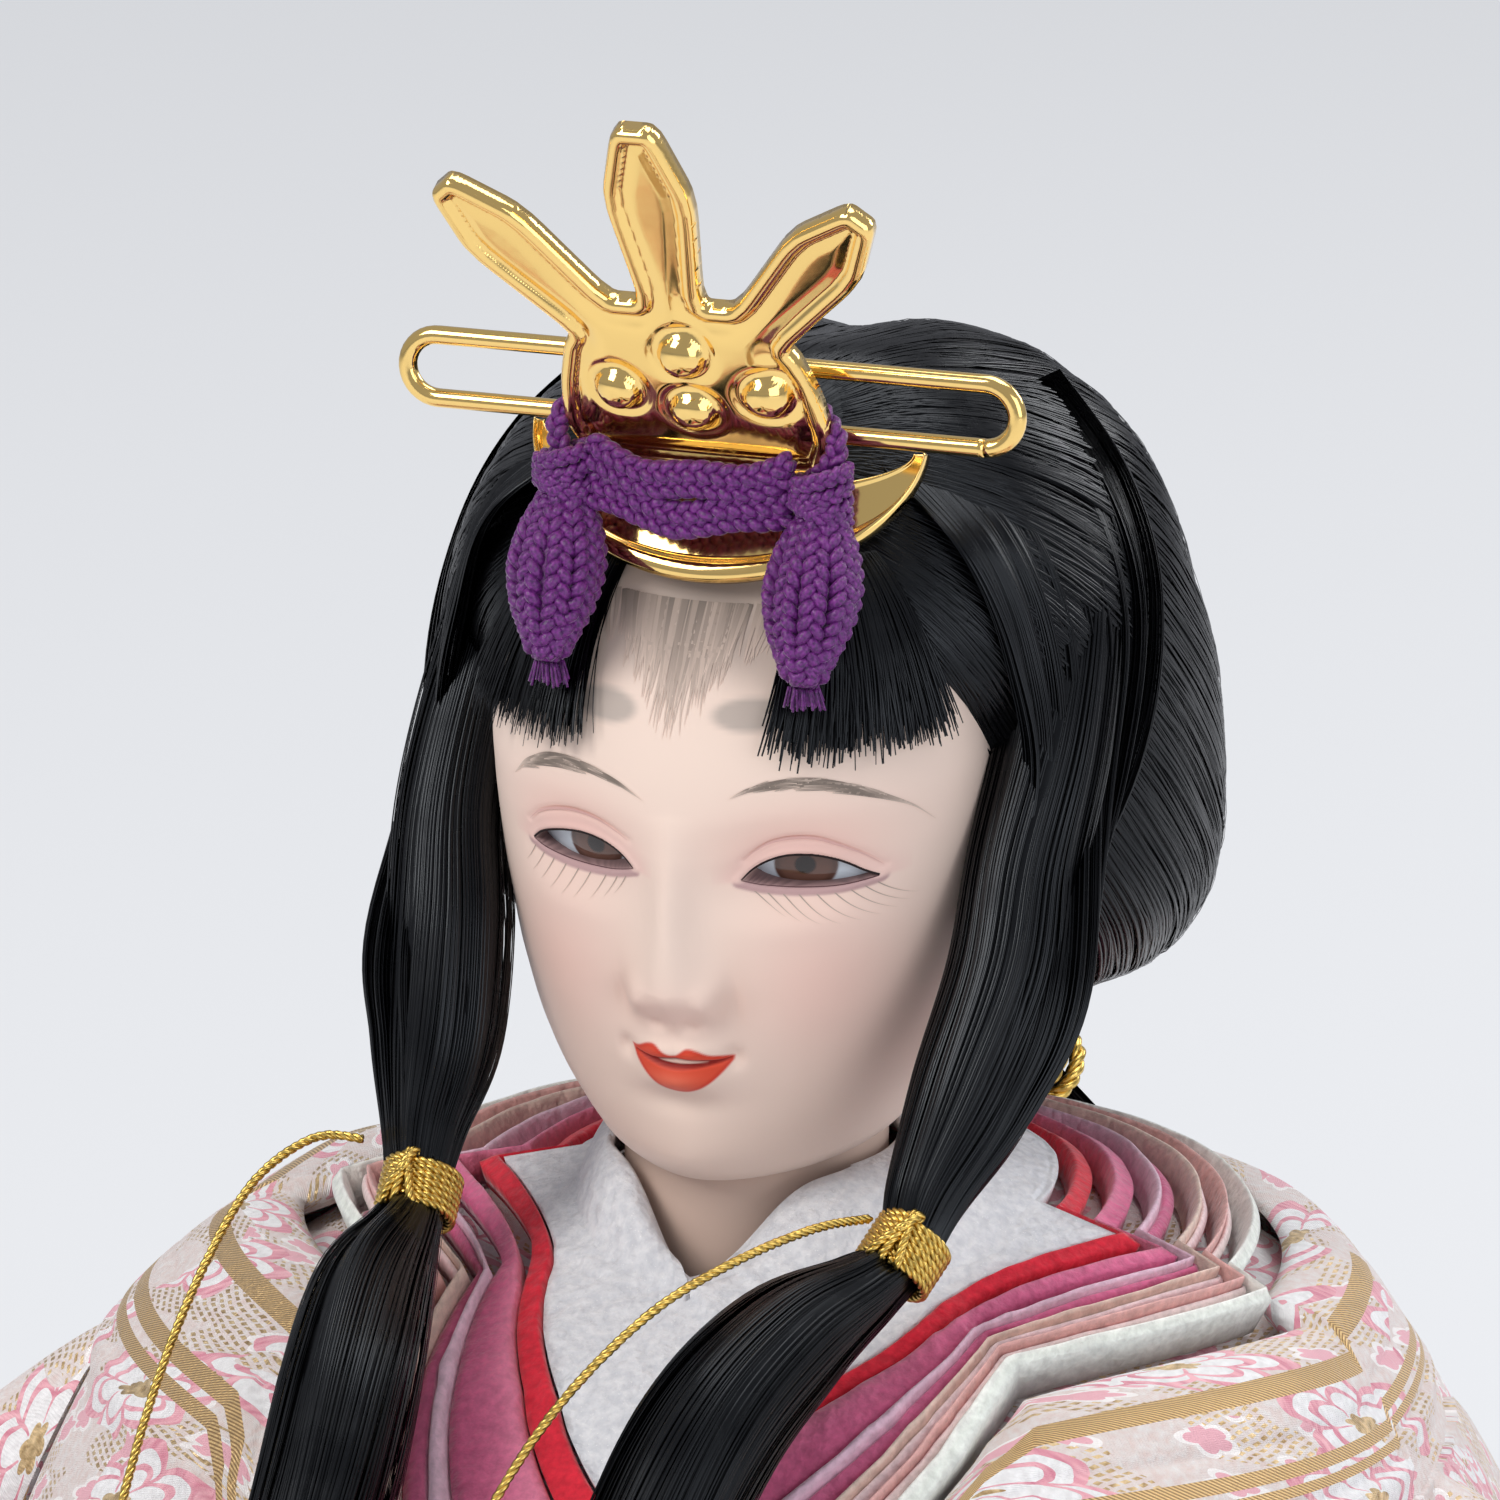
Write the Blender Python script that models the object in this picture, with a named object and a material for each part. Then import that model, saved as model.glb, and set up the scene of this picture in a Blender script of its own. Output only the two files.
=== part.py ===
"""Seated hina doll, an empress of the emperor and empress pair, in metres with +Z up.

The doll faces -Y and its own left side is +X. The origin is the centre of the flat
underside of its base board. Every garment of the trunk follows one surface, robe_point,
at its own distance from it, so that the layers stay nested when a size changes.
"""
import math

import bmesh
import bpy
import numpy as np
from mathutils import Matrix, Vector

# Driving sizes of the whole doll
CHIN_HEIGHT = 0.152
CHIN_OVER_ROBE = 0.0035
ROBE_TOP = CHIN_HEIGHT - CHIN_OVER_ROBE
ROBE_BOTTOM = 0.0060
ROBE_HALF_WIDTH = 0.0500
ROBE_FRONT_DEPTH = 0.0520
ROBE_BACK_DEPTH = 0.0520
FIT_GAP = 0.0003
CUT_OVERRUN = 0.0020

# Base board and straw core
BOARD_HALF_WIDTH = 0.0560
BOARD_HALF_DEPTH = 0.0520
BOARD_THICK = 0.0050
BOARD_EDGE = 0.0008
BOARD_SIDES = 28
CORE_BASE_RADIUS = 0.0260
CORE_WAIST_RADIUS = 0.0210
CORE_SHOULDER_RADIUS = 0.0230
CORE_NECK_RADIUS = 0.0110
CHIN_OVER_CORE = 0.0140
CORE_TOP = CHIN_HEIGHT - CHIN_OVER_CORE
CORE_FLUTE = 0.0007
CORE_REEDS = 14

# Neck peg, and the paper wound round it
PEG_RADIUS = 0.0026
PEG_IN_NECK = 0.0120
WRAP_WALL = 0.0022
WRAP_LENGTH = 0.0220
PEG_Y = 0.0

# Trunk surface: height, half width, front and back shares, from the hem to the neck
ROBE_SHARES = [
    (0.0, 1.36, 1.50, 1.34),
    (0.10, 1.28, 1.44, 1.24),
    (0.24, 1.18, 1.36, 1.15),
    (0.42, 1.10, 1.24, 1.08),
    (0.58, 1.03, 1.10, 1.03),
    (0.72, 0.95, 0.93, 0.96),
    (0.82, 0.87, 0.76, 0.86),
    (0.90, 0.77, 0.58, 0.73),
    (0.95, 0.65, 0.41, 0.58),
    (0.98, 0.46, 0.285, 0.42),
    (1.0, 0.26, 0.245, 0.27),
]
ROBE_NECK_SHIFT = 0.0034
ROBE_FRONT_DIP = 0.0035
ROBE_SHIFT_LOW_SHARE = 0.90
ROBE_ROW_SHARES = [0.0, 0.30, 0.50, 0.66, 0.78, 0.86, 0.91, 0.95, 0.98, 1.0]
ROBE_SQUARENESS = 2.25
ROBE_COLUMNS_DEG = [0, 5, 10, 16, 23, 32, 43, 56, 70, 86, 103, 121, 140, 160, 180]
ROBE_WALL = 0.0016

# Head, in its own upright frame before it is tilted forward
HEAD_HALF_WIDTH = 0.0154
HEAD_FRONT_DEPTH = 0.0148
HEAD_BACK_DEPTH = 0.0180
HEAD_HEIGHT = 0.0430
HEAD_PITCH_DEG = 10.0
HEAD_PIVOT = 0.0200
NECK_HALF_WIDTH = 0.0080
HEAD_SQUARENESS = 2.0
HEAD_SIDES = 28
HEAD_SHARES = [
    (0.032, 0.53, 0.64, 0.50),
    (0.053, 0.60, 0.84, 0.58),
    (0.079, 0.66, 0.925, 0.64),
    (0.116, 0.72, 0.975, 0.72),
    (0.163, 0.80, 0.995, 0.80),
    (0.212, 0.86, 1.0, 0.87),
    (0.249, 0.895, 1.0, 0.90),
    (0.286, 0.92, 1.0, 0.93),
    (0.328, 0.945, 1.0, 0.96),
    (0.381, 0.965, 1.0, 0.98),
    (0.435, 0.982, 1.0, 1.0),
    (0.481, 0.992, 0.998, 1.01),
    (0.529, 1.0, 0.995, 1.02),
    (0.577, 1.004, 0.985, 1.02),
    (0.646, 1.0, 0.95, 1.02),
    (0.733, 0.95, 0.83, 1.0),
    (0.826, 0.84, 0.61, 0.92),
    (0.907, 0.66, 0.36, 0.78),
    (0.972, 0.38, 0.10, 0.50),
    (1.0, 0.12, 0.02, 0.14),
]

# Face features: place and reach of each swelling on the front of the head
NOSE_TIP_Z = 0.0165
NOSE_TOP_Z = 0.0260
NOSE_BASE_Z = 0.0133
NOSE_RISE = 0.0021
NOSE_HALF_WIDTH = 0.0023
LIP_Z = 0.0108
LIP_RISE = 0.0010
LIP_HALF_WIDTH = 0.0030
LIP_REACH = 0.0017
SOCKET_Z = 0.0230
SOCKET_X = 0.0062
SOCKET_DEPTH = 0.0015
SOCKET_HALF_WIDTH = 0.0040
SOCKET_REACH = 0.0030
CHIN_Z = 0.0045
CHIN_RISE = 0.0007
CHIN_REACH = 0.0030

# Glass eyes and the almond openings in front of them
EYE_X = 0.0068
EYE_Y = 0.0076
EYE_Z = 0.0226
EYE_HALF_WIDTH = 0.0042
EYE_HALF_DEPTH = 0.0033
EYE_HALF_HEIGHT = 0.0030
SLIT_HALF_WIDTH = 0.0036
SLIT_HALF_HEIGHT = 0.0010
SLIT_TILT_DEG = 6.0

# Hair: outer form of the dressed hair, height above the chin
HAIR_HALF_WIDTH = 0.0250
HAIR_FRONT_DEPTH = 0.0130
HAIR_BACK_DEPTH = 0.0370
HAIR_LOW = 0.0015
HAIR_HIGH_SHARE = 1.221
HAIR_HIGH = HEAD_HEIGHT * HAIR_HIGH_SHARE
HAIR_CROWN_REACH = 0.0039
HAIR_LEAN_SHARE = 1.3
HAIR_SQUARENESS = 2.3
HAIR_SIDES = 28
HAIR_SHARES = [
    (0.0, 0.46, -1.60, 0.93),
    (0.07, 0.62, -1.05, 0.97),
    (0.15, 0.84, -0.35, 0.985),
    (0.26, 0.97, 0.28, 1.0),
    (0.40, 1.0, 0.42, 1.0),
    (0.53, 1.0, 0.50, 1.0),
    (0.63, 0.975, 0.72, 0.98),
    (0.716, 0.94, 0.715, 0.95),
    (0.82, 0.85, 0.52, 0.88),
    (0.91, 0.66, 0.34, 0.74),
    (0.97, 0.42, 0.16, 0.52),
    (1.0, 0.16, 0.04, 0.24),
]
FRINGE_LOW_SHARE = 0.656
FRINGE_HIGH_SHARE = 0.895
FRINGE_START_DEG = 24.0
FRINGE_END_DEG = 74.0
FRINGE_ROOM_DEG = 2.0
FRINGE_INNER = 0.0005
FRINGE_OUTER = 0.0016
FRINGE_COLUMNS = 8

# Long locks in front of the ears: centre line above the chin, and radii along it
LOCK_POINTS = {
    "left": [
        (0.0178, -0.0042, 0.0200), (0.0182, -0.0068, 0.0140), (0.0170, -0.0106, 0.0078),
        (0.0156, -0.0140, 0.0030), (0.0150, -0.0164, -0.0002), (0.0136, -0.0196, -0.0014),
        (0.0110, -0.0250, -0.0030), (0.0088, -0.0316, -0.0062), (0.0074, -0.0380, -0.0116),
        (0.0066, -0.0466, -0.0200), (0.0064, -0.0544, -0.0310), (0.0070, -0.0608, -0.0440),
    ],
    "right": [
        (-0.0182, -0.0042, 0.0200), (-0.0192, -0.0066, 0.0140), (-0.0186, -0.0098, 0.0078),
        (-0.0172, -0.0130, 0.0030), (-0.0166, -0.0152, -0.0006), (-0.0160, -0.0186, -0.0020),
        (-0.0150, -0.0250, -0.0036), (-0.0138, -0.0316, -0.0066), (-0.0130, -0.0380, -0.0118),
        (-0.0128, -0.0464, -0.0200), (-0.0130, -0.0540, -0.0310), (-0.0134, -0.0602, -0.0440),
    ],
}
DRAPE_HEIGHT = 0.1425
LOCK_RADIUS = 0.0036
LOCK_SHARES = [0.95, 1.05, 0.98, 0.66, 0.42, 0.62, 0.98, 1.12, 1.12, 1.05, 0.92, 0.55]
LOCK_SIDES = 8
TIE_INDEX = 4
TIE_RADIUS = 0.0024
TIE_WIRE = 0.00035
TIE_TURNS = 3
TIE_TURN_SIDES = 12
TIE_RIDGE_SHARES = [(-0.85, 0.3), (-0.4, 0.95), (0.4, 0.95), (0.85, 0.3)]

# Loose ends of the gold thread, above the chin, from the tie outward
CORD_RADIUS = 0.0003
CORD_STEPS = 2
CORD_POINTS = {
    "left": [
        (0.01345, -0.0179, 0.0024), (0.0116, -0.0224, 0.0031), (0.0086, -0.0282, 0.0026),
        (0.0052, -0.0330, 0.0006), (0.0014, -0.0380, -0.0040), (-0.0016, -0.0424, -0.0104),
        (-0.0034, -0.0460, -0.0180), (-0.0044, -0.0490, -0.0270), (-0.0048, -0.0514, -0.0364),
    ],
    "right": [
        (-0.0196, -0.0148, 0.0022), (-0.0222, -0.0160, 0.0024), (-0.0246, -0.0196, 0.0006),
        (-0.0258, -0.0244, -0.0032), (-0.0262, -0.0300, -0.0078), (-0.0262, -0.0352, -0.0130),
        (-0.0260, -0.0404, -0.0196), (-0.0256, -0.0450, -0.0280), (-0.0254, -0.0488, -0.0372),
    ],
}

# Tail down the back: distance from the robe, half widths and its place along the trunk
TAIL_TOP_SHARE = 0.955
TAIL_LOW_SHARE = 0.42
TAIL_CLEAR = 0.0026
TAIL_THICK = 0.0036
TAIL_HALF_DEG = 17.0
TAIL_NECK_SHARE = 0.30
TAIL_COLUMNS = 8
TAIL_ROWS = 10
TAIL_ROOT_Y = 0.0310
TAIL_ROOT_Z = 0.0045
TAIL_ROOT_HALF_WIDTH = 0.0050
NAPE_TIE_SHARE = 0.945
NAPE_TIE_WIRE = 0.0008

# Gold crest, its comb and the long hairpin behind it, from the front top of the head
CREST_BASE = (0.0, -0.0054, 0.0036)
CREST_LEAN_DEG = 28.0
CREST_THICK = 0.0009
CREST_HALF_WIDTH = 0.0092
CREST_HEIGHT = 0.0230
CREST_OUTLINE_SHARES = [
    (-0.78, -0.10), (-0.90, 0.02), (-0.86, 0.16), (-0.78, 0.28), (-0.72, 0.32),
    (-1.30, 0.56), (-1.46, 0.74), (-1.30, 0.80), (-0.88, 0.70), (-0.42, 0.44),
    (-0.20, 0.44), (-0.30, 0.78), (-0.14, 1.0), (0.14, 1.0), (0.30, 0.78),
    (0.20, 0.44), (0.42, 0.44), (0.88, 0.70), (1.30, 0.80), (1.46, 0.74),
    (1.30, 0.56), (0.72, 0.32), (0.78, 0.28), (0.86, 0.16), (0.90, 0.02), (0.78, -0.10),
]
BOSS_RADIUS = 0.0013
BOSS_RISE = 0.0009
BOSS_SHARES = [(0.04, 0.30), (-0.44, 0.17), (0.05, 0.12), (0.55, 0.18)]
PIN_RADIUS = 0.00055
PIN_HALF_LENGTH = 0.0188
PIN_HALF_HEIGHT = 0.0019
PIN_Y = -0.0042
PIN_Z = 0.0057
PIN_SIDES = 8
PIN_END_STEPS = 6
TANG_RADIUS = 0.0006
TANG_LENGTH = 0.0058
TANG_DROP = 0.0012
COMB_HALF_WIDTH = 0.0122
COMB_THICK = 0.0008
COMB_DEPTH = 0.0080
COMB_HORN = 0.0022
COMB_INNER_SHARE = 0.94
COMB_Y = -0.0028
COMB_Z = 0.0019
COMB_WRAP = 0.0026
COMB_LEAN_DEG = 26.0
COMB_STEPS = 16

# Purple braid across the crest, its knots and tassels
BRAID_RADIUS = 0.00085
BRAID_Y = -0.0078
BRAID_Z = 0.0010
BRAID_HALF_SPAN = 0.0055
BRAID_SAG = 0.0008
BRAID_APART = 0.0021
BRAID_STEPS = 8
KNOT_RADIUS = 0.0021
KNOT_TALL_SHARE = 1.15
KNOT_RINGS = 5
TASSEL_LENGTH = 0.0098
TASSEL_RADIUS = 0.0031
TASSEL_LOBES = 7
TASSEL_RIDGE_SHARE = 0.12
TASSEL_RINGS = 8
TASSEL_LEAN = 0.0030

# Layered collars: how far down the front each one starts, as places along the trunk
COLLAR_THICK = 0.0013
COLLAR_STEP_RISE = 0.00025
COLLAR_SIDE_SHARE = 0.999
COLLAR_SIDE_STEP_SHARE = 0.0045
COLLAR_FOOT_SHARE = 0.600
COLLAR_FOOT_STEP_SHARE = 0.012
COLLAR_APART_SHARE = 0.0020
COLLAR_GAP = 0.0004
COLLAR_NUMBER = 7
COLLAR_SEAT = 0.0006
COLLAR_ROW_SHARES = [0.0, 0.5, 1.0]

# Each collar's edge seen from above: how far in front of the neck its two sides cross,
# and a place on its side, as a distance sideways and a distance in front
COLLAR_LINES = [
    (0.0150, 0.0085, 0.0050), (0.0263, 0.0120, 0.0100), (0.0290, 0.0130, 0.0105),
    (0.0400, 0.0136, 0.0110), (0.0510, 0.0142, 0.0115), (0.0620, 0.0148, 0.0120),
    (0.0750, 0.0155, 0.0120), (0.0950, 0.0164, 0.0120),
]
KOSODE_NECK_GAP = 0.0009
KOSODE_VERTEX = 0.0118
KOSODE_RISE = 0.0030
KOSODE_DIP = 0.0056
KOSODE_DIP_DEG = 26.0
KOSODE_V_DEG = 60.0

# Jacket over the robes, with its turned-back lapels
JACKET_OFF = 0.0012
JACKET_THICK = 0.0016
JACKET_FLARE = 0.0066
JACKET_FLARE_HIGH_SHARE = 0.80
JACKET_FLARE_LOW_SHARE = 0.64
JACKET_LOW_SHARE = 0.56
JACKET_TOP_DROP_SHARE = 0.004
JACKET_OPEN_STEPS = 2
JACKET_ROW_SHARES = [0.0, 0.24, 0.53, 0.725, 0.845, 0.942, 1.0]
LAPEL_LOW_SHARE = 0.86
LAPEL_BACK_SHARE = -0.4
LAPEL_RISE = 0.0010

# Layered hems round the foot of the robes, tucked under the jacket above
HEM_COUNT = 4
HEM_SEAT = 0.0010
HEM_PITCH_TOP = 0.0014
HEM_PITCH_LOW = 0.0026
HEM_THICK = 0.0010
HEM_FLARE = 0.0240
HEM_TOP_SHARE = 0.60
HEM_LOW = 0.0012
HEM_LIFT = 0.0028
HEM_ROW_SHARES = [1.0, 0.5, 0.2, 0.0]

# Sleeves: top and bottom edges from the armhole to the mouth, on the doll's left side
SLEEVE_REACH = 0.1300
SLEEVE_UNDER_ROBE = 0.0035
SLEEVE_RISE = ROBE_TOP - SLEEVE_UNDER_ROBE
SLEEVE_THICK = 0.0150
SLEEVE_WALL = 0.0010
SLEEVE_LAYER_GAP = 0.0009
SLEEVE_LAYERS = 4
SLEEVE_SHOW = 0.0026
SLEEVE_PLACE_SHARES = [0.0, 0.2, 0.4, 0.6, 0.8, 1.0]
SLEEVE_SIDES = 12
SLEEVE_TOP_SHARES = [(0.20, 0.02, 0.955), (0.33, 0.00, 0.915), (0.43, -0.10, 0.82),
                     (0.44, -0.30, 0.74), (0.32, -0.48, 0.67), (0.17, -0.59, 0.63)]
SLEEVE_LOW_SHARES = [(0.24, 0.08, 0.66), (0.42, 0.10, 0.50), (0.66, 0.04, 0.26),
                     (0.84, -0.12, 0.11), (0.95, -0.30, 0.055), (0.98, -0.42, 0.05)]
SLEEVE_THICK_SHARES = [1.3, 1.35, 1.3, 1.15, 1.05, 1.0]

# Arms: one wound wire from hand to hand through the core, and the hands
WIRE_RADIUS = 0.0016
ARM_SHARES = [(0.0, 0.077, 0.7310), (0.60, 0.0, 0.7310), (1.10, -0.269, 0.6966),
              (1.24, -0.731, 0.6276), (0.98, -1.154, 0.5793), (0.60, -1.419, 0.5586),
              (0.36, -1.446, 0.5538)]
HAND_TIP_SHARES = (0.0, -1.4655, 0.5448)
HAND_WIDTH = 0.0066
HAND_THICK = 0.0032
PALM_LENGTH = 0.0115
FINGER_LENGTH = 0.0070
FINGER_RADIUS = 0.0008
FINGER_COUNT = 4

# Folding fan of thin wooden blades on one rivet
FAN_BLADES = 7
FAN_PITCH_DEG = 11.0
BLADE_LENGTH = 0.0330
BLADE_TAIL = 0.0030
BLADE_FOOT_HALF_WIDTH = 0.0014
BLADE_TOP_HALF_WIDTH = 0.0031
BLADE_THICK = 0.0004
BLADE_GAP = 0.0003
RIVET_RADIUS = 0.00045
RIVET_HOLE_RADIUS = 0.0008
RIVET_HEAD_RADIUS = 0.0013
RIVET_HEAD_THICK = 0.0005
FAN_HAND_GAP = 0.0004

# Pleated train from the waist behind, down over the hems and out along the floor
TRAIN_OFF = 0.0016
TRAIN_THICK = 0.0009
TRAIN_TOP_SHARE = 0.90
TRAIN_HALF_TOP_DEG = 30.0
TRAIN_HALF_LOW_DEG = 40.0
TRAIN_PLEATS = 9
TRAIN_PLEAT_DEPTH = 0.0010
TRAIN_SPREAD = 0.0480
TRAIN_FLOOR_GAP = 0.0008
TRAIN_ROWS = 4
TRAIN_FLOOR_ROWS = 2

# Shares of the lengths above, and powers that round their outlines
CORE_WAIST_SHARE = 0.45
CORE_SHOULDER_SHARE = 0.86
NOSE_RIDGE_POWER = 0.8
FACE_CROWD_SHARE = 0.3
FACE_BLEND_SHARE = 0.3
NECK_HIGH_SHARE = 0.2
NECK_FOOT_SHARE = 1.12
NECK_FLARE_SHARE = 0.2
CREST_EDGE_SHARE = 0.3
BOSS_LOW_SHARE = 0.2
BOSS_HIGH_SHARE = 0.3
KNOT_TURN_SHARE = 0.85
KNOT_DEPTH_SHARE = 0.8
TASSEL_END_SHARE = 0.34
TASSEL_SWELL_SHARE = 0.66
TASSEL_START_SHARE = 0.08
TASSEL_RUN_SHARE = 0.92
TASSEL_LOW_POWER = 0.85
TASSEL_DEPTH_SHARE = 0.78
TRUNK_LOW_SHARE = 0.01
TRUNK_HIGH_SHARE = 0.97
SLEEVE_SIDE_POWER = 0.75
SLEEVE_TOP_POWER = 0.85


# Scene, materials and basic solids
def clear_scene():
    for obj in list(bpy.data.objects):
        bpy.data.objects.remove(obj, do_unlink=True)



def material(name, colour, roughness=0.6, metallic=0.0):
    """Give back one Principled material, made once for each name."""
    found = bpy.data.materials.get(name)
    if found:
        return found
    made = bpy.data.materials.new(name)
    made.use_nodes = True
    shader = made.node_tree.nodes["Principled BSDF"]
    shader.inputs["Base Color"].default_value = (*colour, 1.0)
    shader.inputs["Roughness"].default_value = roughness
    shader.inputs["Metallic"].default_value = metallic
    made.diffuse_color = (*colour, 1.0)
    return made


def add_solid(name, points, faces, finish, smooth=True):
    """Make one closed mesh object from points and faces, with its faces pointing out."""
    mesh = bpy.data.meshes.new(name)
    mesh.from_pydata([tuple(p) for p in points], [], faces)
    shape = bmesh.new()
    shape.from_mesh(mesh)
    bmesh.ops.recalc_face_normals(shape, faces=shape.faces)
    shape.to_mesh(mesh)
    shape.free()
    if smooth:
        mesh.shade_smooth()
        mesh.set_sharp_from_angle(angle=math.radians(40))
    mesh.materials.append(finish)
    obj = bpy.data.objects.new(name, mesh)
    bpy.context.collection.objects.link(obj)
    return obj


def hide_guide(obj):
    obj.hide_render = True
    obj.display_type = "WIRE"
    return obj


def cut(obj, cutter, operation="DIFFERENCE"):
    """Cut obj by cutter, which becomes a hidden guide."""
    modifier = obj.modifiers.new(f"{operation.lower()} {cutter.name}", "BOOLEAN")
    modifier.object = hide_guide(cutter)
    modifier.operation = operation
    modifier.solver = "EXACT"
    return obj


def bridge(rings, wrap=False, turned_at=None):
    """Join rings of equal count into one skin, capped at its ends or wrapped round.

    With turned_at, every four-sided face is split in two, and from that row on the other way,
    so that the inner wall of a twisted cup follows its outer wall.
    """
    count = len(rings[0])
    points = [p for ring in rings for p in ring]
    faces = []
    last = len(rings) if wrap else len(rings) - 1
    for row in range(last):
        low, high = row * count, (row + 1) % len(rings) * count
        for i in range(count):
            j = (i + 1) % count
            if turned_at is None:
                faces.append((low + i, low + j, high + j, high + i))
            elif row < turned_at:
                faces += [(low + i, low + j, high + j), (low + i, high + j, high + i)]
            else:
                faces += [(low + i, low + j, high + i), (low + j, high + j, high + i)]
    if not wrap:
        faces.append(tuple(range(count)))
        faces.append(tuple(range((len(rings) - 1) * count, len(rings) * count)))
    return points, faces


def add_loft(name, rings, finish, wrap=False, turned_at=None):
    points, faces = bridge(rings, wrap, turned_at)
    return add_solid(name, points, faces, finish)


def add_sheet(name, inner, outer, finish, closed=False):
    """Make a solid sheet from two grids of points, rows of columns, closed round or open."""
    rows, columns = len(inner), len(inner[0])
    points = [p for grid in (inner, outer) for row in grid for p in row]
    faces = []

    def at(side, row, column):
        return side * rows * columns + row * columns + column % columns

    spans = columns if closed else columns - 1
    for side in (0, 1):
        for r in range(rows - 1):
            for c in range(spans):
                faces.append((at(side, r, c), at(side, r, c + 1), at(side, r + 1, c + 1),
                              at(side, r + 1, c)))
    for r in (0, rows - 1):
        for c in range(spans):
            faces.append((at(0, r, c), at(0, r, c + 1), at(1, r, c + 1), at(1, r, c)))
    if not closed:
        for c in (0, columns - 1):
            for r in range(rows - 1):
                faces.append((at(0, r, c), at(0, r + 1, c), at(1, r + 1, c), at(1, r, c)))
    return add_solid(name, points, faces, finish)


def frames_along(points, closed=False):
    """Give a side and a normal at each point of a path, turned as little as possible."""
    count = len(points)
    result = []
    side = None
    for i, point in enumerate(points):
        before = points[i - 1] if i or closed else points[i]
        after = points[(i + 1) % count] if i < count - 1 or closed else points[i]
        along = (after - before).normalized()
        if side is None:
            guess = Vector((0, 0, 1)) if abs(along.z) < abs(along.x) + abs(along.y) else Vector((1, 0, 0))
            side = guess.cross(along).normalized()
        else:
            side = (side - along * side.dot(along)).normalized()
        result.append((side, along.cross(side).normalized()))
    return result


def tube_rings(points, radii, sides, closed=False):
    """Give the round sections along a path; radii is one number or one for each point."""
    path = [Vector(p) for p in points]
    if not isinstance(radii, (list, tuple)):
        radii = [radii] * len(path)
    rings = []
    for point, radius, (side, up) in zip(path, radii, frames_along(path, closed)):
        rings.append([point + (side * math.cos(a) + up * math.sin(a)) * radius
                      for a in (2 * math.pi * i / sides for i in range(sides))])
    return rings


def add_tube(name, points, radii, sides, finish, closed=False):
    return add_loft(name, tube_rings(points, radii, sides, closed), finish, wrap=closed)


def bored_tube(name, points, outer, inner, sides, finish):
    """Make a tube with an open bore along a path."""
    rings = tube_rings(points, outer, sides)
    bore = tube_rings(points, inner, sides)
    return add_loft(name, rings + bore[::-1], finish, wrap=True)


def add_disc(name, centre, axis, radius, thick, sides, finish):
    middle, axis = Vector(centre), Vector(axis).normalized()
    ends = [middle - axis * thick / 2, middle + axis * thick / 2]
    return add_tube(name, ends, radius, sides, finish)


def add_plate(name, outline, thick, place, finish):
    """Extrude a flat outline both ways from its plane and put it in place."""
    rings = [[place @ Vector((x, y, z)) for x, y in outline] for z in (-thick / 2, thick / 2)]
    return add_loft(name, rings, finish)


def smooth_path(points, steps):
    """Run a smooth curve through points, with steps pieces between each two."""
    path = [Vector(p) for p in points]
    result = []
    for i in range(len(path) - 1):
        a, b, c = path[max(i - 1, 0)], path[i], path[i + 1]
        d = path[min(i + 2, len(path) - 1)]
        for k in range(steps):
            t = k / steps
            result.append(0.5 * (2 * b + (c - a) * t + (2 * a - 5 * b + 4 * c - d) * t * t
                                 + (3 * b - a - 3 * c + d) * t ** 3))
    result.append(path[-1])
    return result


def interpolate(rows, place):
    """Read a table of rows at a place on its first column, smoothly."""
    keys = [row[0] for row in rows]
    place = min(max(place, keys[0]), keys[-1])
    i = max(k for k in range(len(keys) - 1) if keys[k] <= place + 1e-9)
    t = (place - keys[i]) / (keys[i + 1] - keys[i])
    before, after = rows[max(i - 1, 0)], rows[min(i + 2, len(rows) - 1)]
    values = []
    for a, b, c, d in zip(before[1:], rows[i][1:], rows[i + 1][1:], after[1:]):
        values.append(0.5 * (2 * b + (c - a) * t + (2 * a - 5 * b + 4 * c - d) * t * t
                             + (3 * b - a - 3 * c + d) * t ** 3))
    return values


def rounded(angle, half_width, front, back, squareness):
    """Give one point of a rounded section; angle 0 is the front, and +X is a quarter turn on."""
    power = 2 / squareness
    s, c = math.sin(angle), math.cos(angle)
    x = half_width * math.copysign(abs(s) ** power, s)
    reach = front if c > 0 else back
    return x, -reach * math.copysign(abs(c) ** power, c)


# Surface of the trunk, which every robe follows
def robe_base(angle, share):
    """The place on the trunk at an angle and a share of the way from hem to neck."""
    half_width, front, back = interpolate(ROBE_SHARES, share)
    x, y = rounded(angle, half_width * ROBE_HALF_WIDTH, front * ROBE_FRONT_DEPTH, back * ROBE_BACK_DEPTH,
                   ROBE_SQUARENESS)
    t = max(0.0, (share - ROBE_SHIFT_LOW_SHARE) / (1.0 - ROBE_SHIFT_LOW_SHARE))
    shift = ROBE_NECK_SHIFT * t * t * (3 - 2 * t)
    dip = ROBE_FRONT_DIP * t ** 3 * max(0.0, math.cos(angle))
    return Vector((x + shift, y, ROBE_BOTTOM + share * (ROBE_TOP - ROBE_BOTTOM) - dip))


def robe_point(angle, share, off=0.0):
    """A place off the trunk by a distance, square to its surface."""
    step_angle_share, step_share = 0.02, 0.01
    here = robe_base(angle, share)
    if not off:
        return here
    around = robe_base(angle + step_angle_share, share) - robe_base(angle - step_angle_share, share)
    low, high = max(share - step_share, 0.0), min(share + step_share, 1.0)
    up = robe_base(angle, high) - robe_base(angle, low)
    return here + around.cross(up).normalized() * off


def spread(low, high, count):
    return [low + (high - low) * i / count for i in range(count + 1)]


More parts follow.
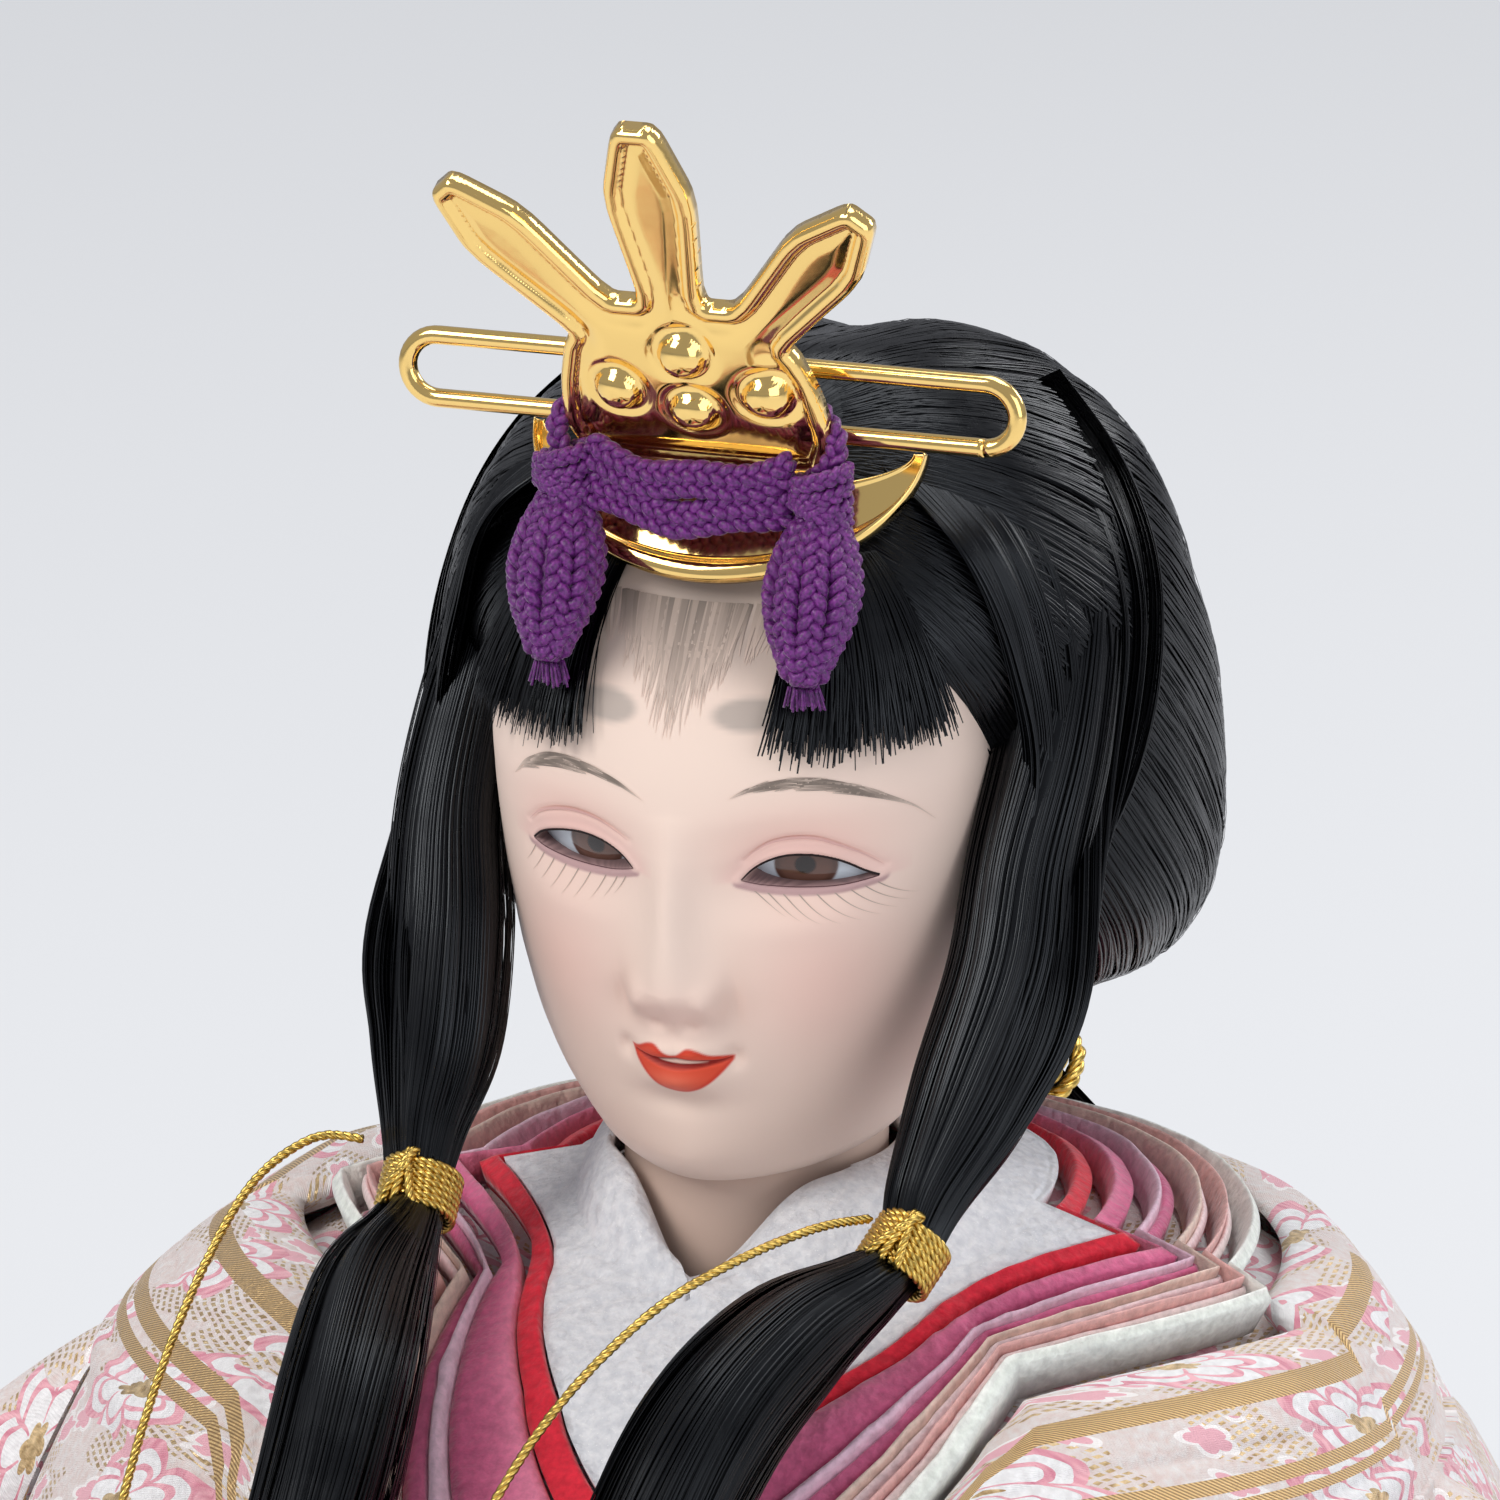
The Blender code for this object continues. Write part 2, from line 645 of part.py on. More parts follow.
# Materials
def finishes():
    return {
        "skin": material("matt gypsum skin", (0.86, 0.70, 0.60), 0.75),
        "eye": material("glass eye", (0.10, 0.06, 0.04), 0.05),
        "wood": material("plain wood", (0.55, 0.38, 0.22), 0.65),
        "paper": material("wound paper", (0.85, 0.82, 0.74), 0.9),
        "straw": material("straw bundle", (0.72, 0.60, 0.34), 0.9),
        "hair": material("black silk hair", (0.012, 0.012, 0.014), 0.35),
        "gold": material("polished gold plate", (0.95, 0.62, 0.16), 0.12, 1.0),
        "thread": material("gold thread", (0.86, 0.62, 0.12), 0.35, 1.0),
        "purple": material("purple silk braid", (0.20, 0.03, 0.28), 0.6),
        "white": material("white crinkled silk", (0.88, 0.88, 0.88), 0.7),
        "red": material("red silk", (0.80, 0.02, 0.05), 0.6),
        "pink": material("deep pink silk", (0.78, 0.20, 0.36), 0.6),
        "rose": material("rose silk", (0.86, 0.42, 0.50), 0.6),
        "blush": material("pale pink silk", (0.92, 0.68, 0.70), 0.6),
        "cream": material("cream silk", (0.92, 0.88, 0.80), 0.6),
        "brocade": material("pink and gold brocade", (0.88, 0.74, 0.72), 0.65),
        "wire": material("steel wire", (0.45, 0.45, 0.45), 0.4, 1.0),
    }


# Base, core and neck
def build_core(look):
    board = add_loft("base_board", [
        [(x, y, z) for x, y in (rounded(2 * math.pi * i / BOARD_SIDES, BOARD_HALF_WIDTH - edge,
                                        BOARD_HALF_DEPTH - edge, BOARD_HALF_DEPTH - edge,
                                        ROBE_SQUARENESS) for i in range(BOARD_SIDES))]
        for z, edge in ((0.0, BOARD_EDGE), (BOARD_EDGE, 0.0), (BOARD_THICK - BOARD_EDGE, 0.0),
                        (BOARD_THICK, BOARD_EDGE))], look["wood"])
    stations = [(BOARD_THICK + FIT_GAP, CORE_BASE_RADIUS), (CORE_TOP * CORE_WAIST_SHARE, CORE_WAIST_RADIUS),
                (CORE_TOP * CORE_SHOULDER_SHARE, CORE_SHOULDER_RADIUS), (CORE_TOP, CORE_NECK_RADIUS)]
    rings = []
    for z, radius in stations:
        ring = []
        for i in range(CORE_REEDS * 2):
            angle = math.pi * i / CORE_REEDS
            reach = radius - CORE_FLUTE * (i % 2)
            ring.append((reach * math.sin(angle), PEG_Y - reach * math.cos(angle), z))
        rings.append(ring)
    core = add_loft("straw_core", rings, look["straw"])
    wrap_low = CORE_TOP - WRAP_LENGTH
    socket = add_tube("guide_neck_socket", [(0.0, PEG_Y, wrap_low - WRAP_WALL),
                                           (0.0, PEG_Y, CORE_TOP + CUT_OVERRUN)],
                      PEG_RADIUS + WRAP_WALL + 2 * FIT_GAP, 16, look["straw"])
    cut(core, socket)
    wrap = bored_tube("neck_wrap", [(0.0, PEG_Y, wrap_low), (0.0, PEG_Y, CORE_TOP)],
                      PEG_RADIUS + WRAP_WALL, PEG_RADIUS + FIT_GAP, 16, look["paper"])
    peg_top = CORE_TOP + PEG_IN_NECK
    add_tube("neck_peg", [(0.0, PEG_Y, CORE_TOP - WRAP_LENGTH), (0.0, PEG_Y, peg_top)],
             PEG_RADIUS, 12, look["wood"])
    return core


# Head
def face_rise(x, z):
    """How far the features lift the front of the face, in its upright frame."""
    def hump(value, reach):
        return math.exp(-(value / reach) ** 2)

    if z > NOSE_TIP_Z:
        ridge = max(0.0, 1 - (z - NOSE_TIP_Z) / (NOSE_TOP_Z - NOSE_TIP_Z))
        ridge = ridge ** NOSE_RIDGE_POWER
    else:
        ridge = hump(z - NOSE_TIP_Z, NOSE_TIP_Z - NOSE_BASE_Z)
    rise = NOSE_RISE * ridge * hump(x, NOSE_HALF_WIDTH)
    rise += LIP_RISE * hump(x, LIP_HALF_WIDTH) * hump(z - LIP_Z, LIP_REACH)
    rise += CHIN_RISE * hump(x, CHIN_REACH) * hump(z - CHIN_Z, CHIN_REACH)
    rise -= (SOCKET_DEPTH * hump(abs(x) - SOCKET_X, SOCKET_HALF_WIDTH)
             * hump(z - SOCKET_Z, SOCKET_REACH))
    return rise


def head_place():
    """Carries the upright head into its place, tilted forward about its pivot."""
    pivot = Vector((0.0, 0.0, CHIN_HEIGHT + HEAD_PIVOT))
    tilt = Matrix.Rotation(math.radians(HEAD_PITCH_DEG), 4, "X")
    return Matrix.Translation(pivot) @ tilt @ Matrix.Translation(Vector((0.0, 0.0, -HEAD_PIVOT)))


def head_rings(off=0.0, features=True, sides=HEAD_SIDES):
    place = head_place()
    rings = []
    for height, half_width, front, back in HEAD_SHARES:
        z = height * HEAD_HEIGHT
        ring = []
        for i in range(sides):
            turn = 2 * math.pi * i / sides
            angle = turn - FACE_CROWD_SHARE * math.sin(turn)
            x, y = rounded(angle, half_width * HEAD_HALF_WIDTH + off, front * HEAD_FRONT_DEPTH + off,
                           back * HEAD_BACK_DEPTH + off, HEAD_SQUARENESS)
            if features and y < 0:
                y -= face_rise(x, z) * min(1.0, -y / (HEAD_FRONT_DEPTH * FACE_BLEND_SHARE))
            ring.append(place @ Vector((x, y, z + off * (2 * height - 1))))
        rings.append(ring)
    return rings


def neck_rings(off=0.0, sides=HEAD_SIDES):
    low = CORE_TOP + FIT_GAP
    high = CHIN_HEIGHT + HEAD_HEIGHT * NECK_HIGH_SHARE
    stations = ((low, NECK_FOOT_SHARE), (low + (high - low) * NECK_FLARE_SHARE, 1.0), (high, 1.0))
    return [[(r * math.sin(a), PEG_Y - r * math.cos(a), z)
             for a in (2 * math.pi * i / sides for i in range(sides))]
            for z, r in ((z, NECK_HALF_WIDTH * share + off) for z, share in stations)]


def build_head(look):
    head = add_loft("head_shell", head_rings(), look["skin"])
    neck = add_loft("guide_neck", neck_rings(sides=20), look["skin"])
    cut(head, neck, "UNION")
    peg_hole = add_tube("guide_peg_hole", [(0.0, PEG_Y, CORE_TOP - CUT_OVERRUN),
                                          (0.0, PEG_Y, CORE_TOP + PEG_IN_NECK + FIT_GAP)],
                        PEG_RADIUS + FIT_GAP, 12, look["skin"])
    cut(head, peg_hole)
    place = head_place()
    for side, sign in (("left", 1), ("right", -1)):
        centre = Vector((sign * EYE_X, -EYE_Y, EYE_Z))
        add_ball(f"eye_{side}", centre, 0.0, place, look["eye"])
        pocket = add_ball(f"guide_pocket_{side}", centre, FIT_GAP, place, look["skin"])
        cut(head, pocket)
        rings = []
        for y in (-EYE_Y, -HEAD_FRONT_DEPTH - CUT_OVERRUN):
            ring = []
            for i in range(16):
                a = 2 * math.pi * i / 16
                x = SLIT_HALF_WIDTH * math.cos(a)
                z = SLIT_HALF_HEIGHT * math.sin(a)
                tilt = math.tan(math.radians(SLIT_TILT_DEG)) * x * sign
                ring.append(place @ Vector((centre.x + x, y, centre.z + z + tilt)))
            rings.append(ring)
        cut(head, add_loft(f"guide_slit_{side}", rings, look["skin"]))
    return head


def add_ball(name, centre, off, place, finish):
    """One glass eye, an ellipsoid with its poles to the sides."""
    rings = []
    for i in range(1, 8):
        a = math.pi * i / 8
        ring = []
        for k in range(14):
            b = 2 * math.pi * k / 14
            ring.append(place @ (centre + Vector((
                (EYE_HALF_WIDTH + off) * math.cos(a),
                (EYE_HALF_DEPTH + off) * math.sin(a) * math.cos(b),
                (EYE_HALF_HEIGHT + off) * math.sin(a) * math.sin(b)))))
        rings.append(ring)
    return add_loft(name, rings, finish)


# Hair
def chin(point):
    """Lift a point given from the chin to its height on the doll."""
    return Vector(point) + Vector((0.0, 0.0, CHIN_HEIGHT))


def drape(point):
    """Lift a point of a hanging lock or thread, whose fall keeps step with the trunk."""
    x, y, z = point
    fall_share = (ROBE_TOP - ROBE_BOTTOM) / DRAPE_HEIGHT
    return chin((x, y, z * fall_share if z < 0.0 else z))


def crown(point):
    """Place a point given from the front top of the tilted head."""
    tilt = math.radians(HEAD_PITCH_DEG)
    rise = HEAD_HEIGHT - HEAD_PIVOT
    return chin((0.0, -crown_reach(), HEAD_PIVOT + rise * math.cos(tilt))) + Vector(point)


def crown_reach():
    return (HEAD_HEIGHT - HEAD_PIVOT) * math.sin(math.radians(HEAD_PITCH_DEG))


def hair_rings(off=0.0):
    rings = []
    for share, half_width, front, back in HAIR_SHARES:
        z = CHIN_HEIGHT + HAIR_LOW + share * (HAIR_HIGH - HAIR_LOW) + off * (2 * share - 1)
        lean = (crown_reach() - HAIR_CROWN_REACH) * share * HAIR_LEAN_SHARE
        ring = []
        for i in range(HAIR_SIDES):
            angle = 2 * math.pi * i / HAIR_SIDES
            x, y = rounded(angle, half_width * HAIR_HALF_WIDTH + off, 1.0, 1.0,
                           HAIR_SQUARENESS)
            middle = (back * HAIR_BACK_DEPTH - front * HAIR_FRONT_DEPTH) / 2 - lean
            reach = (back * HAIR_BACK_DEPTH + front * HAIR_FRONT_DEPTH) / 2 + off
            ring.append((x, middle + y * reach, z))
        rings.append(ring)
    return rings


def fringe_grid(start_deg, end_deg, off, edge=0.0):
    """The front of the head between two angles, from the cut ends up, at one distance."""
    place = head_place()
    grid = []
    for share in (0.0, 0.5, 1.0):
        height = FRINGE_LOW_SHARE + share * (FRINGE_HIGH_SHARE - FRINGE_LOW_SHARE)
        z = height * HEAD_HEIGHT + (2 * share - 1) * edge
        half_width, front, back = interpolate(HEAD_SHARES, height)
        line = []
        for angle in spread(math.radians(start_deg), math.radians(end_deg), FRINGE_COLUMNS):
            x, y = rounded(angle, half_width * HEAD_HALF_WIDTH + off,
                           front * HEAD_FRONT_DEPTH + off, back * HEAD_BACK_DEPTH + off,
                           HEAD_SQUARENESS)
            line.append(place @ Vector((x, y, z)))
        grid.append(line)
    return grid


def build_hair(look):
    hair = add_loft("hair_mass", hair_rings(), look["hair"])
    cut(hair, add_loft("guide_head_in_hair", head_rings(2 * FIT_GAP, False, 20), look["hair"]))
    cut(hair, crest_tang("guide_tang_in_hair", FIT_GAP, look["hair"]))
    for side, sign in (("left", 1), ("right", -1)):
        reach = (sign * FRINGE_START_DEG, sign * FRINGE_END_DEG)
        add_sheet(f"fringe_{side}", fringe_grid(*reach, FRINGE_INNER),
                  fringe_grid(*reach, FRINGE_OUTER), look["hair"])
    room = FRINGE_END_DEG + FRINGE_ROOM_DEG
    cut(hair, add_sheet("guide_fringes_in_hair", fringe_grid(-room, room, -FRINGE_OUTER, FIT_GAP),
                        fringe_grid(-room, room, FRINGE_OUTER + FIT_GAP, FIT_GAP), look["hair"]))
    for side in ("left", "right"):
        build_lock(look, side)
        build_lock_tie(look, side)
    return hair


def lock_tube(name, side, off, finish):
    """The form of a lock."""
    points = [drape(p) for p in LOCK_POINTS[side]]
    radii = [LOCK_RADIUS * share + off for share in LOCK_SHARES]
    return add_tube(name, points, radii, LOCK_SIDES, finish)


def build_lock(look, side):
    """One lock, pinched where its thread binds it, clear of the head beside it."""
    lock = lock_tube(f"side_lock_{side}", side, 0.0, look["hair"])
    cut(lock, add_loft(f"guide_head_at_lock_{side}", head_rings(FIT_GAP, False), look["hair"]))
    binding = tie_ring(f"guide_tie_{side}", side, TIE_RADIUS - TIE_WIRE - FIT_GAP,
                       TIE_RADIUS + LOCK_RADIUS, look["hair"])
    cut(lock, binding)
    return lock


def tie_frame(side):
    points = [drape(p) for p in LOCK_POINTS[side]]
    middle = points[TIE_INDEX]
    along = (points[TIE_INDEX + 1] - points[TIE_INDEX - 1]).normalized()
    return middle, along


def tie_ring(name, side, inner, outer, finish):
    middle, along = tie_frame(side)
    half = along * (TIE_TURNS * TIE_WIRE + 2 * FIT_GAP)
    return bored_tube(name, [middle - half, middle + half], outer, inner, TIE_TURN_SIDES, finish)


def build_lock_tie(look, side):
    """Gold thread wound round a lock, its turns pressed together in one band."""
    middle, along = tie_frame(side)
    points, radii = [], []
    for turn in range(TIE_TURNS):
        place = (turn - (TIE_TURNS - 1) / 2) * 2 * TIE_WIRE
        for reach, rise in TIE_RIDGE_SHARES:
            points.append(middle + along * (place + reach * TIE_WIRE))
            radii.append(TIE_RADIUS + rise * TIE_WIRE)
    outer = tube_rings(points, radii, TIE_TURN_SIDES)
    bore = tube_rings(points[::len(points) - 1], TIE_RADIUS - TIE_WIRE, TIE_TURN_SIDES)
    return add_loft(f"lock_tie_{side}", outer + bore[::-1], look["thread"], wrap=True)


def build_cords(look):
    """The loose ends of gold thread, as curves along the routes chosen by hand."""
    for side in ("left", "right"):
        path = smooth_path([drape(p) for p in CORD_POINTS[side]], CORD_STEPS)
        curve = bpy.data.curves.new(f"lock_cord_{side}", "CURVE")
        curve.dimensions = "3D"
        curve.bevel_depth = CORD_RADIUS
        curve.bevel_resolution = 2
        curve.use_fill_caps = True
        spline = curve.splines.new("POLY")
        spline.points.add(len(path) - 1)
        for point, place in zip(spline.points, path):
            point.co = (*place, 1.0)
        curve.materials.append(look["thread"])
        obj = bpy.data.objects.new(f"lock_cord_{side}", curve)
        bpy.context.collection.objects.link(obj)


def tail_half(share):
    """Half the angle that the tail covers: narrow at the nape and wide below."""
    down = (TAIL_TOP_SHARE - share) / (TAIL_TOP_SHARE - TAIL_LOW_SHARE)
    widen = min(1.0, max(0.0, down) * 3.0) ** 0.7
    return math.radians(TAIL_HALF_DEG) * (TAIL_NECK_SHARE + (1 - TAIL_NECK_SHARE) * widen)


def tail_row(share, off):
    """One line across the tail, clear of the jacket under it."""
    half = tail_half(share)
    turns = (2 * c / TAIL_COLUMNS - 1 for c in range(TAIL_COLUMNS + 1))
    return [robe_point(math.pi + half * t, share, off + TAIL_CLEAR + JACKET_THICK
                       + jacket_off(math.pi, share)) for t in turns]


def tail_root(side):
    """The line where the tail starts, inside the hair."""
    return [chin(((2 * c / TAIL_COLUMNS - 1) * -TAIL_ROOT_HALF_WIDTH,
                  TAIL_ROOT_Y + side * TAIL_THICK / 2, TAIL_ROOT_Z))
            for c in range(TAIL_COLUMNS + 1)]


def build_tail(look):
    """Hair gathered at the nape, then spread flat down the back of the robes."""
    shares = spread(TAIL_TOP_SHARE, TAIL_LOW_SHARE, TAIL_ROWS)
    inner = [tail_root(-1)] + [tail_row(share, 0.0) for share in shares]
    outer = [tail_root(1)] + [tail_row(share, TAIL_THICK) for share in shares]
    tail = add_sheet("back_hair", inner, outer, look["hair"])
    cut(tail, add_loft("guide_hair_at_tail", hair_rings(FIT_GAP), look["hair"]))
    return tail


# Crest, comb, hairpin and braid
def crest_place():
    lean = Matrix.Rotation(math.radians(90 + CREST_LEAN_DEG), 4, "X")
    return Matrix.Translation(crown(CREST_BASE)) @ lean


def build_crest(look):
    """Three-tined plate with a bulging middle and four bosses, in one stamped piece."""
    outline = [(x * CREST_HALF_WIDTH, y * CREST_HEIGHT) for x, y in CREST_OUTLINE_SHARES]
    place = crest_place()
    plate = add_plate("crest", outline, CREST_THICK, place, look["gold"])
    bevel = plate.modifiers.new("stamped rim", "BEVEL")
    bevel.width = CREST_THICK * CREST_EDGE_SHARE
    bevel.segments = 1
    bevel.limit_method = "ANGLE"
    for number, (x, y) in enumerate(BOSS_SHARES, 1):
        rings = []
        for k in range(3):
            a = math.pi / 2 * k / 3
            z = CREST_THICK * BOSS_LOW_SHARE + (CREST_THICK * BOSS_HIGH_SHARE + BOSS_RISE) * math.sin(a)
            reach = BOSS_RADIUS * math.cos(a)
            rings.append([place @ Vector((x * CREST_HALF_WIDTH + reach * math.cos(b),
                                          y * CREST_HEIGHT + reach * math.sin(b), z))
                          for b in (2 * math.pi * i / 8 for i in range(8))])
        cut(plate, add_loft(f"guide_boss_{number}", rings, look["gold"]), "UNION")
    cut(plate, crest_tang("guide_tang", 0.0, look["gold"]), "UNION")
    return plate


def crest_tang(name, off, finish):
    """The short pin that carries the plate in the hair behind it."""
    start = crest_place() @ Vector((0.0, -TANG_DROP, 0.0))
    end = start + Vector((0.0, TANG_LENGTH + off, 0.0))
    return add_tube(name, [start, end], TANG_RADIUS + off, 8, finish)


def build_hairpin(look):
    """A flat loop of round rod, drawn out wide behind the crest."""
    run = PIN_HALF_LENGTH - PIN_HALF_HEIGHT
    points = []
    for sign, start in ((1, -90), (-1, 90)):
        for k in range(PIN_END_STEPS + 1):
            a = math.radians(start + 180 * k / PIN_END_STEPS)
            points.append(crown((sign * run + PIN_HALF_HEIGHT * math.cos(a), PIN_Y,
                                 PIN_Z + PIN_HALF_HEIGHT * math.sin(a))))
    return add_tube("hairpin", points, PIN_RADIUS, PIN_SIDES, look["gold"], closed=True)


def comb_grid(off):
    """The crescent from its concave edge to its rim, wrapped round the front of the hair."""
    lean = math.radians(COMB_LEAN_DEG)
    normal = Vector((0.0, -math.cos(lean), math.sin(lean)))
    grid = []
    for depth, wide in ((COMB_HORN, COMB_HALF_WIDTH * COMB_INNER_SHARE),
                        (COMB_DEPTH, COMB_HALF_WIDTH)):
        line = []
        for k in range(COMB_STEPS + 1):
            a = math.pi * k / COMB_STEPS
            x = wide * math.cos(a)
            down = depth * math.sin(a)
            line.append(crown((x, COMB_Y - down * math.sin(lean)
                               + COMB_WRAP * (x / COMB_HALF_WIDTH) ** 2,
                               COMB_Z - down * math.cos(lean))) + normal * off)
        grid.append(line)
    return grid


def build_comb(look):
    return add_sheet("comb", comb_grid(0.0), comb_grid(COMB_THICK), look["gold"])


def build_braid(look):
    """Two braids side by side across the plate, from knot to knot."""
    for name, row in (("crest_cord_upper", 1), ("crest_cord_lower", -1)):
        points = []
        for k in range(BRAID_STEPS + 1):
            t = 2 * k / BRAID_STEPS - 1
            points.append(crown((t * BRAID_HALF_SPAN, BRAID_Y + BRAID_SAG * t * t,
                                 BRAID_Z + row * BRAID_APART / 2 - BRAID_SAG * (1 - t * t))))
        add_tube(name, points, BRAID_RADIUS, 6, look["purple"])


def build_tassel(look, side, sign):
    """A knot with a bulb of looped braid under it, ridged by its upright loops."""
    top = crown((sign * (BRAID_HALF_SPAN + KNOT_RADIUS + FIT_GAP), BRAID_Y + BRAID_SAG, BRAID_Z))
    rings = []
    sides = TASSEL_LOBES * 2
    for k in range(1, KNOT_RINGS):
        a = math.pi * (1 - k / KNOT_RINGS * KNOT_TURN_SHARE)
        rings.append([top + Vector((KNOT_RADIUS * math.sin(a) * math.cos(b),
                                    KNOT_RADIUS * KNOT_DEPTH_SHARE * math.sin(a) * math.sin(b),
                                    -KNOT_RADIUS * KNOT_TALL_SHARE * math.cos(a)))
                      for b in (2 * math.pi * i / sides for i in range(sides))])
    for k in range(TASSEL_RINGS):
        t = k / (TASSEL_RINGS - 1)
        bulge = min(1.0, TASSEL_START_SHARE + t * TASSEL_RUN_SHARE) ** TASSEL_LOW_POWER
        swell = TASSEL_END_SHARE + TASSEL_SWELL_SHARE * math.sin(math.pi * bulge)
        ring = []
        for i in range(sides):
            a = 2 * math.pi * i / sides
            reach = TASSEL_RADIUS * swell * (1 - TASSEL_RIDGE_SHARE * (i % 2))
            ring.append(top + Vector((reach * math.cos(a), reach * TASSEL_DEPTH_SHARE * math.sin(a)
                                      - TASSEL_LEAN * t,
                                      -KNOT_RADIUS * KNOT_TALL_SHARE - t * TASSEL_LENGTH)))
        rings.append(ring)
    return add_loft(f"tassel_{side}", rings, look["purple"])


# Garments of the trunk
def full_turn():
    """Angles round the trunk, closer together in front where the collars cross."""
    half = [math.radians(a) for a in ROBE_COLUMNS_DEG]
    return half + [2 * math.pi - a for a in half[-2:0:-1]]


def build_robe(look):
    """The stuffed outer robe of the trunk, open at the neck and the foot."""
    grids = []
    for off in (-ROBE_WALL, 0.0):
        grids.append([[robe_point(a, s, off) for a in full_turn()] for s in ROBE_ROW_SHARES])
    return add_sheet("robe_body", grids[0], grids[1], look["brocade"], closed=True)


def collar_edge(angle, number, gap=0.0):
    """Where a collar's upper edge lies on the trunk, or the line a gap inside it: straight
    lines that cross in front, seen from above, and a ring round the sides and nape."""
    turn = abs(math.atan2(math.sin(angle), math.cos(angle)))
    apart = COLLAR_APART_SHARE if gap else 0.0
    ring = COLLAR_SIDE_SHARE - COLLAR_SIDE_STEP_SHARE * number + apart
    foot = COLLAR_FOOT_SHARE + COLLAR_FOOT_STEP_SHARE * (COLLAR_NUMBER - number) + apart
    cross, side, front = COLLAR_LINES[number]
    along = side * math.cos(turn) + (cross - front) * math.sin(turn)
    highest = ring
    if number:
        highest = min(ring, collar_edge(angle, number - 1) - COLLAR_SIDE_STEP_SHARE + apart)
    if turn > math.pi / 2 or along <= 0.0:
        return highest
    reach = (cross * side - gap * math.hypot(side, cross - front)) / along
    low, high = foot, highest
    if plain_reach(turn, high) >= reach:
        return high
    for _ in range(24):
        middle = (low + high) / 2
        if plain_reach(turn, middle) > reach:
            low = middle
        else:
            high = middle
    return (low + high) / 2


def plain_reach(angle, share):
    """How far the trunk lies from its own upright axis, seen from above."""
    half_width, front, back = interpolate(ROBE_SHARES, share)
    return math.hypot(*rounded(angle, half_width * ROBE_HALF_WIDTH, front * ROBE_FRONT_DEPTH,
                               back * ROBE_BACK_DEPTH, ROBE_SQUARENESS))


def kosode_neck(angle, off):
    """The standing inner edge of the white collar, close round the neck."""
    turn = abs(math.atan2(math.sin(angle), math.cos(angle)))
    ring = NECK_HALF_WIDTH + KOSODE_NECK_GAP
    cross, side, front = KOSODE_VERTEX, COLLAR_LINES[0][1], COLLAR_LINES[0][2]
    along = side * math.cos(turn) + (cross - front) * math.sin(turn)
    reach = max(ring, cross * side / along) if turn < math.radians(KOSODE_V_DEG) else ring
    dip = KOSODE_DIP * math.exp(-(turn / math.radians(KOSODE_DIP_DEG)) ** 2)
    z = ROBE_TOP + KOSODE_RISE - dip
    return Vector((reach * math.sin(angle), PEG_Y - reach * math.cos(angle), z + off))


def build_kosode(look):
    """The white collar, from its edge on the chest up to its standing edge at the neck."""
    grids = []
    for off in (0.0, COLLAR_THICK):
        rows = [[robe_point(a, low + (collar_edge(a, 0) - low) * part, COLLAR_SEAT + off)
                 for a, low in ((a, collar_edge(a, 1, COLLAR_GAP)) for a in full_turn())]
                for part in COLLAR_ROW_SHARES]
        rows.append([kosode_neck(a, off) for a in full_turn()])
        grids.append(rows)
    return add_sheet("kosode_collar", grids[0], grids[1], look["white"], closed=True)


def build_collars(look):
    """Nested collars, each crossing lower in front and standing a step above the last."""
    tones = ("red", "pink", "rose", "rose", "blush", "cream")
    names = ("hitoe_collar", "collar_3", "collar_4", "collar_5", "collar_6", "lining_collar")
    build_kosode(look)
    for number, (name, tone) in enumerate(zip(names, tones), 1):
        edges = [(a, collar_edge(a, number + 1, COLLAR_GAP), collar_edge(a, number))
                 for a in full_turn()]
        stand = COLLAR_SEAT + COLLAR_STEP_RISE * number + COLLAR_THICK
        grids = [[[robe_point(a, low + (high - low) * part, off) for a, low, high in edges]
                  for part in COLLAR_ROW_SHARES] for off in (COLLAR_SEAT, stand)]
        add_sheet(name, grids[0], grids[1], look[tone], closed=True)


def hem_point(angle, down, number, off):
    """A place on one hem layer: down is 0 at its tucked top edge and 1 at its foot."""
    base = robe_point(angle, HEM_TOP_SHARE * (1 - down))
    way = Vector((base.x, base.y, 0.0)).normalized()
    pitch = HEM_PITCH_TOP + (HEM_PITCH_LOW - HEM_PITCH_TOP) * down
    flare = HEM_FLARE * down ** 4
    foot = HEM_LOW + HEM_LIFT * number
    z = base.z - (ROBE_BOTTOM - foot) * down ** 2
    return Vector((base.x, base.y, z)) + way * (HEM_SEAT + pitch * number + flare + off)


def build_hems(look):
    """Layered hems, the red trousers' hem lowest, each one shorter over the last."""
    tones = ("red", "rose", "blush", "brocade")
    names = ("hakama", "hem_2", "hem_3", "hem_outer")
    for number, (name, tone) in enumerate(zip(names, tones)):
        grids = [[[hem_point(angle, 1 - part, number, off) for angle in full_turn()]
                  for part in HEM_ROW_SHARES] for off in (0.0, HEM_THICK)]
        add_sheet(name, grids[0], grids[1], look[tone], closed=True)


def jacket_off(angle, share):
    """The jacket stands off further below, where it covers the tops of the hems."""
    low, high = JACKET_FLARE_LOW_SHARE, JACKET_FLARE_HIGH_SHARE
    t = min(max((high - share) / (high - low), 0.0), 1.0)
    return JACKET_OFF + JACKET_FLARE * t * t * (3 - 2 * t)


def jacket_top(angle):
    return collar_edge(angle, COLLAR_NUMBER) - JACKET_TOP_DROP_SHARE


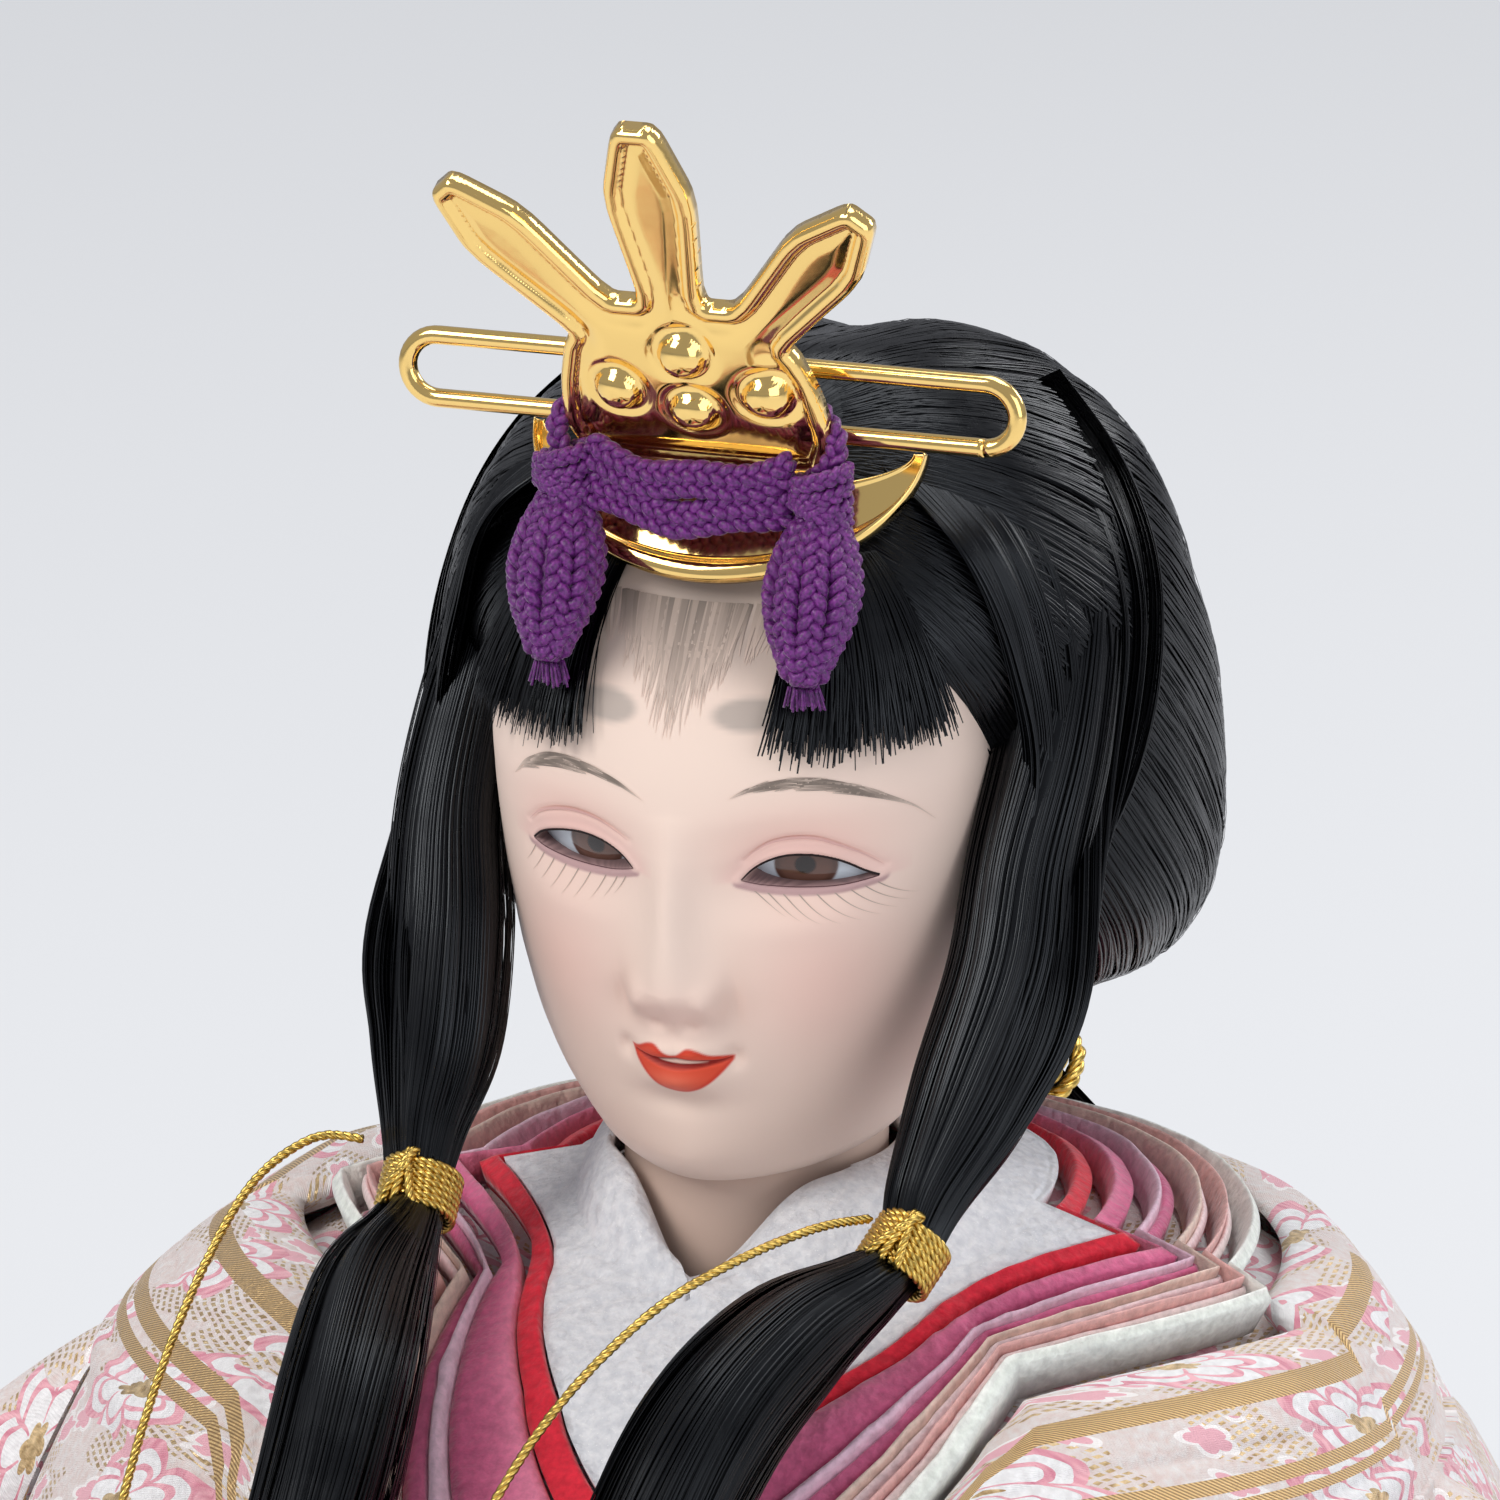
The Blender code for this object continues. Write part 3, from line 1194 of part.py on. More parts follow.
def build_jacket(look):
    """Short brocade jacket, open in front, its edges turned back in thick lapels."""
    turn = full_turn()
    angles = turn[JACKET_OPEN_STEPS:len(turn) - JACKET_OPEN_STEPS + 1]
    grids = []
    for side in (0, 1):
        grid = []
        for part in JACKET_ROW_SHARES:
            line = []
            for angle in angles:
                share = JACKET_LOW_SHARE + (jacket_top(angle) - JACKET_LOW_SHARE) * part
                ahead = math.cos(angle) > LAPEL_BACK_SHARE
                lapel = LAPEL_RISE if part >= LAPEL_LOW_SHARE and ahead else 0.0
                off = jacket_off(angle, share) + side * (JACKET_THICK + lapel)
                line.append(robe_point(angle, share, off))
            grid.append(line)
        grids.append(grid)
    return add_sheet("jacket", grids[0], grids[1], look["brocade"])


def trunk_guides(look):
    """Closed outer forms of the jacket and of the hems, to seat the sleeves against."""
    jacket = [[robe_point(a, s, jacket_off(a, s) + JACKET_THICK + LAPEL_RISE + FIT_GAP)
               for a in full_turn()]
              for s in spread(JACKET_LOW_SHARE - TRUNK_LOW_SHARE, TRUNK_HIGH_SHARE, 6)]
    hems = [[hem_point(a, 1 - part, HEM_COUNT - 1, HEM_THICK + FIT_GAP) for a in full_turn()]
            for part in HEM_ROW_SHARES]
    return (add_loft("guide_jacket_form", jacket, look["brocade"]),
            add_loft("guide_hem_form", hems, look["brocade"]))


# Sleeves
def sleeve_section(place, inset):
    """One closed section of a sleeve; place runs from 0 at the armhole to 1 at the mouth."""
    last = len(SLEEVE_TOP_SHARES) - 1

    def read(table, at):
        rows = [(k / last, *row) for k, row in enumerate(table)]
        return interpolate(rows, at)

    def edge(table, at):
        x, y, z = read(table, at)
        return Vector((-x * SLEEVE_REACH, y * SLEEVE_REACH, z * SLEEVE_RISE))

    inside = min(place, 1.0)
    step_share = 0.02
    top, low = edge(SLEEVE_TOP_SHARES, inside), edge(SLEEVE_LOW_SHARES, inside)
    middle = (top + low) / 2
    back = min(max(inside - step_share, 0.0), 1.0 - 2 * step_share)
    ahead = back + 2 * step_share
    along = ((edge(SLEEVE_TOP_SHARES, ahead) + edge(SLEEVE_LOW_SHARES, ahead))
             - (edge(SLEEVE_TOP_SHARES, back) + edge(SLEEVE_LOW_SHARES, back))).normalized()
    down = (low - top).normalized()
    across = down.cross(along).normalized()
    thick, = read([(share,) for share in SLEEVE_THICK_SHARES], inside)
    half_thick = thick * SLEEVE_THICK / 2 - inset
    half_long = (low - top).length / 2 - inset
    ring = []
    for i in range(SLEEVE_SIDES):
        a = 2 * math.pi * i / SLEEVE_SIDES
        x = math.copysign(abs(math.cos(a)) ** SLEEVE_SIDE_POWER, math.cos(a))
        y = math.copysign(abs(math.sin(a)) ** SLEEVE_TOP_POWER, math.sin(a))
        ring.append(middle + down * (half_long * x) + across * (half_thick * y))
    return ring, along


def sleeve_ring(sign, place, inset, reach=0.0):
    ring, along = sleeve_section(place, inset)
    moved = [p + along * reach for p in ring]
    return [Vector((-sign * p.x, p.y, p.z)) for p in moved]


def build_sleeve(look, side, sign, guides, arm_guide):
    """Layers of one sleeve, each a cup in the one outside it and showing past its mouth."""
    tones = ("brocade", "blush", "rose", "white")
    names = ("sleeve_outer", "sleeve_lining_2", "sleeve_lining_3", "sleeve_inner")
    pitch = SLEEVE_WALL + SLEEVE_LAYER_GAP
    for number, (name, tone) in enumerate(zip(names, tones)):
        first = 0 if number == 0 else len(SLEEVE_PLACE_SHARES) - 3
        reach = SLEEVE_SHOW * number
        inset = pitch * number + (SLEEVE_LAYER_GAP / 2 if number == SLEEVE_LAYERS - 1 else 0.0)
        start = inset + (SLEEVE_LAYER_GAP if number == SLEEVE_LAYERS - 1 else 0.0)
        rings = [sleeve_ring(sign, SLEEVE_PLACE_SHARES[first], start, inset)]
        rings += [sleeve_ring(sign, t, inset) for t in SLEEVE_PLACE_SHARES[first + 1:]]
        if number:
            rings.append(sleeve_ring(sign, 1.0, inset, reach))
        rim = len(rings)
        if number < SLEEVE_LAYERS - 1:
            inner = inset + SLEEVE_WALL
            rings.append(sleeve_ring(sign, 1.0, inner, reach))
            if number:
                rings.append(sleeve_ring(sign, 1.0, inner))
            rings.append(sleeve_ring(sign, SLEEVE_PLACE_SHARES[-2], inner))
            rings.append(sleeve_ring(sign, SLEEVE_PLACE_SHARES[-3], inner, inner))
        sleeve = add_loft(f"{name}_{side}", rings, look[tone], turned_at=rim)
        for guide in guides if number == 0 else ():
            cut(sleeve, guide)
        cut(sleeve, arm_guide)


# Arms, hands and fan
def arm_place(shares):
    """A place given as shares of the trunk's half width and front and the sleeves' rise."""
    x, y, z = shares
    return Vector((x * ROBE_HALF_WIDTH, y * ROBE_FRONT_DEPTH, z * SLEEVE_RISE))


def arm_path():
    half = smooth_path([arm_place(shares) for shares in ARM_SHARES], 2)
    return [Vector((-p.x, p.y, p.z)) for p in half[:0:-1]] + half


def build_arms(look):
    """One wound wire from wrist to wrist, and the guide that clears its way."""
    path = arm_path()
    add_tube("arm_wire", path, WIRE_RADIUS, 6, look["paper"])
    ends = [path[0] * 2 - path[1], *path, path[-1] * 2 - path[-2]]
    return hide_guide(add_tube("guide_arm", ends, WIRE_RADIUS + 2 * FIT_GAP, 8, look["paper"]))


def build_hand(look, side, sign):
    """A gypsum palm with four fingers, socketed on the end of the wire."""
    wrist = arm_place(ARM_SHARES[-1])
    tip = arm_place(HAND_TIP_SHARES)
    start = wrist + (wrist - tip).normalized() * -FIT_GAP
    along = (tip - wrist).normalized()
    wide = Vector((0.0, 0.0, 1.0))
    wide = (wide - along * wide.dot(along)).normalized()
    deep = along.cross(wide)

    def flip(p):
        return Vector((sign * p.x, p.y, p.z))

    rings = []
    for t, w, d in ((0.0, 0.55, 0.9), (0.35, 0.85, 1.0), (0.75, 1.0, 0.9), (1.0, 0.9, 0.7)):
        centre = start + along * PALM_LENGTH * t
        rings.append([flip(centre + wide * (HAND_WIDTH / 2 * w * math.cos(a))
                           + deep * (HAND_THICK / 2 * d * math.sin(a)))
                      for a in (2 * math.pi * i / 10 for i in range(10))])
    hand = add_loft(f"hand_{side}", rings, look["skin"])
    for number in range(FINGER_COUNT):
        lift = (number - (FINGER_COUNT - 1) / 2) * FINGER_RADIUS * 1.9
        foot = start + along * PALM_LENGTH * 0.8 + wide * lift
        ends = [flip(foot), flip(foot + along * FINGER_LENGTH * 0.6),
                flip(foot + along * FINGER_LENGTH)]
        finger = add_tube(f"guide_finger_{side}_{number}", ends,
                          [FINGER_RADIUS, FINGER_RADIUS * 0.92, FINGER_RADIUS * 0.6], 6,
                          look["skin"])
        cut(hand, finger, "UNION")
    return hand


def fan_place():
    """The fan stands upright just in front of the finger tips."""
    half_pack = (FAN_BLADES * BLADE_THICK + (FAN_BLADES - 1) * BLADE_GAP) / 2
    clear = FINGER_RADIUS + FAN_HAND_GAP + RIVET_HEAD_THICK + BLADE_GAP
    return arm_place(HAND_TIP_SHARES) - Vector((0.0, clear + half_pack, 0.0))


def add_empty(name, place, parent=None):
    empty = bpy.data.objects.new(name, None)
    empty.location = place if parent is None else place - parent.matrix_world.translation
    empty.parent = parent
    bpy.context.collection.objects.link(empty)
    bpy.context.view_layer.update()
    return empty


def build_fan(look):
    """Blades fanned out on a rivet, the middle one upright, each behind the next."""
    centre = fan_place()
    hub = add_empty("fan_pivot", centre)
    pitch = BLADE_THICK + BLADE_GAP
    middle = (FAN_BLADES - 1) / 2
    outline = []
    steps = 6
    for k in range(steps + 1):
        a = math.pi * k / steps
        outline.append((BLADE_TOP_HALF_WIDTH * math.cos(a), BLADE_LENGTH - BLADE_TOP_HALF_WIDTH
                        + BLADE_TOP_HALF_WIDTH * math.sin(a)))
    outline += [(-BLADE_FOOT_HALF_WIDTH, 0.0), (-BLADE_FOOT_HALF_WIDTH * 0.8, -BLADE_TAIL),
                (BLADE_FOOT_HALF_WIDTH * 0.8, -BLADE_TAIL), (BLADE_FOOT_HALF_WIDTH, 0.0)]
    upright = Matrix.Rotation(math.radians(90), 4, "X")
    for number in range(FAN_BLADES):
        depth = (number - middle) * pitch
        lay = Matrix.Translation(Vector((0.0, depth, 0.0))) @ upright
        blade = add_plate(f"fan_blade_{number + 1}", outline, BLADE_THICK, lay, look["wood"])
        hole = add_disc(f"guide_blade_hole_{number + 1}", (0.0, depth, 0.0), (0.0, 1.0, 0.0),
                        RIVET_HOLE_RADIUS, BLADE_THICK + CUT_OVERRUN, 10, look["wood"])
        cut(blade, hole)
        for piece in (blade, hole):
            piece.parent = hub
            piece.rotation_euler = (0.0, math.radians((number - middle) * FAN_PITCH_DEG), 0.0)
    half = (FAN_BLADES * BLADE_THICK + (FAN_BLADES - 1) * BLADE_GAP) / 2 + BLADE_GAP
    rings = []
    for y, radius in ((-half - RIVET_HEAD_THICK, RIVET_HEAD_RADIUS), (-half, RIVET_HEAD_RADIUS),
                      (-half, RIVET_RADIUS), (half, RIVET_RADIUS), (half, RIVET_HEAD_RADIUS),
                      (half + RIVET_HEAD_THICK, RIVET_HEAD_RADIUS)):
        rings.append([Vector((radius * math.cos(a), y, radius * math.sin(a)))
                      for a in (2 * math.pi * i / 10 for i in range(10))])
    rivet = add_loft("fan_rivet", rings, look["gold"])
    rivet.parent = hub
    return hub


def build_train(look):
    """Pleated train over the outer hem behind, then out along the floor."""
    columns = TRAIN_PLEATS * 2
    grids = []
    number = HEM_COUNT - 1
    for side in (0, 1):
        grid = []
        for r in range(TRAIN_ROWS + TRAIN_FLOOR_ROWS + 1):
            down = 1 - TRAIN_TOP_SHARE + TRAIN_TOP_SHARE * min(r / TRAIN_ROWS, 1.0)
            out = max(0, r - TRAIN_ROWS) / TRAIN_FLOOR_ROWS
            part = r / (TRAIN_ROWS + TRAIN_FLOOR_ROWS)
            half = math.radians(TRAIN_HALF_TOP_DEG
                                + (TRAIN_HALF_LOW_DEG - TRAIN_HALF_TOP_DEG) * part)
            line = []
            for c in range(columns + 1):
                angle = math.pi + half * (2 * c / columns - 1)
                pleat = TRAIN_PLEAT_DEPTH * (c % 2)
                off = HEM_THICK + TRAIN_OFF + pleat + side * TRAIN_THICK
                p = hem_point(angle, down, number, off)
                if out:
                    foot = hem_point(angle, 1.0, number, HEM_THICK + TRAIN_OFF)
                    p = foot + Vector((foot.x, foot.y, 0.0)).normalized() * TRAIN_SPREAD * out
                    p.z = TRAIN_FLOOR_GAP + pleat + side * TRAIN_THICK
                line.append(p)
            grid.append(line)
        grids.append(grid)
    return add_sheet("train", grids[0], grids[1], look["white"])


def build_nape_tie(look):
    """Gold cord round the neck of the tail, in one closed loop."""
    clear = NAPE_TIE_WIRE + 3 * FIT_GAP
    share = NAPE_TIE_SHARE
    base = TAIL_CLEAR + JACKET_THICK + jacket_off(math.pi, share)
    here = robe_point(math.pi, share, base)
    half = tail_half(share) + 2 * clear / here.y
    points = []
    for off, turns in ((base - clear, (-1, 0, 1)), (base + TAIL_THICK + clear, (1, 0, -1))):
        for turn in turns:
            points.append(robe_point(math.pi + half * turn, share, off))
    return add_tube("nape_tie", points, NAPE_TIE_WIRE, 6, look["thread"], closed=True)


def main():
    clear_scene()
    look = finishes()
    core = build_core(look)
    build_head(look)
    build_hair(look)
    build_cords(look)
    build_tail(look)
    build_crest(look)
    build_hairpin(look)
    build_comb(look)
    build_braid(look)
    for side, sign in (("left", 1), ("right", -1)):
        build_tassel(look, side, sign)
    robe = build_robe(look)
    build_collars(look)
    build_hems(look)
    jacket = build_jacket(look)
    arm_guide = build_arms(look)
    for piece in (core, robe, jacket):
        cut(piece, arm_guide)
    guides = trunk_guides(look)
    for side, sign in (("left", 1), ("right", -1)):
        build_sleeve(look, side, sign, guides, arm_guide)
        build_hand(look, side, sign)
    build_fan(look)
    build_train(look)
    build_nape_tie(look)


main()
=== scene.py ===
import math

import bpy
import numpy as np
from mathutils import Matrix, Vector
from mathutils.bvhtree import BVHTree


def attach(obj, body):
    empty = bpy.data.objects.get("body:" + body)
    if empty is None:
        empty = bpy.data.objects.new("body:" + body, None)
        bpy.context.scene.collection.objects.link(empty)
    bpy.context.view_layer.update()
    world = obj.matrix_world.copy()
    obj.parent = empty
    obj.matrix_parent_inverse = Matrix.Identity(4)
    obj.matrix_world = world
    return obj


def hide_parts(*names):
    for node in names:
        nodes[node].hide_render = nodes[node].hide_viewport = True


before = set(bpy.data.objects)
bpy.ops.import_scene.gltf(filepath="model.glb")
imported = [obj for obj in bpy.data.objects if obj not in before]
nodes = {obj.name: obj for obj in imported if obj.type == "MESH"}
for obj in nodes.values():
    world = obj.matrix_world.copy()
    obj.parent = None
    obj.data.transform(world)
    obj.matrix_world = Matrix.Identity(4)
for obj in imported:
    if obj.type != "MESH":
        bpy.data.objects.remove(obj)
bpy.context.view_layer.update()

MM = 0.001
CHIN = 0.152


# Mesh helpers
def make_mesh(name, verts, quads, mat, body, replaces=(), tris=None, smooth=True, slot=None):
    verts = np.asarray(verts, dtype=np.float64).reshape(-1, 3)
    mesh = bpy.data.meshes.new(name)
    loops = [np.asarray(quads, dtype=np.int32).reshape(-1)] if len(quads) else []
    totals = [np.full(len(quads), 4, dtype=np.int32)] if len(quads) else []
    if tris is not None and len(tris):
        loops.append(np.asarray(tris, dtype=np.int32).reshape(-1))
        totals.append(np.full(len(tris), 3, dtype=np.int32))
    loop = np.concatenate(loops)
    total = np.concatenate(totals)
    start = np.concatenate([[0], np.cumsum(total)[:-1]]).astype(np.int32)
    mesh.vertices.add(len(verts))
    mesh.vertices.foreach_set("co", verts.astype(np.float32).reshape(-1))
    mesh.loops.add(len(loop))
    mesh.loops.foreach_set("vertex_index", loop)
    mesh.polygons.add(len(total))
    mesh.polygons.foreach_set("loop_start", start)
    mesh.polygons.foreach_set("loop_total", total)
    mesh.update(calc_edges=True)
    mesh.validate()
    if smooth:
        mesh.polygons.foreach_set("use_smooth", np.ones(len(mesh.polygons), dtype=bool))
    obj = bpy.data.objects.new(name, mesh)
    bpy.context.collection.objects.link(obj)
    if mat is not None:
        mesh.materials.append(mat)
    if body:
        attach(obj, body)
    if replaces:
        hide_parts(*replaces)
    return obj


def grid_faces(rows, cols, wrap_cols=False, wrap_rows=False, base=0, flip=False):
    r = np.arange(rows if wrap_rows else rows - 1)
    c = np.arange(cols if wrap_cols else cols - 1)
    R, C = np.meshgrid(r, c, indexing="ij")
    R2, C2 = (R + 1) % rows, (C + 1) % cols
    quads = np.stack([R * cols + C, R * cols + C2, R2 * cols + C2, R2 * cols + C], -1)
    quads = quads.reshape(-1, 4) + base
    return quads[:, ::-1] if flip else quads


def grid_mesh(name, P, mat, body, wrap_cols=False, wrap_rows=False, flip=False, **more):
    P = np.asarray(P)
    rows, cols = P.shape[:2]
    quads = grid_faces(rows, cols, wrap_cols, wrap_rows, flip=flip)
    return make_mesh(name, P.reshape(-1, 3), quads, mat, body, **more)


def sheet_mesh(name, inner, outer, mat, body, wrap_cols=False, flip=False, **more):
    """A closed sheet of thickness between two like grids."""
    inner, outer = np.asarray(inner), np.asarray(outer)
    rows, cols = inner.shape[:2]
    n = rows * cols
    faces = [grid_faces(rows, cols, wrap_cols, flip=not flip),
             grid_faces(rows, cols, wrap_cols, base=n, flip=flip)]
    c = np.arange(cols if wrap_cols else cols - 1)
    c2 = (c + 1) % cols
    low = np.stack([c, c2, n + c2, n + c], -1)
    top = (rows - 1) * cols
    high = np.stack([top + c2, top + c, n + top + c, n + top + c2], -1)
    edges = [low, high]
    if not wrap_cols:
        r = np.arange(rows - 1)
        left = np.stack([(r + 1) * cols, r * cols, n + r * cols, n + (r + 1) * cols], -1)
        e = cols - 1
        right = np.stack([r * cols + e, (r + 1) * cols + e, n + (r + 1) * cols + e,
                          n + r * cols + e], -1)
        edges += [left, right]
    for e in edges:
        faces.append(e[:, ::-1] if flip else e)
    verts = np.concatenate([inner.reshape(-1, 3), outer.reshape(-1, 3)])
    return make_mesh(name, verts, np.concatenate(faces), mat, body, **more)


def unit(v):
    return v / np.maximum(np.linalg.norm(v, axis=-1, keepdims=True), 1e-12)


def frames_on(path):
    """Tangent, side and normal at each point of a path (n,3), turned as little as possible."""
    path = np.asarray(path, dtype=float)
    tang = np.gradient(path, axis=0)
    tang = unit(tang)
    side = np.zeros_like(path)
    ref = np.array([0, 0, 1.0]) if abs(tang[0][2]) < 0.9 else np.array([1.0, 0, 0])
    s = np.cross(ref, tang[0])
    s = s / np.linalg.norm(s)
    for i in range(len(path)):
        s = s - tang[i] * np.dot(s, tang[i])
        s = s / max(np.linalg.norm(s), 1e-12)
        side[i] = s
    return tang, side, np.cross(tang, side)


def tube_points(path, radii, sides, squash=1.0, spin=0.0):
    tang, side, norm = frames_on(path)
    radii = np.broadcast_to(np.asarray(radii, dtype=float), (len(path),))
    a = np.arange(sides) * 2 * math.pi / sides + spin
    ring = (side[:, None, :] * np.cos(a)[None, :, None]
            + norm[:, None, :] * np.sin(a)[None, :, None] * squash)
    return np.asarray(path)[:, None, :] + ring * radii[:, None, None]


def tube_mesh_data(path, radii, sides, base=0, caps=True, squash=1.0, spin=0.0):
    P = tube_points(path, radii, sides, squash, spin)
    quads = grid_faces(len(P), sides, wrap_cols=True, base=base)
    verts = P.reshape(-1, 3)
    tris = []
    if caps:
        n = base + len(verts)
        verts = np.concatenate([verts, P[0].mean(0)[None], P[-1].mean(0)[None]])
        k = np.arange(sides)
        k2 = (k + 1) % sides
        tris = [np.stack([base + k2, base + k, np.full(sides, n)], -1),
                np.stack([base + (len(P) - 1) * sides + k, base + (len(P) - 1) * sides + k2,
                          np.full(sides, n + 1)], -1)]
        tris = np.concatenate(tris)
    return verts, quads, tris


class Bag:
    """Collects many small pieces into one mesh."""

    def __init__(self):
        self.verts, self.quads, self.tris, self.count = [], [], [], 0

    def add(self, verts, quads, tris=()):
        self.verts.append(np.asarray(verts).reshape(-1, 3))
        if len(quads):
            self.quads.append(np.asarray(quads) + self.count)
        if len(tris):
            self.tris.append(np.asarray(tris) + self.count)
        self.count += len(self.verts[-1])

    def tube(self, path, radii, sides, **more):
        self.add(*tube_mesh_data(path, radii, sides, 0, **more))

    def mesh(self, name, mat, body, **more):
        quads = np.concatenate(self.quads) if self.quads else np.zeros((0, 4), int)
        tris = np.concatenate(self.tris) if self.tris else None
        return make_mesh(name, np.concatenate(self.verts), quads, mat, body, tris=tris, **more)


def between(a, b, c, d, t):
    """The Catmull-Rom curve from b to c, with a before and d after them."""
    return 0.5 * (2 * b + (c - a) * t + (2 * a - 5 * b + 4 * c - d) * t * t
                  + (3 * b - a - 3 * c + d) * t ** 3)


def smooth_line(points, steps):
    """Catmull-Rom through points, steps pieces between each two."""
    p = np.asarray(points, dtype=float)
    ext = np.concatenate([p[:1], p, p[-1:]])
    t = np.linspace(0, 1, steps, endpoint=False)[:, None]
    out = []
    for i in range(len(p) - 1):
        out.append(between(ext[i], ext[i + 1], ext[i + 2], ext[i + 3], t))
    out.append(p[-1:])
    return np.concatenate(out)


def resample(path, count):
    path = np.asarray(path, dtype=float)
    seg = np.linalg.norm(np.diff(path, axis=0), axis=1)
    s = np.concatenate([[0], np.cumsum(seg)])
    at = np.linspace(0, s[-1], count)
    return np.stack([np.interp(at, s, path[:, k]) for k in range(path.shape[1])], -1)


def table_at(rows, place):
    """Reads a table of rows at places (array) on its first column, by Catmull-Rom."""
    rows = np.asarray(rows, dtype=float)
    keys = rows[:, 0]
    place = np.clip(np.asarray(place, dtype=float), keys[0], keys[-1])
    i = np.clip(np.searchsorted(keys, place, side="right") - 1, 0, len(keys) - 2)
    t = ((place - keys[i]) / (keys[i + 1] - keys[i]))[..., None]
    a = rows[np.maximum(i - 1, 0), 1:]
    b, c = rows[i, 1:], rows[i + 1, 1:]
    d = rows[np.minimum(i + 2, len(rows) - 1), 1:]
    return between(a, b, c, d, t)


def hump(v, reach):
    return np.exp(-(v / reach) ** 2)


def step01(v, low, high):
    t = np.clip((v - low) / (high - low), 0, 1)
    return t * t * (3 - 2 * t)


def paint(obj, name, rgba):
    """Stores a colour for each vertex."""
    rgba = np.asarray(rgba, dtype=np.float32)
    if rgba.shape[-1] == 3:
        rgba = np.concatenate([rgba, np.ones((len(rgba), 1), np.float32)], -1)
    layer = obj.data.color_attributes.new(name, "FLOAT_COLOR", "POINT")
    layer.data.foreach_set("color", rgba.reshape(-1))
    return layer


def scalar(obj, name, values):
    """Stores a number for each vertex."""
    layer = obj.data.attributes.new(name, "FLOAT", "POINT")
    layer.data.foreach_set("value", np.asarray(values, dtype=np.float32).reshape(-1))
    return layer


def vector(obj, name, values):
    layer = obj.data.attributes.new(name, "FLOAT_VECTOR", "POINT")
    layer.data.foreach_set("vector", np.asarray(values, dtype=np.float32).reshape(-1))
    return layer


# Camera at the photograph's angle
CAMERA_TARGET = (0.0, -0.0012, CHIN + 0.0246)
CAMERA_AZIMUTH, CAMERA_ELEVATION = math.radians(20), math.radians(17)
CAMERA_AWAY = 0.480
CAMERA_SENSOR_MM, CAMERA_LENS_MM = 36.0, 193.5
CAMERA_NEAR, CAMERA_FAR = 0.02, 10.0


def add_camera():
    target = Vector(CAMERA_TARGET)
    az, el = CAMERA_AZIMUTH, CAMERA_ELEVATION
    back = Vector((math.sin(az) * math.cos(el), -math.cos(az) * math.cos(el), math.sin(el)))
    cam = bpy.data.cameras.new("camera")
    cam.sensor_width = CAMERA_SENSOR_MM
    cam.lens = CAMERA_LENS_MM
    cam.clip_start = CAMERA_NEAR
    cam.clip_end = CAMERA_FAR
    obj = bpy.data.objects.new("camera", cam)
    bpy.context.collection.objects.link(obj)
    obj.location = target + back * CAMERA_AWAY
    obj.rotation_euler = (-back).to_track_quat("-Z", "Y").to_euler()
    bpy.context.scene.camera = obj
    return obj


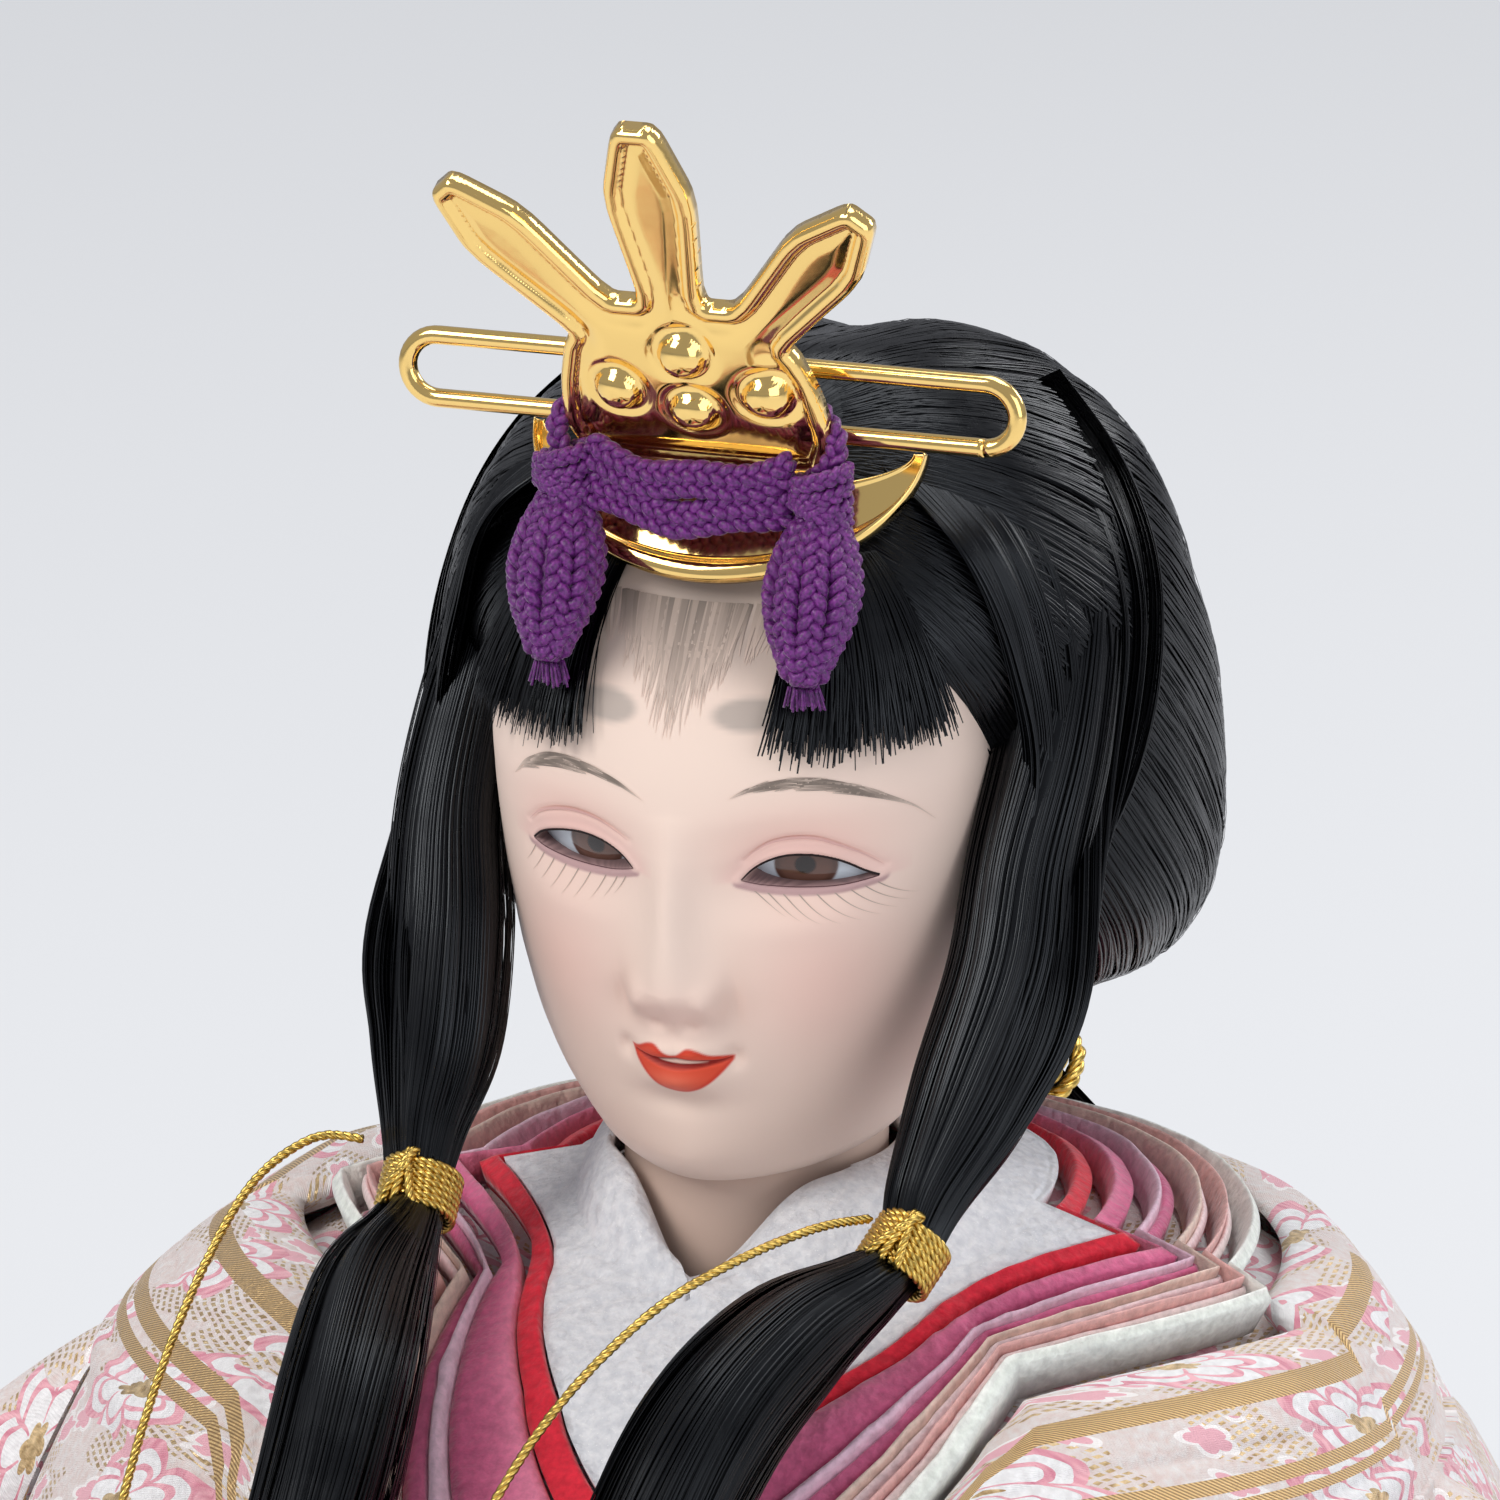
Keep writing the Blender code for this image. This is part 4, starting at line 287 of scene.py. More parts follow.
# Nodes of a material
class Mat:
    """Short-hand for building one node material."""

    def __init__(self, name, **sockets):
        self.mat = bpy.data.materials.new(name)
        self.mat.use_nodes = True
        self.tree = self.mat.node_tree
        self.bsdf = self.tree.nodes["Principled BSDF"]
        self.out = self.tree.nodes["Material Output"]
        self.set(**sockets)

    def set(self, **sockets):
        for key, value in sockets.items():
            socket = self.bsdf.inputs[key.replace("_", " ")]
            if isinstance(value, (tuple, list)) and len(value) == 3 and socket.type == "RGBA":
                value = (*value, 1.0)
            socket.default_value = value
        return self

    def node(self, kind, **props):
        node = self.tree.nodes.new(kind)
        inputs = props.pop("inputs", {})
        for key, value in props.items():
            setattr(node, key, value)
        for key, value in inputs.items():
            socket = node.inputs[key]
            if hasattr(value, "is_output"):
                self.tree.links.new(value, socket)
            else:
                if isinstance(value, (tuple, list)) and len(value) == 3 and socket.type == "RGBA":
                    value = (*value, 1.0)
                socket.default_value = value
        return node

    def link(self, a, b):
        self.tree.links.new(a, b)

    def to(self, key, output):
        self.tree.links.new(output, self.bsdf.inputs[key])
        return self

    def coords(self, attribute=None):
        if attribute:
            return self.node("ShaderNodeAttribute", attribute_name=attribute).outputs["Vector"]
        return self.node("ShaderNodeTexCoord").outputs["Object"]

    def value(self, attribute):
        return self.node("ShaderNodeAttribute", attribute_name=attribute).outputs["Fac"]

    def colour(self, attribute):
        return self.node("ShaderNodeAttribute", attribute_name=attribute).outputs["Color"]

    def math(self, op, a, b=None, c=None, clamp=False):
        node = self.node("ShaderNodeMath", operation=op, use_clamp=clamp)
        for i, v in enumerate((a, b, c)):
            if v is None:
                continue
            if hasattr(v, "is_output"):
                self.link(v, node.inputs[i])
            else:
                node.inputs[i].default_value = v
        return node.outputs[0]

    def mix(self, factor, a, b, blend="MIX"):
        node = self.node("ShaderNodeMix", data_type="RGBA", blend_type=blend)
        for i, v in ((0, factor), (6, a), (7, b)):
            if hasattr(v, "is_output"):
                self.link(v, node.inputs[i])
            else:
                if i and len(v) == 3:
                    v = (*v, 1.0)
                node.inputs[i].default_value = v
        return node.outputs[2]

    def noise(self, scale, coords=None, detail=2.0, rough=0.5, out="Fac", distortion=0.0):
        node = self.node("ShaderNodeTexNoise")
        node.inputs["Scale"].default_value = scale
        node.inputs["Detail"].default_value = detail
        node.inputs["Roughness"].default_value = rough
        node.inputs["Distortion"].default_value = distortion
        self.link(coords if coords is not None else self.coords(), node.inputs["Vector"])
        return node.outputs[out]

    def ramp(self, factor, stops, interpolation="LINEAR"):
        node = self.node("ShaderNodeValToRGB")
        node.color_ramp.interpolation = interpolation
        ramp = node.color_ramp.elements
        while len(ramp) > len(stops):
            ramp.remove(ramp[-1])
        for i, (at, colour) in enumerate(stops):
            if i >= len(ramp):
                ramp.new(at)
            ramp[i].position = at
            ramp[i].color = (*colour, 1.0) if len(colour) == 3 else colour
        self.link(factor, node.inputs[0])
        return node.outputs[0]

    def range(self, value, a, b, c=0.0, d=1.0, smooth=False):
        node = self.node("ShaderNodeMapRange")
        if smooth:
            node.interpolation_type = "SMOOTHSTEP"
        self.link(value, node.inputs[0])
        for i, v in enumerate((a, b, c, d), 1):
            node.inputs[i].default_value = v
        return node.outputs[0]

    def stretch(self, coords, scale, rotation=(0, 0, 0), location=(0, 0, 0)):
        node = self.node("ShaderNodeMapping")
        self.link(coords, node.inputs["Vector"])
        node.inputs["Scale"].default_value = scale
        node.inputs["Rotation"].default_value = rotation
        node.inputs["Location"].default_value = location
        return node.outputs[0]

    def bump(self, height, strength=0.3, distance=0.0001, chain=None):
        node = self.node("ShaderNodeBump")
        node.inputs["Strength"].default_value = strength
        node.inputs["Distance"].default_value = distance
        self.link(height, node.inputs["Height"])
        if chain is not None:
            self.link(chain, node.inputs["Normal"])
        self.link(node.outputs[0], self.bsdf.inputs["Normal"])
        return node.outputs[0]


# Light, world and floor
def add_area(name, place, aim, size, power, colour=(1, 1, 1), size_y=None):
    lamp = bpy.data.lights.new(name, "AREA")
    lamp.shape = "RECTANGLE"
    lamp.size = size
    lamp.size_y = size_y or size
    lamp.energy = power
    lamp.color = colour
    obj = bpy.data.objects.new(name, lamp)
    bpy.context.collection.objects.link(obj)
    obj.location = place
    way = Vector(aim) - Vector(place)
    obj.rotation_euler = way.to_track_quat("-Z", "Y").to_euler()
    return obj


def add_studio():
    scene = bpy.context.scene
    scene.view_settings.view_transform = "Standard"
    world = bpy.data.worlds.new("world")
    scene.world = world
    world.use_nodes = True
    tree = world.node_tree
    tree.nodes.clear()
    out = tree.nodes.new("ShaderNodeOutputWorld")
    mix = tree.nodes.new("ShaderNodeMixShader")
    light = tree.nodes.new("ShaderNodeBackground")
    light.inputs["Color"].default_value = (0.90, 0.92, 1.0, 1.0)
    light.inputs["Strength"].default_value = 0.42
    seen = tree.nodes.new("ShaderNodeBackground")
    seen.inputs["Color"].default_value = (0.928, 0.945, 0.974, 1.0)
    seen.inputs["Strength"].default_value = 1.0
    path = tree.nodes.new("ShaderNodeLightPath")
    tree.links.new(path.outputs["Is Camera Ray"], mix.inputs[0])
    tree.links.new(light.outputs[0], mix.inputs[1])
    tree.links.new(seen.outputs[0], mix.inputs[2])
    tree.links.new(mix.outputs[0], out.inputs["Surface"])
    middle = (0.0, 0.0, 0.14)
    add_area("key", (-0.55, -0.75, 0.95), middle, 0.6, 7.5, (1.0, 0.98, 0.95))
    add_area("fill", (0.95, -0.55, 0.45), middle, 0.8, 3.6, (0.95, 0.97, 1.0))
    add_area("top", (0.10, 0.25, 1.10), middle, 0.7, 5.0)
    add_area("rim", (0.55, 0.80, 0.55), middle, 0.4, 2.6)
    size = 6.0
    floor = make_mesh("floor", [(-size, -size, 0), (size, -size, 0), (size, size, 0),
                                (-size, size, 0)], [(0, 1, 2, 3)], None, None, smooth=False)
    m = Mat("floor", Roughness=0.9)
    m.set(Base_Color=(0.80, 0.81, 0.83))
    floor.data.materials.append(m.mat)
    tree = m.tree
    glow = m.node("ShaderNodeEmission")
    glow.inputs["Color"].default_value = (0.80, 0.815, 0.84, 1.0)
    glow.inputs["Strength"].default_value = 1.0
    path = m.node("ShaderNodeLightPath")
    mix = m.node("ShaderNodeMixShader")
    part = m.math("MULTIPLY", path.outputs["Is Camera Ray"], 0.55)
    tree.links.new(part, mix.inputs[0])
    tree.links.new(m.bsdf.outputs[0], mix.inputs[1])
    tree.links.new(glow.outputs[0], mix.inputs[2])
    tree.links.new(mix.outputs[0], m.out.inputs["Surface"])


add_camera()
add_studio()


# Materials of cloth, thread, metal, paper and wood
def cloth_mat(name, colour, dark, crinkle=1.0, glitter=0.0, rough=0.62, attribute=None):
    """Silk crape: two tones, a fine crinkle in relief and a soft sheen."""
    m = Mat(name, Roughness=rough)
    m.set(Sheen_Weight=0.35, Sheen_Roughness=0.45, Specular_IOR_Level=0.35)
    grain = m.noise(1500.0, detail=3.0, rough=0.6)
    base = m.colour(attribute) if attribute else None
    part = m.range(grain, 0.35, 0.7)
    if base is None:
        tone = m.mix(part, dark, colour)
    else:
        shade = m.mix(part, (0.80, 0.80, 0.80), (1.06, 1.06, 1.06))
        tone = m.mix(1.0, base, shade, "MULTIPLY")
    if glitter:
        spark = m.node("ShaderNodeTexVoronoi", feature="F1")
        spark.inputs["Scale"].default_value = 5200.0
        m.link(m.coords(), spark.inputs["Vector"])
        lit = m.math("LESS_THAN", spark.outputs["Distance"], 0.20)
        pick = m.math("GREATER_THAN", m.noise(2600.0, detail=0.0), 0.60)
        lit = m.math("MULTIPLY", lit, pick)
        part = m.math("MULTIPLY", lit, glitter)
        tone = m.mix(part, tone, (1.0, 1.0, 1.0))
        m.to("Metallic", m.math("MULTIPLY", lit, 0.6))
    m.to("Base Color", tone)
    ridged = m.noise(820.0, m.stretch(m.coords(), (1.0, 1.0, 0.45)), 2.0, 0.5)
    height = m.math("ADD", m.math("MULTIPLY", ridged, 1.6), m.math("MULTIPLY", grain, 0.7))
    m.bump(height, 0.55 * crinkle, 0.00035)
    return m.mat


def thread_mat(name, colour, rough=0.30, metallic=1.0, scale=2600.0):
    m = Mat(name, Roughness=rough, Metallic=metallic)
    grain = m.noise(scale, detail=2.0)
    dark = tuple(c * 0.55 for c in colour)
    m.to("Base Color", m.mix(m.range(grain, 0.3, 0.7), dark, colour))
    m.bump(grain, 0.35, 0.00010)
    return m.mat


def metal_mat(name, colour, rough=0.10, scratch=0.02):
    m = Mat(name, Metallic=1.0)
    m.set(Base_Color=colour)
    soft = m.noise(260.0, detail=3.0)
    m.to("Roughness", m.range(soft, 0.2, 0.8, rough, rough + 0.10))
    m.bump(m.noise(420.0, detail=2.0), scratch, 0.0004)
    return m.mat


def wood_mat(name, colour, dark):
    m = Mat(name, Roughness=0.55)
    rings = m.noise(60.0, m.stretch(m.coords(), (1.0, 9.0, 9.0)), 4.0, 0.6)
    fine = m.noise(700.0, m.stretch(m.coords(), (0.2, 3.0, 3.0)), 3.0, 0.6)
    m.to("Base Color", m.mix(m.range(rings, 0.3, 0.7), dark, colour))
    m.bump(fine, 0.25, 0.0002)
    return m.mat


def brocade_mat(name, ground=(0.80, 0.76, 0.74), second=(0.74, 0.60, 0.56), flower=9.0):
    """Woven pattern in cloth coordinates (mm): scalloped blossoms over gold dashes on crape."""
    m = Mat(name, Roughness=0.55)
    m.set(Sheen_Weight=0.25, Sheen_Roughness=0.4)
    uv = m.coords("cloth")
    bend = m.noise(0.35, uv, 2.0, 0.5, out="Color")
    shift = m.node("ShaderNodeVectorMath", operation="SCALE", inputs={0: bend})
    shift.inputs["Scale"].default_value = 0.8
    warped = m.node("ShaderNodeVectorMath", operation="ADD", inputs={0: uv, 1: shift.outputs[0]})
    warped = warped.outputs[0]

    def blossom(size, seed, petals, spread=0.55):
        """Distance out to the scalloped rim, in shares, the petals' wave and a colour for each."""
        moved = m.stretch(warped, (1.0, 1.0, 0.0), location=(seed, seed * 0.7, 0.0))
        cells = m.node("ShaderNodeTexVoronoi", feature="F1", voronoi_dimensions="2D")
        cells.inputs["Scale"].default_value = 1.0 / size
        cells.inputs["Randomness"].default_value = spread
        m.link(moved, cells.inputs["Vector"])
        away = m.node("ShaderNodeVectorMath", operation="SUBTRACT",
                      inputs={0: moved, 1: cells.outputs["Position"]}).outputs[0]
        split = m.node("ShaderNodeSeparateXYZ")
        m.link(away, split.inputs[0])
        turn = m.math("ARCTAN2", split.outputs[1], split.outputs[0])
        wave = m.math("ABSOLUTE", m.math("COSINE", m.math("MULTIPLY", turn, petals / 2.0)))
        rim = m.math("ADD", 0.66, m.math("MULTIPLY", wave, 0.34))
        reach = m.math("DIVIDE", m.node("ShaderNodeVectorMath", operation="LENGTH",
                                        inputs={0: away}).outputs["Value"], size * 0.46)
        return m.math("DIVIDE", reach, rim), wave, cells.outputs["Color"]

    split = m.node("ShaderNodeSeparateXYZ")
    m.link(warped, split.inputs[0])
    u, v = split.outputs[0], split.outputs[1]
    # gold dashes in rows, in blocks
    row = m.math("FRACT", m.math("MULTIPLY", v, 1.9))
    in_row = m.math("LESS_THAN", row, 0.48)
    odd = m.math("FLOOR", m.math("MULTIPLY", v, 1.9))
    off = m.math("MULTIPLY", m.math("FRACT", m.math("MULTIPLY", odd, 0.5)), 1.0)
    run = m.math("FRACT", m.math("ADD", m.math("MULTIPLY", u, 1.15), off))
    in_dash = m.math("MULTIPLY", in_row, m.math("LESS_THAN", run, 0.66))
    block = m.math("GREATER_THAN", m.noise(0.16, uv, 1.0, 0.4), 0.50)
    gold = m.math("MULTIPLY", in_dash, block)
    grain = m.noise(1900.0, detail=2.0)
    crape = m.mix(m.range(grain, 0.3, 0.75), second, ground)
    lame = m.mix(m.range(grain, 0.3, 0.7), (0.42, 0.27, 0.12), (0.92, 0.70, 0.40))
    tone = m.mix(gold, crape, lame)
    metal = m.math("MULTIPLY", gold, 0.75)
    # small blossoms of pink satin
    d2, _, c2 = blossom(flower * 0.62, 13.7, 5.0, 0.9)
    small_on = m.math("GREATER_THAN", m.noise(0.11, uv, 0.0, 0.0), 0.47)
    small = m.math("MULTIPLY", m.math("LESS_THAN", d2, 0.62), small_on)
    small_rim = m.math("MULTIPLY", m.math("COMPARE", d2, 0.62, 0.09), small_on)
    tone = m.mix(small, tone, (0.84, 0.44, 0.50))
    tone = m.mix(small_rim, tone, (0.93, 0.88, 0.86))
    metal = m.math("MULTIPLY", metal, m.math("SUBTRACT", 1.0, small))
    # large blossoms: white petals, pink satin scalloped rims, gold hearts
    d1, w1, _ = blossom(flower * 1.45, 0.0, 6.0, 0.6)
    big_on = m.math("GREATER_THAN", m.noise(0.075, uv, 0.0, 0.0), 0.44)
    big = m.math("MULTIPLY", m.math("LESS_THAN", d1, 1.0), big_on)
    petal = m.math("LESS_THAN", w1, 0.16)
    satin = m.mix(m.range(m.noise(900.0, m.stretch(m.coords(), (0.3, 3.0, 1.0)), 1.0), 0.3, 0.7),
                  (0.70, 0.24, 0.32), (0.93, 0.50, 0.55))
    white = m.mix(m.range(grain, 0.3, 0.7), (0.80, 0.78, 0.78), (0.95, 0.94, 0.94))
    tone = m.mix(big, tone, white)
    metal = m.math("MULTIPLY", metal, m.math("SUBTRACT", 1.0, big))
    rim1 = m.math("MULTIPLY", m.math("COMPARE", d1, 0.92, 0.085), big_on)
    rim2 = m.math("MULTIPLY", m.math("COMPARE", d1, 0.60, 0.05), big_on)
    vein = m.math("MULTIPLY", m.math("MULTIPLY", petal, big), m.math("GREATER_THAN", d1, 0.28))
    heart = m.math("MULTIPLY", m.math("LESS_THAN", d1, 0.22), big_on)
    pink = m.math("MAXIMUM", m.math("MAXIMUM", rim1, rim2), vein)
    tone = m.mix(pink, tone, satin)
    tone = m.mix(heart, tone, lame)
    metal = m.math("MAXIMUM", metal, m.math("MULTIPLY", heart, 0.75))
    # twisted gold double lines along the folded edges; their twist is painted shade and highlight, dark
    # and bright bands in turn
    edge = m.value("edging")
    line = m.math("MULTIPLY", m.math("GREATER_THAN", edge, 0.5),
                  m.math("LESS_THAN", m.math("FRACT", m.math("MULTIPLY", edge, 1.0)), 1.0))
    twist = m.node("ShaderNodeTexWave", wave_type="BANDS")
    twist.inputs["Scale"].default_value = 0.9
    m.link(uv, twist.inputs["Vector"])
    braid = m.mix(twist.outputs["Fac"], (0.30, 0.17, 0.07), (0.88, 0.62, 0.30))
    tone = m.mix(line, tone, braid)
    metal = m.math("MAXIMUM", metal, m.math("MULTIPLY", line, 0.6))
    m.to("Base Color", tone)
    m.to("Metallic", metal)
    m.to("Roughness", m.mix(metal, (0.62, 0.62, 0.62), (0.34, 0.34, 0.34)))
    weave_u = m.math("SINE", m.math("MULTIPLY", u, 24.0))
    weave_v = m.math("SINE", m.math("MULTIPLY", v, 24.0))
    height = m.math("MULTIPLY", m.math("MULTIPLY", weave_u, weave_v), 0.16)
    height = m.math("ADD", height, m.math("MULTIPLY", grain, 0.9))
    height = m.math("ADD", height, m.math("MULTIPLY", pink, 1.3))
    height = m.math("ADD", height, m.math("MULTIPLY", m.math("MAXIMUM", gold, line), 1.0))
    height = m.math("ADD", height, m.math("MULTIPLY", small, 0.8))
    height = m.math("ADD", height, m.math("MULTIPLY", m.noise(520.0, detail=2.0), 1.1))
    m.bump(height, 0.6, 0.00030)
    return m.mat


brocade = brocade_mat("brocade_pink_gold")
thread_gold = thread_mat("thread_gold", (0.90, 0.62, 0.16))
gold_plate = metal_mat("gold_plate", (0.95, 0.66, 0.26))
plain_wood = wood_mat("plain_wood", (0.62, 0.44, 0.26), (0.42, 0.27, 0.14))
# Surface of the trunk, as in the CAD part, for whole arrays
ROBE_TOP, ROBE_BOTTOM = 0.1485, 0.0060
ROBE = np.array([
    (0.0, 1.36, 1.50, 1.34), (0.10, 1.28, 1.44, 1.24), (0.24, 1.18, 1.36, 1.15),
    (0.42, 1.10, 1.24, 1.08), (0.58, 1.03, 1.10, 1.03), (0.72, 0.95, 0.93, 0.96),
    (0.82, 0.87, 0.76, 0.86), (0.90, 0.77, 0.58, 0.73), (0.95, 0.65, 0.41, 0.58),
    (0.98, 0.46, 0.285, 0.42), (1.0, 0.26, 0.245, 0.27)])


def rounded(angle, wide, front, back, square=2.25):
    s, c = np.sin(angle), np.cos(angle)
    p = 2 / square
    reach = np.where(c > 0, front, back)
    return wide * np.sign(s) * np.abs(s) ** p, -reach * np.sign(c) * np.abs(c) ** p


def robe_base(angle, share):
    rows = table_at(ROBE, share)
    x, y = rounded(angle, rows[..., 0] * 0.050, rows[..., 1] * 0.052, rows[..., 2] * 0.052)
    t = np.clip((share - 0.90) / 0.10, 0, None)
    shift = 0.0034 * t * t * (3 - 2 * t)
    dip = 0.0035 * t ** 3 * np.maximum(0.0, np.cos(angle))
    z = ROBE_BOTTOM + share * (ROBE_TOP - ROBE_BOTTOM) - dip
    return np.stack(np.broadcast_arrays(x + shift, y, z), -1)


def robe_point(angle, share, off=0.0):
    """Places off the trunk by a distance, square to its surface."""
    angle, share = np.broadcast_arrays(np.asarray(angle, float), np.asarray(share, float))
    around = robe_base(angle + 0.02, share) - robe_base(angle - 0.02, share)
    up = robe_base(angle, np.minimum(share + 0.01, 1)) - robe_base(angle, np.maximum(share - 0.01, 0))
    return robe_base(angle, share) + unit(np.cross(around, up)) * np.asarray(off)[..., None]


def wrapped(angle):
    return np.abs(np.arctan2(np.sin(angle), np.cos(angle)))


def plain_reach(angle, share):
    rows = table_at(ROBE, share)
    return np.hypot(*rounded(angle, rows[..., 0] * 0.050, rows[..., 1] * 0.052,
                             rows[..., 2] * 0.052))


LINES = [(0.0150, 0.0085, 0.0050), (0.0263, 0.0120, 0.0100), (0.0290, 0.0130, 0.0105),
         (0.0400, 0.0136, 0.0110), (0.0510, 0.0142, 0.0115), (0.0620, 0.0148, 0.0120),
         (0.0750, 0.0155, 0.0120), (0.0950, 0.0164, 0.0120)]


def collar_edges(angle, gap=0.0):
    """The upper edge of each collar at these angles, outermost last."""
    turn = wrapped(angle)
    edges = []
    apart = 0.0020 if gap else 0.0
    for number, (cross, side, front) in enumerate(LINES):
        ring = 0.999 - 0.0045 * number + apart
        foot = 0.600 + 0.012 * (7 - number) + apart
        along = side * np.cos(turn) + (cross - front) * np.sin(turn)
        highest = np.full_like(turn, ring)
        if number:
            base = edges[-1] if not gap else plain_edges[number - 1]
            highest = np.minimum(ring, base - 0.0045 + apart)
        reach = (cross * side - gap * math.hypot(side, cross - front)) / np.maximum(along, 1e-9)
        low, high = np.full_like(turn, foot), highest.copy()
        for _ in range(24):
            middle = (low + high) / 2
            out = plain_reach(turn, middle) > reach
            low, high = np.where(out, middle, low), np.where(out, high, middle)
        value = (low + high) / 2
        skip = (turn > math.pi / 2) | (along <= 0) | (plain_reach(turn, highest) >= reach)
        edges.append(np.where(skip, highest, value))
    return edges


def turn_columns(count, crowd=0.55):
    """Angles once round, closer together in front."""
    t = np.arange(count) / count * 2 * math.pi
    return t - crowd * np.sin(t)


def cloth_coords(P):
    """Distances along the cloth in mm: across the columns, and down the rows."""
    P = np.asarray(P)
    du = np.linalg.norm(np.diff(P, axis=1), axis=-1)
    u = np.concatenate([np.zeros((len(P), 1)), np.cumsum(du, 1)], 1)
    u = u - u[:, [u.shape[1] // 2]]
    dv = np.linalg.norm(np.diff(P, axis=0), axis=-1)
    v = np.concatenate([np.zeros((1, P.shape[1])), np.cumsum(dv, 0)], 0)
    return np.stack([u * 1000, v * 1000, np.zeros_like(u)], -1)


def smooth_noise(shape, rng, knots_r, knots_c, wrap_c=False):
    """A smooth random field, between about -1 and 1."""
    rows, cols = shape
    base = rng.normal(size=(knots_r + 3, knots_c + (0 if wrap_c else 3)))
    if wrap_c:
        base = np.concatenate([base, base[:, :3]], 1)

    def weights(count, knots, wrap):
        x = np.linspace(0, knots - (0 if wrap else 1e-6), count, endpoint=not wrap)
        i = np.minimum(x.astype(int), knots - 1)
        t = x - i
        w = np.stack([(1 - t) ** 3, 3 * t ** 3 - 6 * t * t + 4,
                      -3 * t ** 3 + 3 * t * t + 3 * t + 1, t ** 3], -1) / 6
        M = np.zeros((count, knots + 3))
        for k in range(4):
            M[np.arange(count), i + k] += w[:, k]
        return M

    A = weights(rows, knots_r, False)
    B = weights(cols, knots_c, wrap_c)
    return A @ base @ B.T


ANG = turn_columns(900)
plain_edges = collar_edges(ANG)
gap_edges = collar_edges(ANG, 0.00012)
SEAT, THICK, RISE = 0.0006, 0.0013, 0.00025

# Rows of each collar: share of the way up, height share of the thickness (rolled upper edge)
PLAIN_ROLL = [(0.0, 0.80), (0.25, 0.86), (0.5, 0.92), (0.72, 0.98), (0.84, 1.0), (0.92, 0.95),
              (0.97, 0.82), (0.995, 0.60), (1.0, 0.35)]
PIPED_ROLL = [(0.0, 0.62), (0.2, 0.72), (0.40, 0.78), (0.52, 0.74), (0.58, 0.60), (0.61, 0.66),
              (0.66, 0.88), (0.74, 1.0), (0.84, 1.0), (0.92, 0.92), (0.97, 0.76), (1.0, 0.40)]


def collar_piece(name, number, mat, colours, piped, seed, slot=None):
    """A collar of folded silk: its outer face rolls over at its upper edge."""
    low, high = gap_edges[number + 1], plain_edges[number]
    rng = np.random.default_rng(seed)
    table = np.array(PIPED_ROLL if piped else PLAIN_ROLL)
    part = table[:, 0][:, None]
    stand = THICK + RISE * number
    share = low + (high - low) * part
    ripple = smooth_noise((len(table), len(ANG)), rng, 2, 130, True) * 0.00006
    ripple += smooth_noise((len(table), len(ANG)), rng, 3, 46, True) * 0.00010
    over = overlap_step(number, share)
    off = SEAT + stand * table[:, 1][:, None] + ripple * (table[:, 1][:, None]) + over
    outer = robe_point(ANG[None, :], share, off)
    inner_part = np.array([0.0, 0.5, 1.0])[:, None]
    ishare = low + (high - low) * inner_part
    inner = robe_point(ANG[None, :], ishare, SEAT * 0.5)
    P = np.concatenate([outer, inner[::-1]])
    obj = grid_mesh(name, P, mat, "torso", wrap_cols=True, wrap_rows=True, flip=False,
                    replaces=[name_of[number]], slot=slot)
    t = np.concatenate([table[:, 0], [1.0, 0.5, 0.0]])
    rgb = np.stack([np.interp(t, [c[0] for c in colours], [c[1][k] for c in colours])
                    for k in range(3)], -1)
    rgb = np.repeat(rgb[:, None, :], len(ANG), 1)
    tint = 1 + 0.05 * smooth_noise((len(t), len(ANG)), rng, 2, 60, True)[..., None]
    paint(obj, "dye", (rgb * tint).reshape(-1, 3))
    return obj


def overlap_step(number, share):
    """The doll's left side of each collar lies over its right side in front."""
    cross, side, front = LINES[number]
    P = robe_base(np.broadcast_to(ANG[None, :], share.shape), share)
    x, y = P[..., 0], -P[..., 1]
    # the left side's edge line runs on past the middle: beyond it lies the right side alone
    beyond = (cross - y) * side - (cross - front) * (-x) * -1.0
    inside = (x < 0.0) & (beyond > 0)
    lift = np.where(inside, 0.0, 0.00030) * step01(-wrapped_front(), -0.9, -0.6)
    return lift


def wrapped_front():
    return wrapped(ANG)[None, :]


name_of = ["kosode_collar", "hitoe_collar", "collar_3", "collar_4", "collar_5", "collar_6",
           "lining_collar"]
silk = cloth_mat("silk_dyed", (1, 1, 1), (0.8, 0.8, 0.8), attribute="dye")
silk_white = cloth_mat("silk_white_glitter", (0.90, 0.90, 0.92), (0.70, 0.71, 0.75), 1.3, 0.8)
felt_red = cloth_mat("silk_red", (0.88, 0.02, 0.05), (0.62, 0.01, 0.03), 0.7, rough=0.8)

COLLAR_DYES = {
    2: [(0.0, (0.72, 0.12, 0.27)), (0.6, (0.80, 0.16, 0.32)), (1.0, (0.85, 0.24, 0.38))],
    3: [(0.0, (0.62, 0.10, 0.24)), (0.55, (0.72, 0.15, 0.30)), (0.60, (0.86, 0.55, 0.68)),
        (1.0, (0.88, 0.60, 0.72))],
    4: [(0.0, (0.86, 0.62, 0.64)), (0.55, (0.90, 0.70, 0.70)), (0.60, (0.82, 0.60, 0.50)),
        (1.0, (0.84, 0.64, 0.54))],
    5: [(0.0, (0.90, 0.74, 0.72)), (0.55, (0.88, 0.66, 0.64)), (0.60, (0.85, 0.45, 0.42)),
        (1.0, (0.87, 0.50, 0.46))],
    6: [(0.0, (0.86, 0.90, 0.84)), (0.5, (0.84, 0.88, 0.80)), (0.8, (0.90, 0.90, 0.84)),
        (1.0, (0.92, 0.90, 0.84))],
}
collars = {1: collar_piece("hitoe_collar_silk", 1, felt_red, [(0, (1, 1, 1)), (1, (1, 1, 1))],
                           False, 11, "red")}
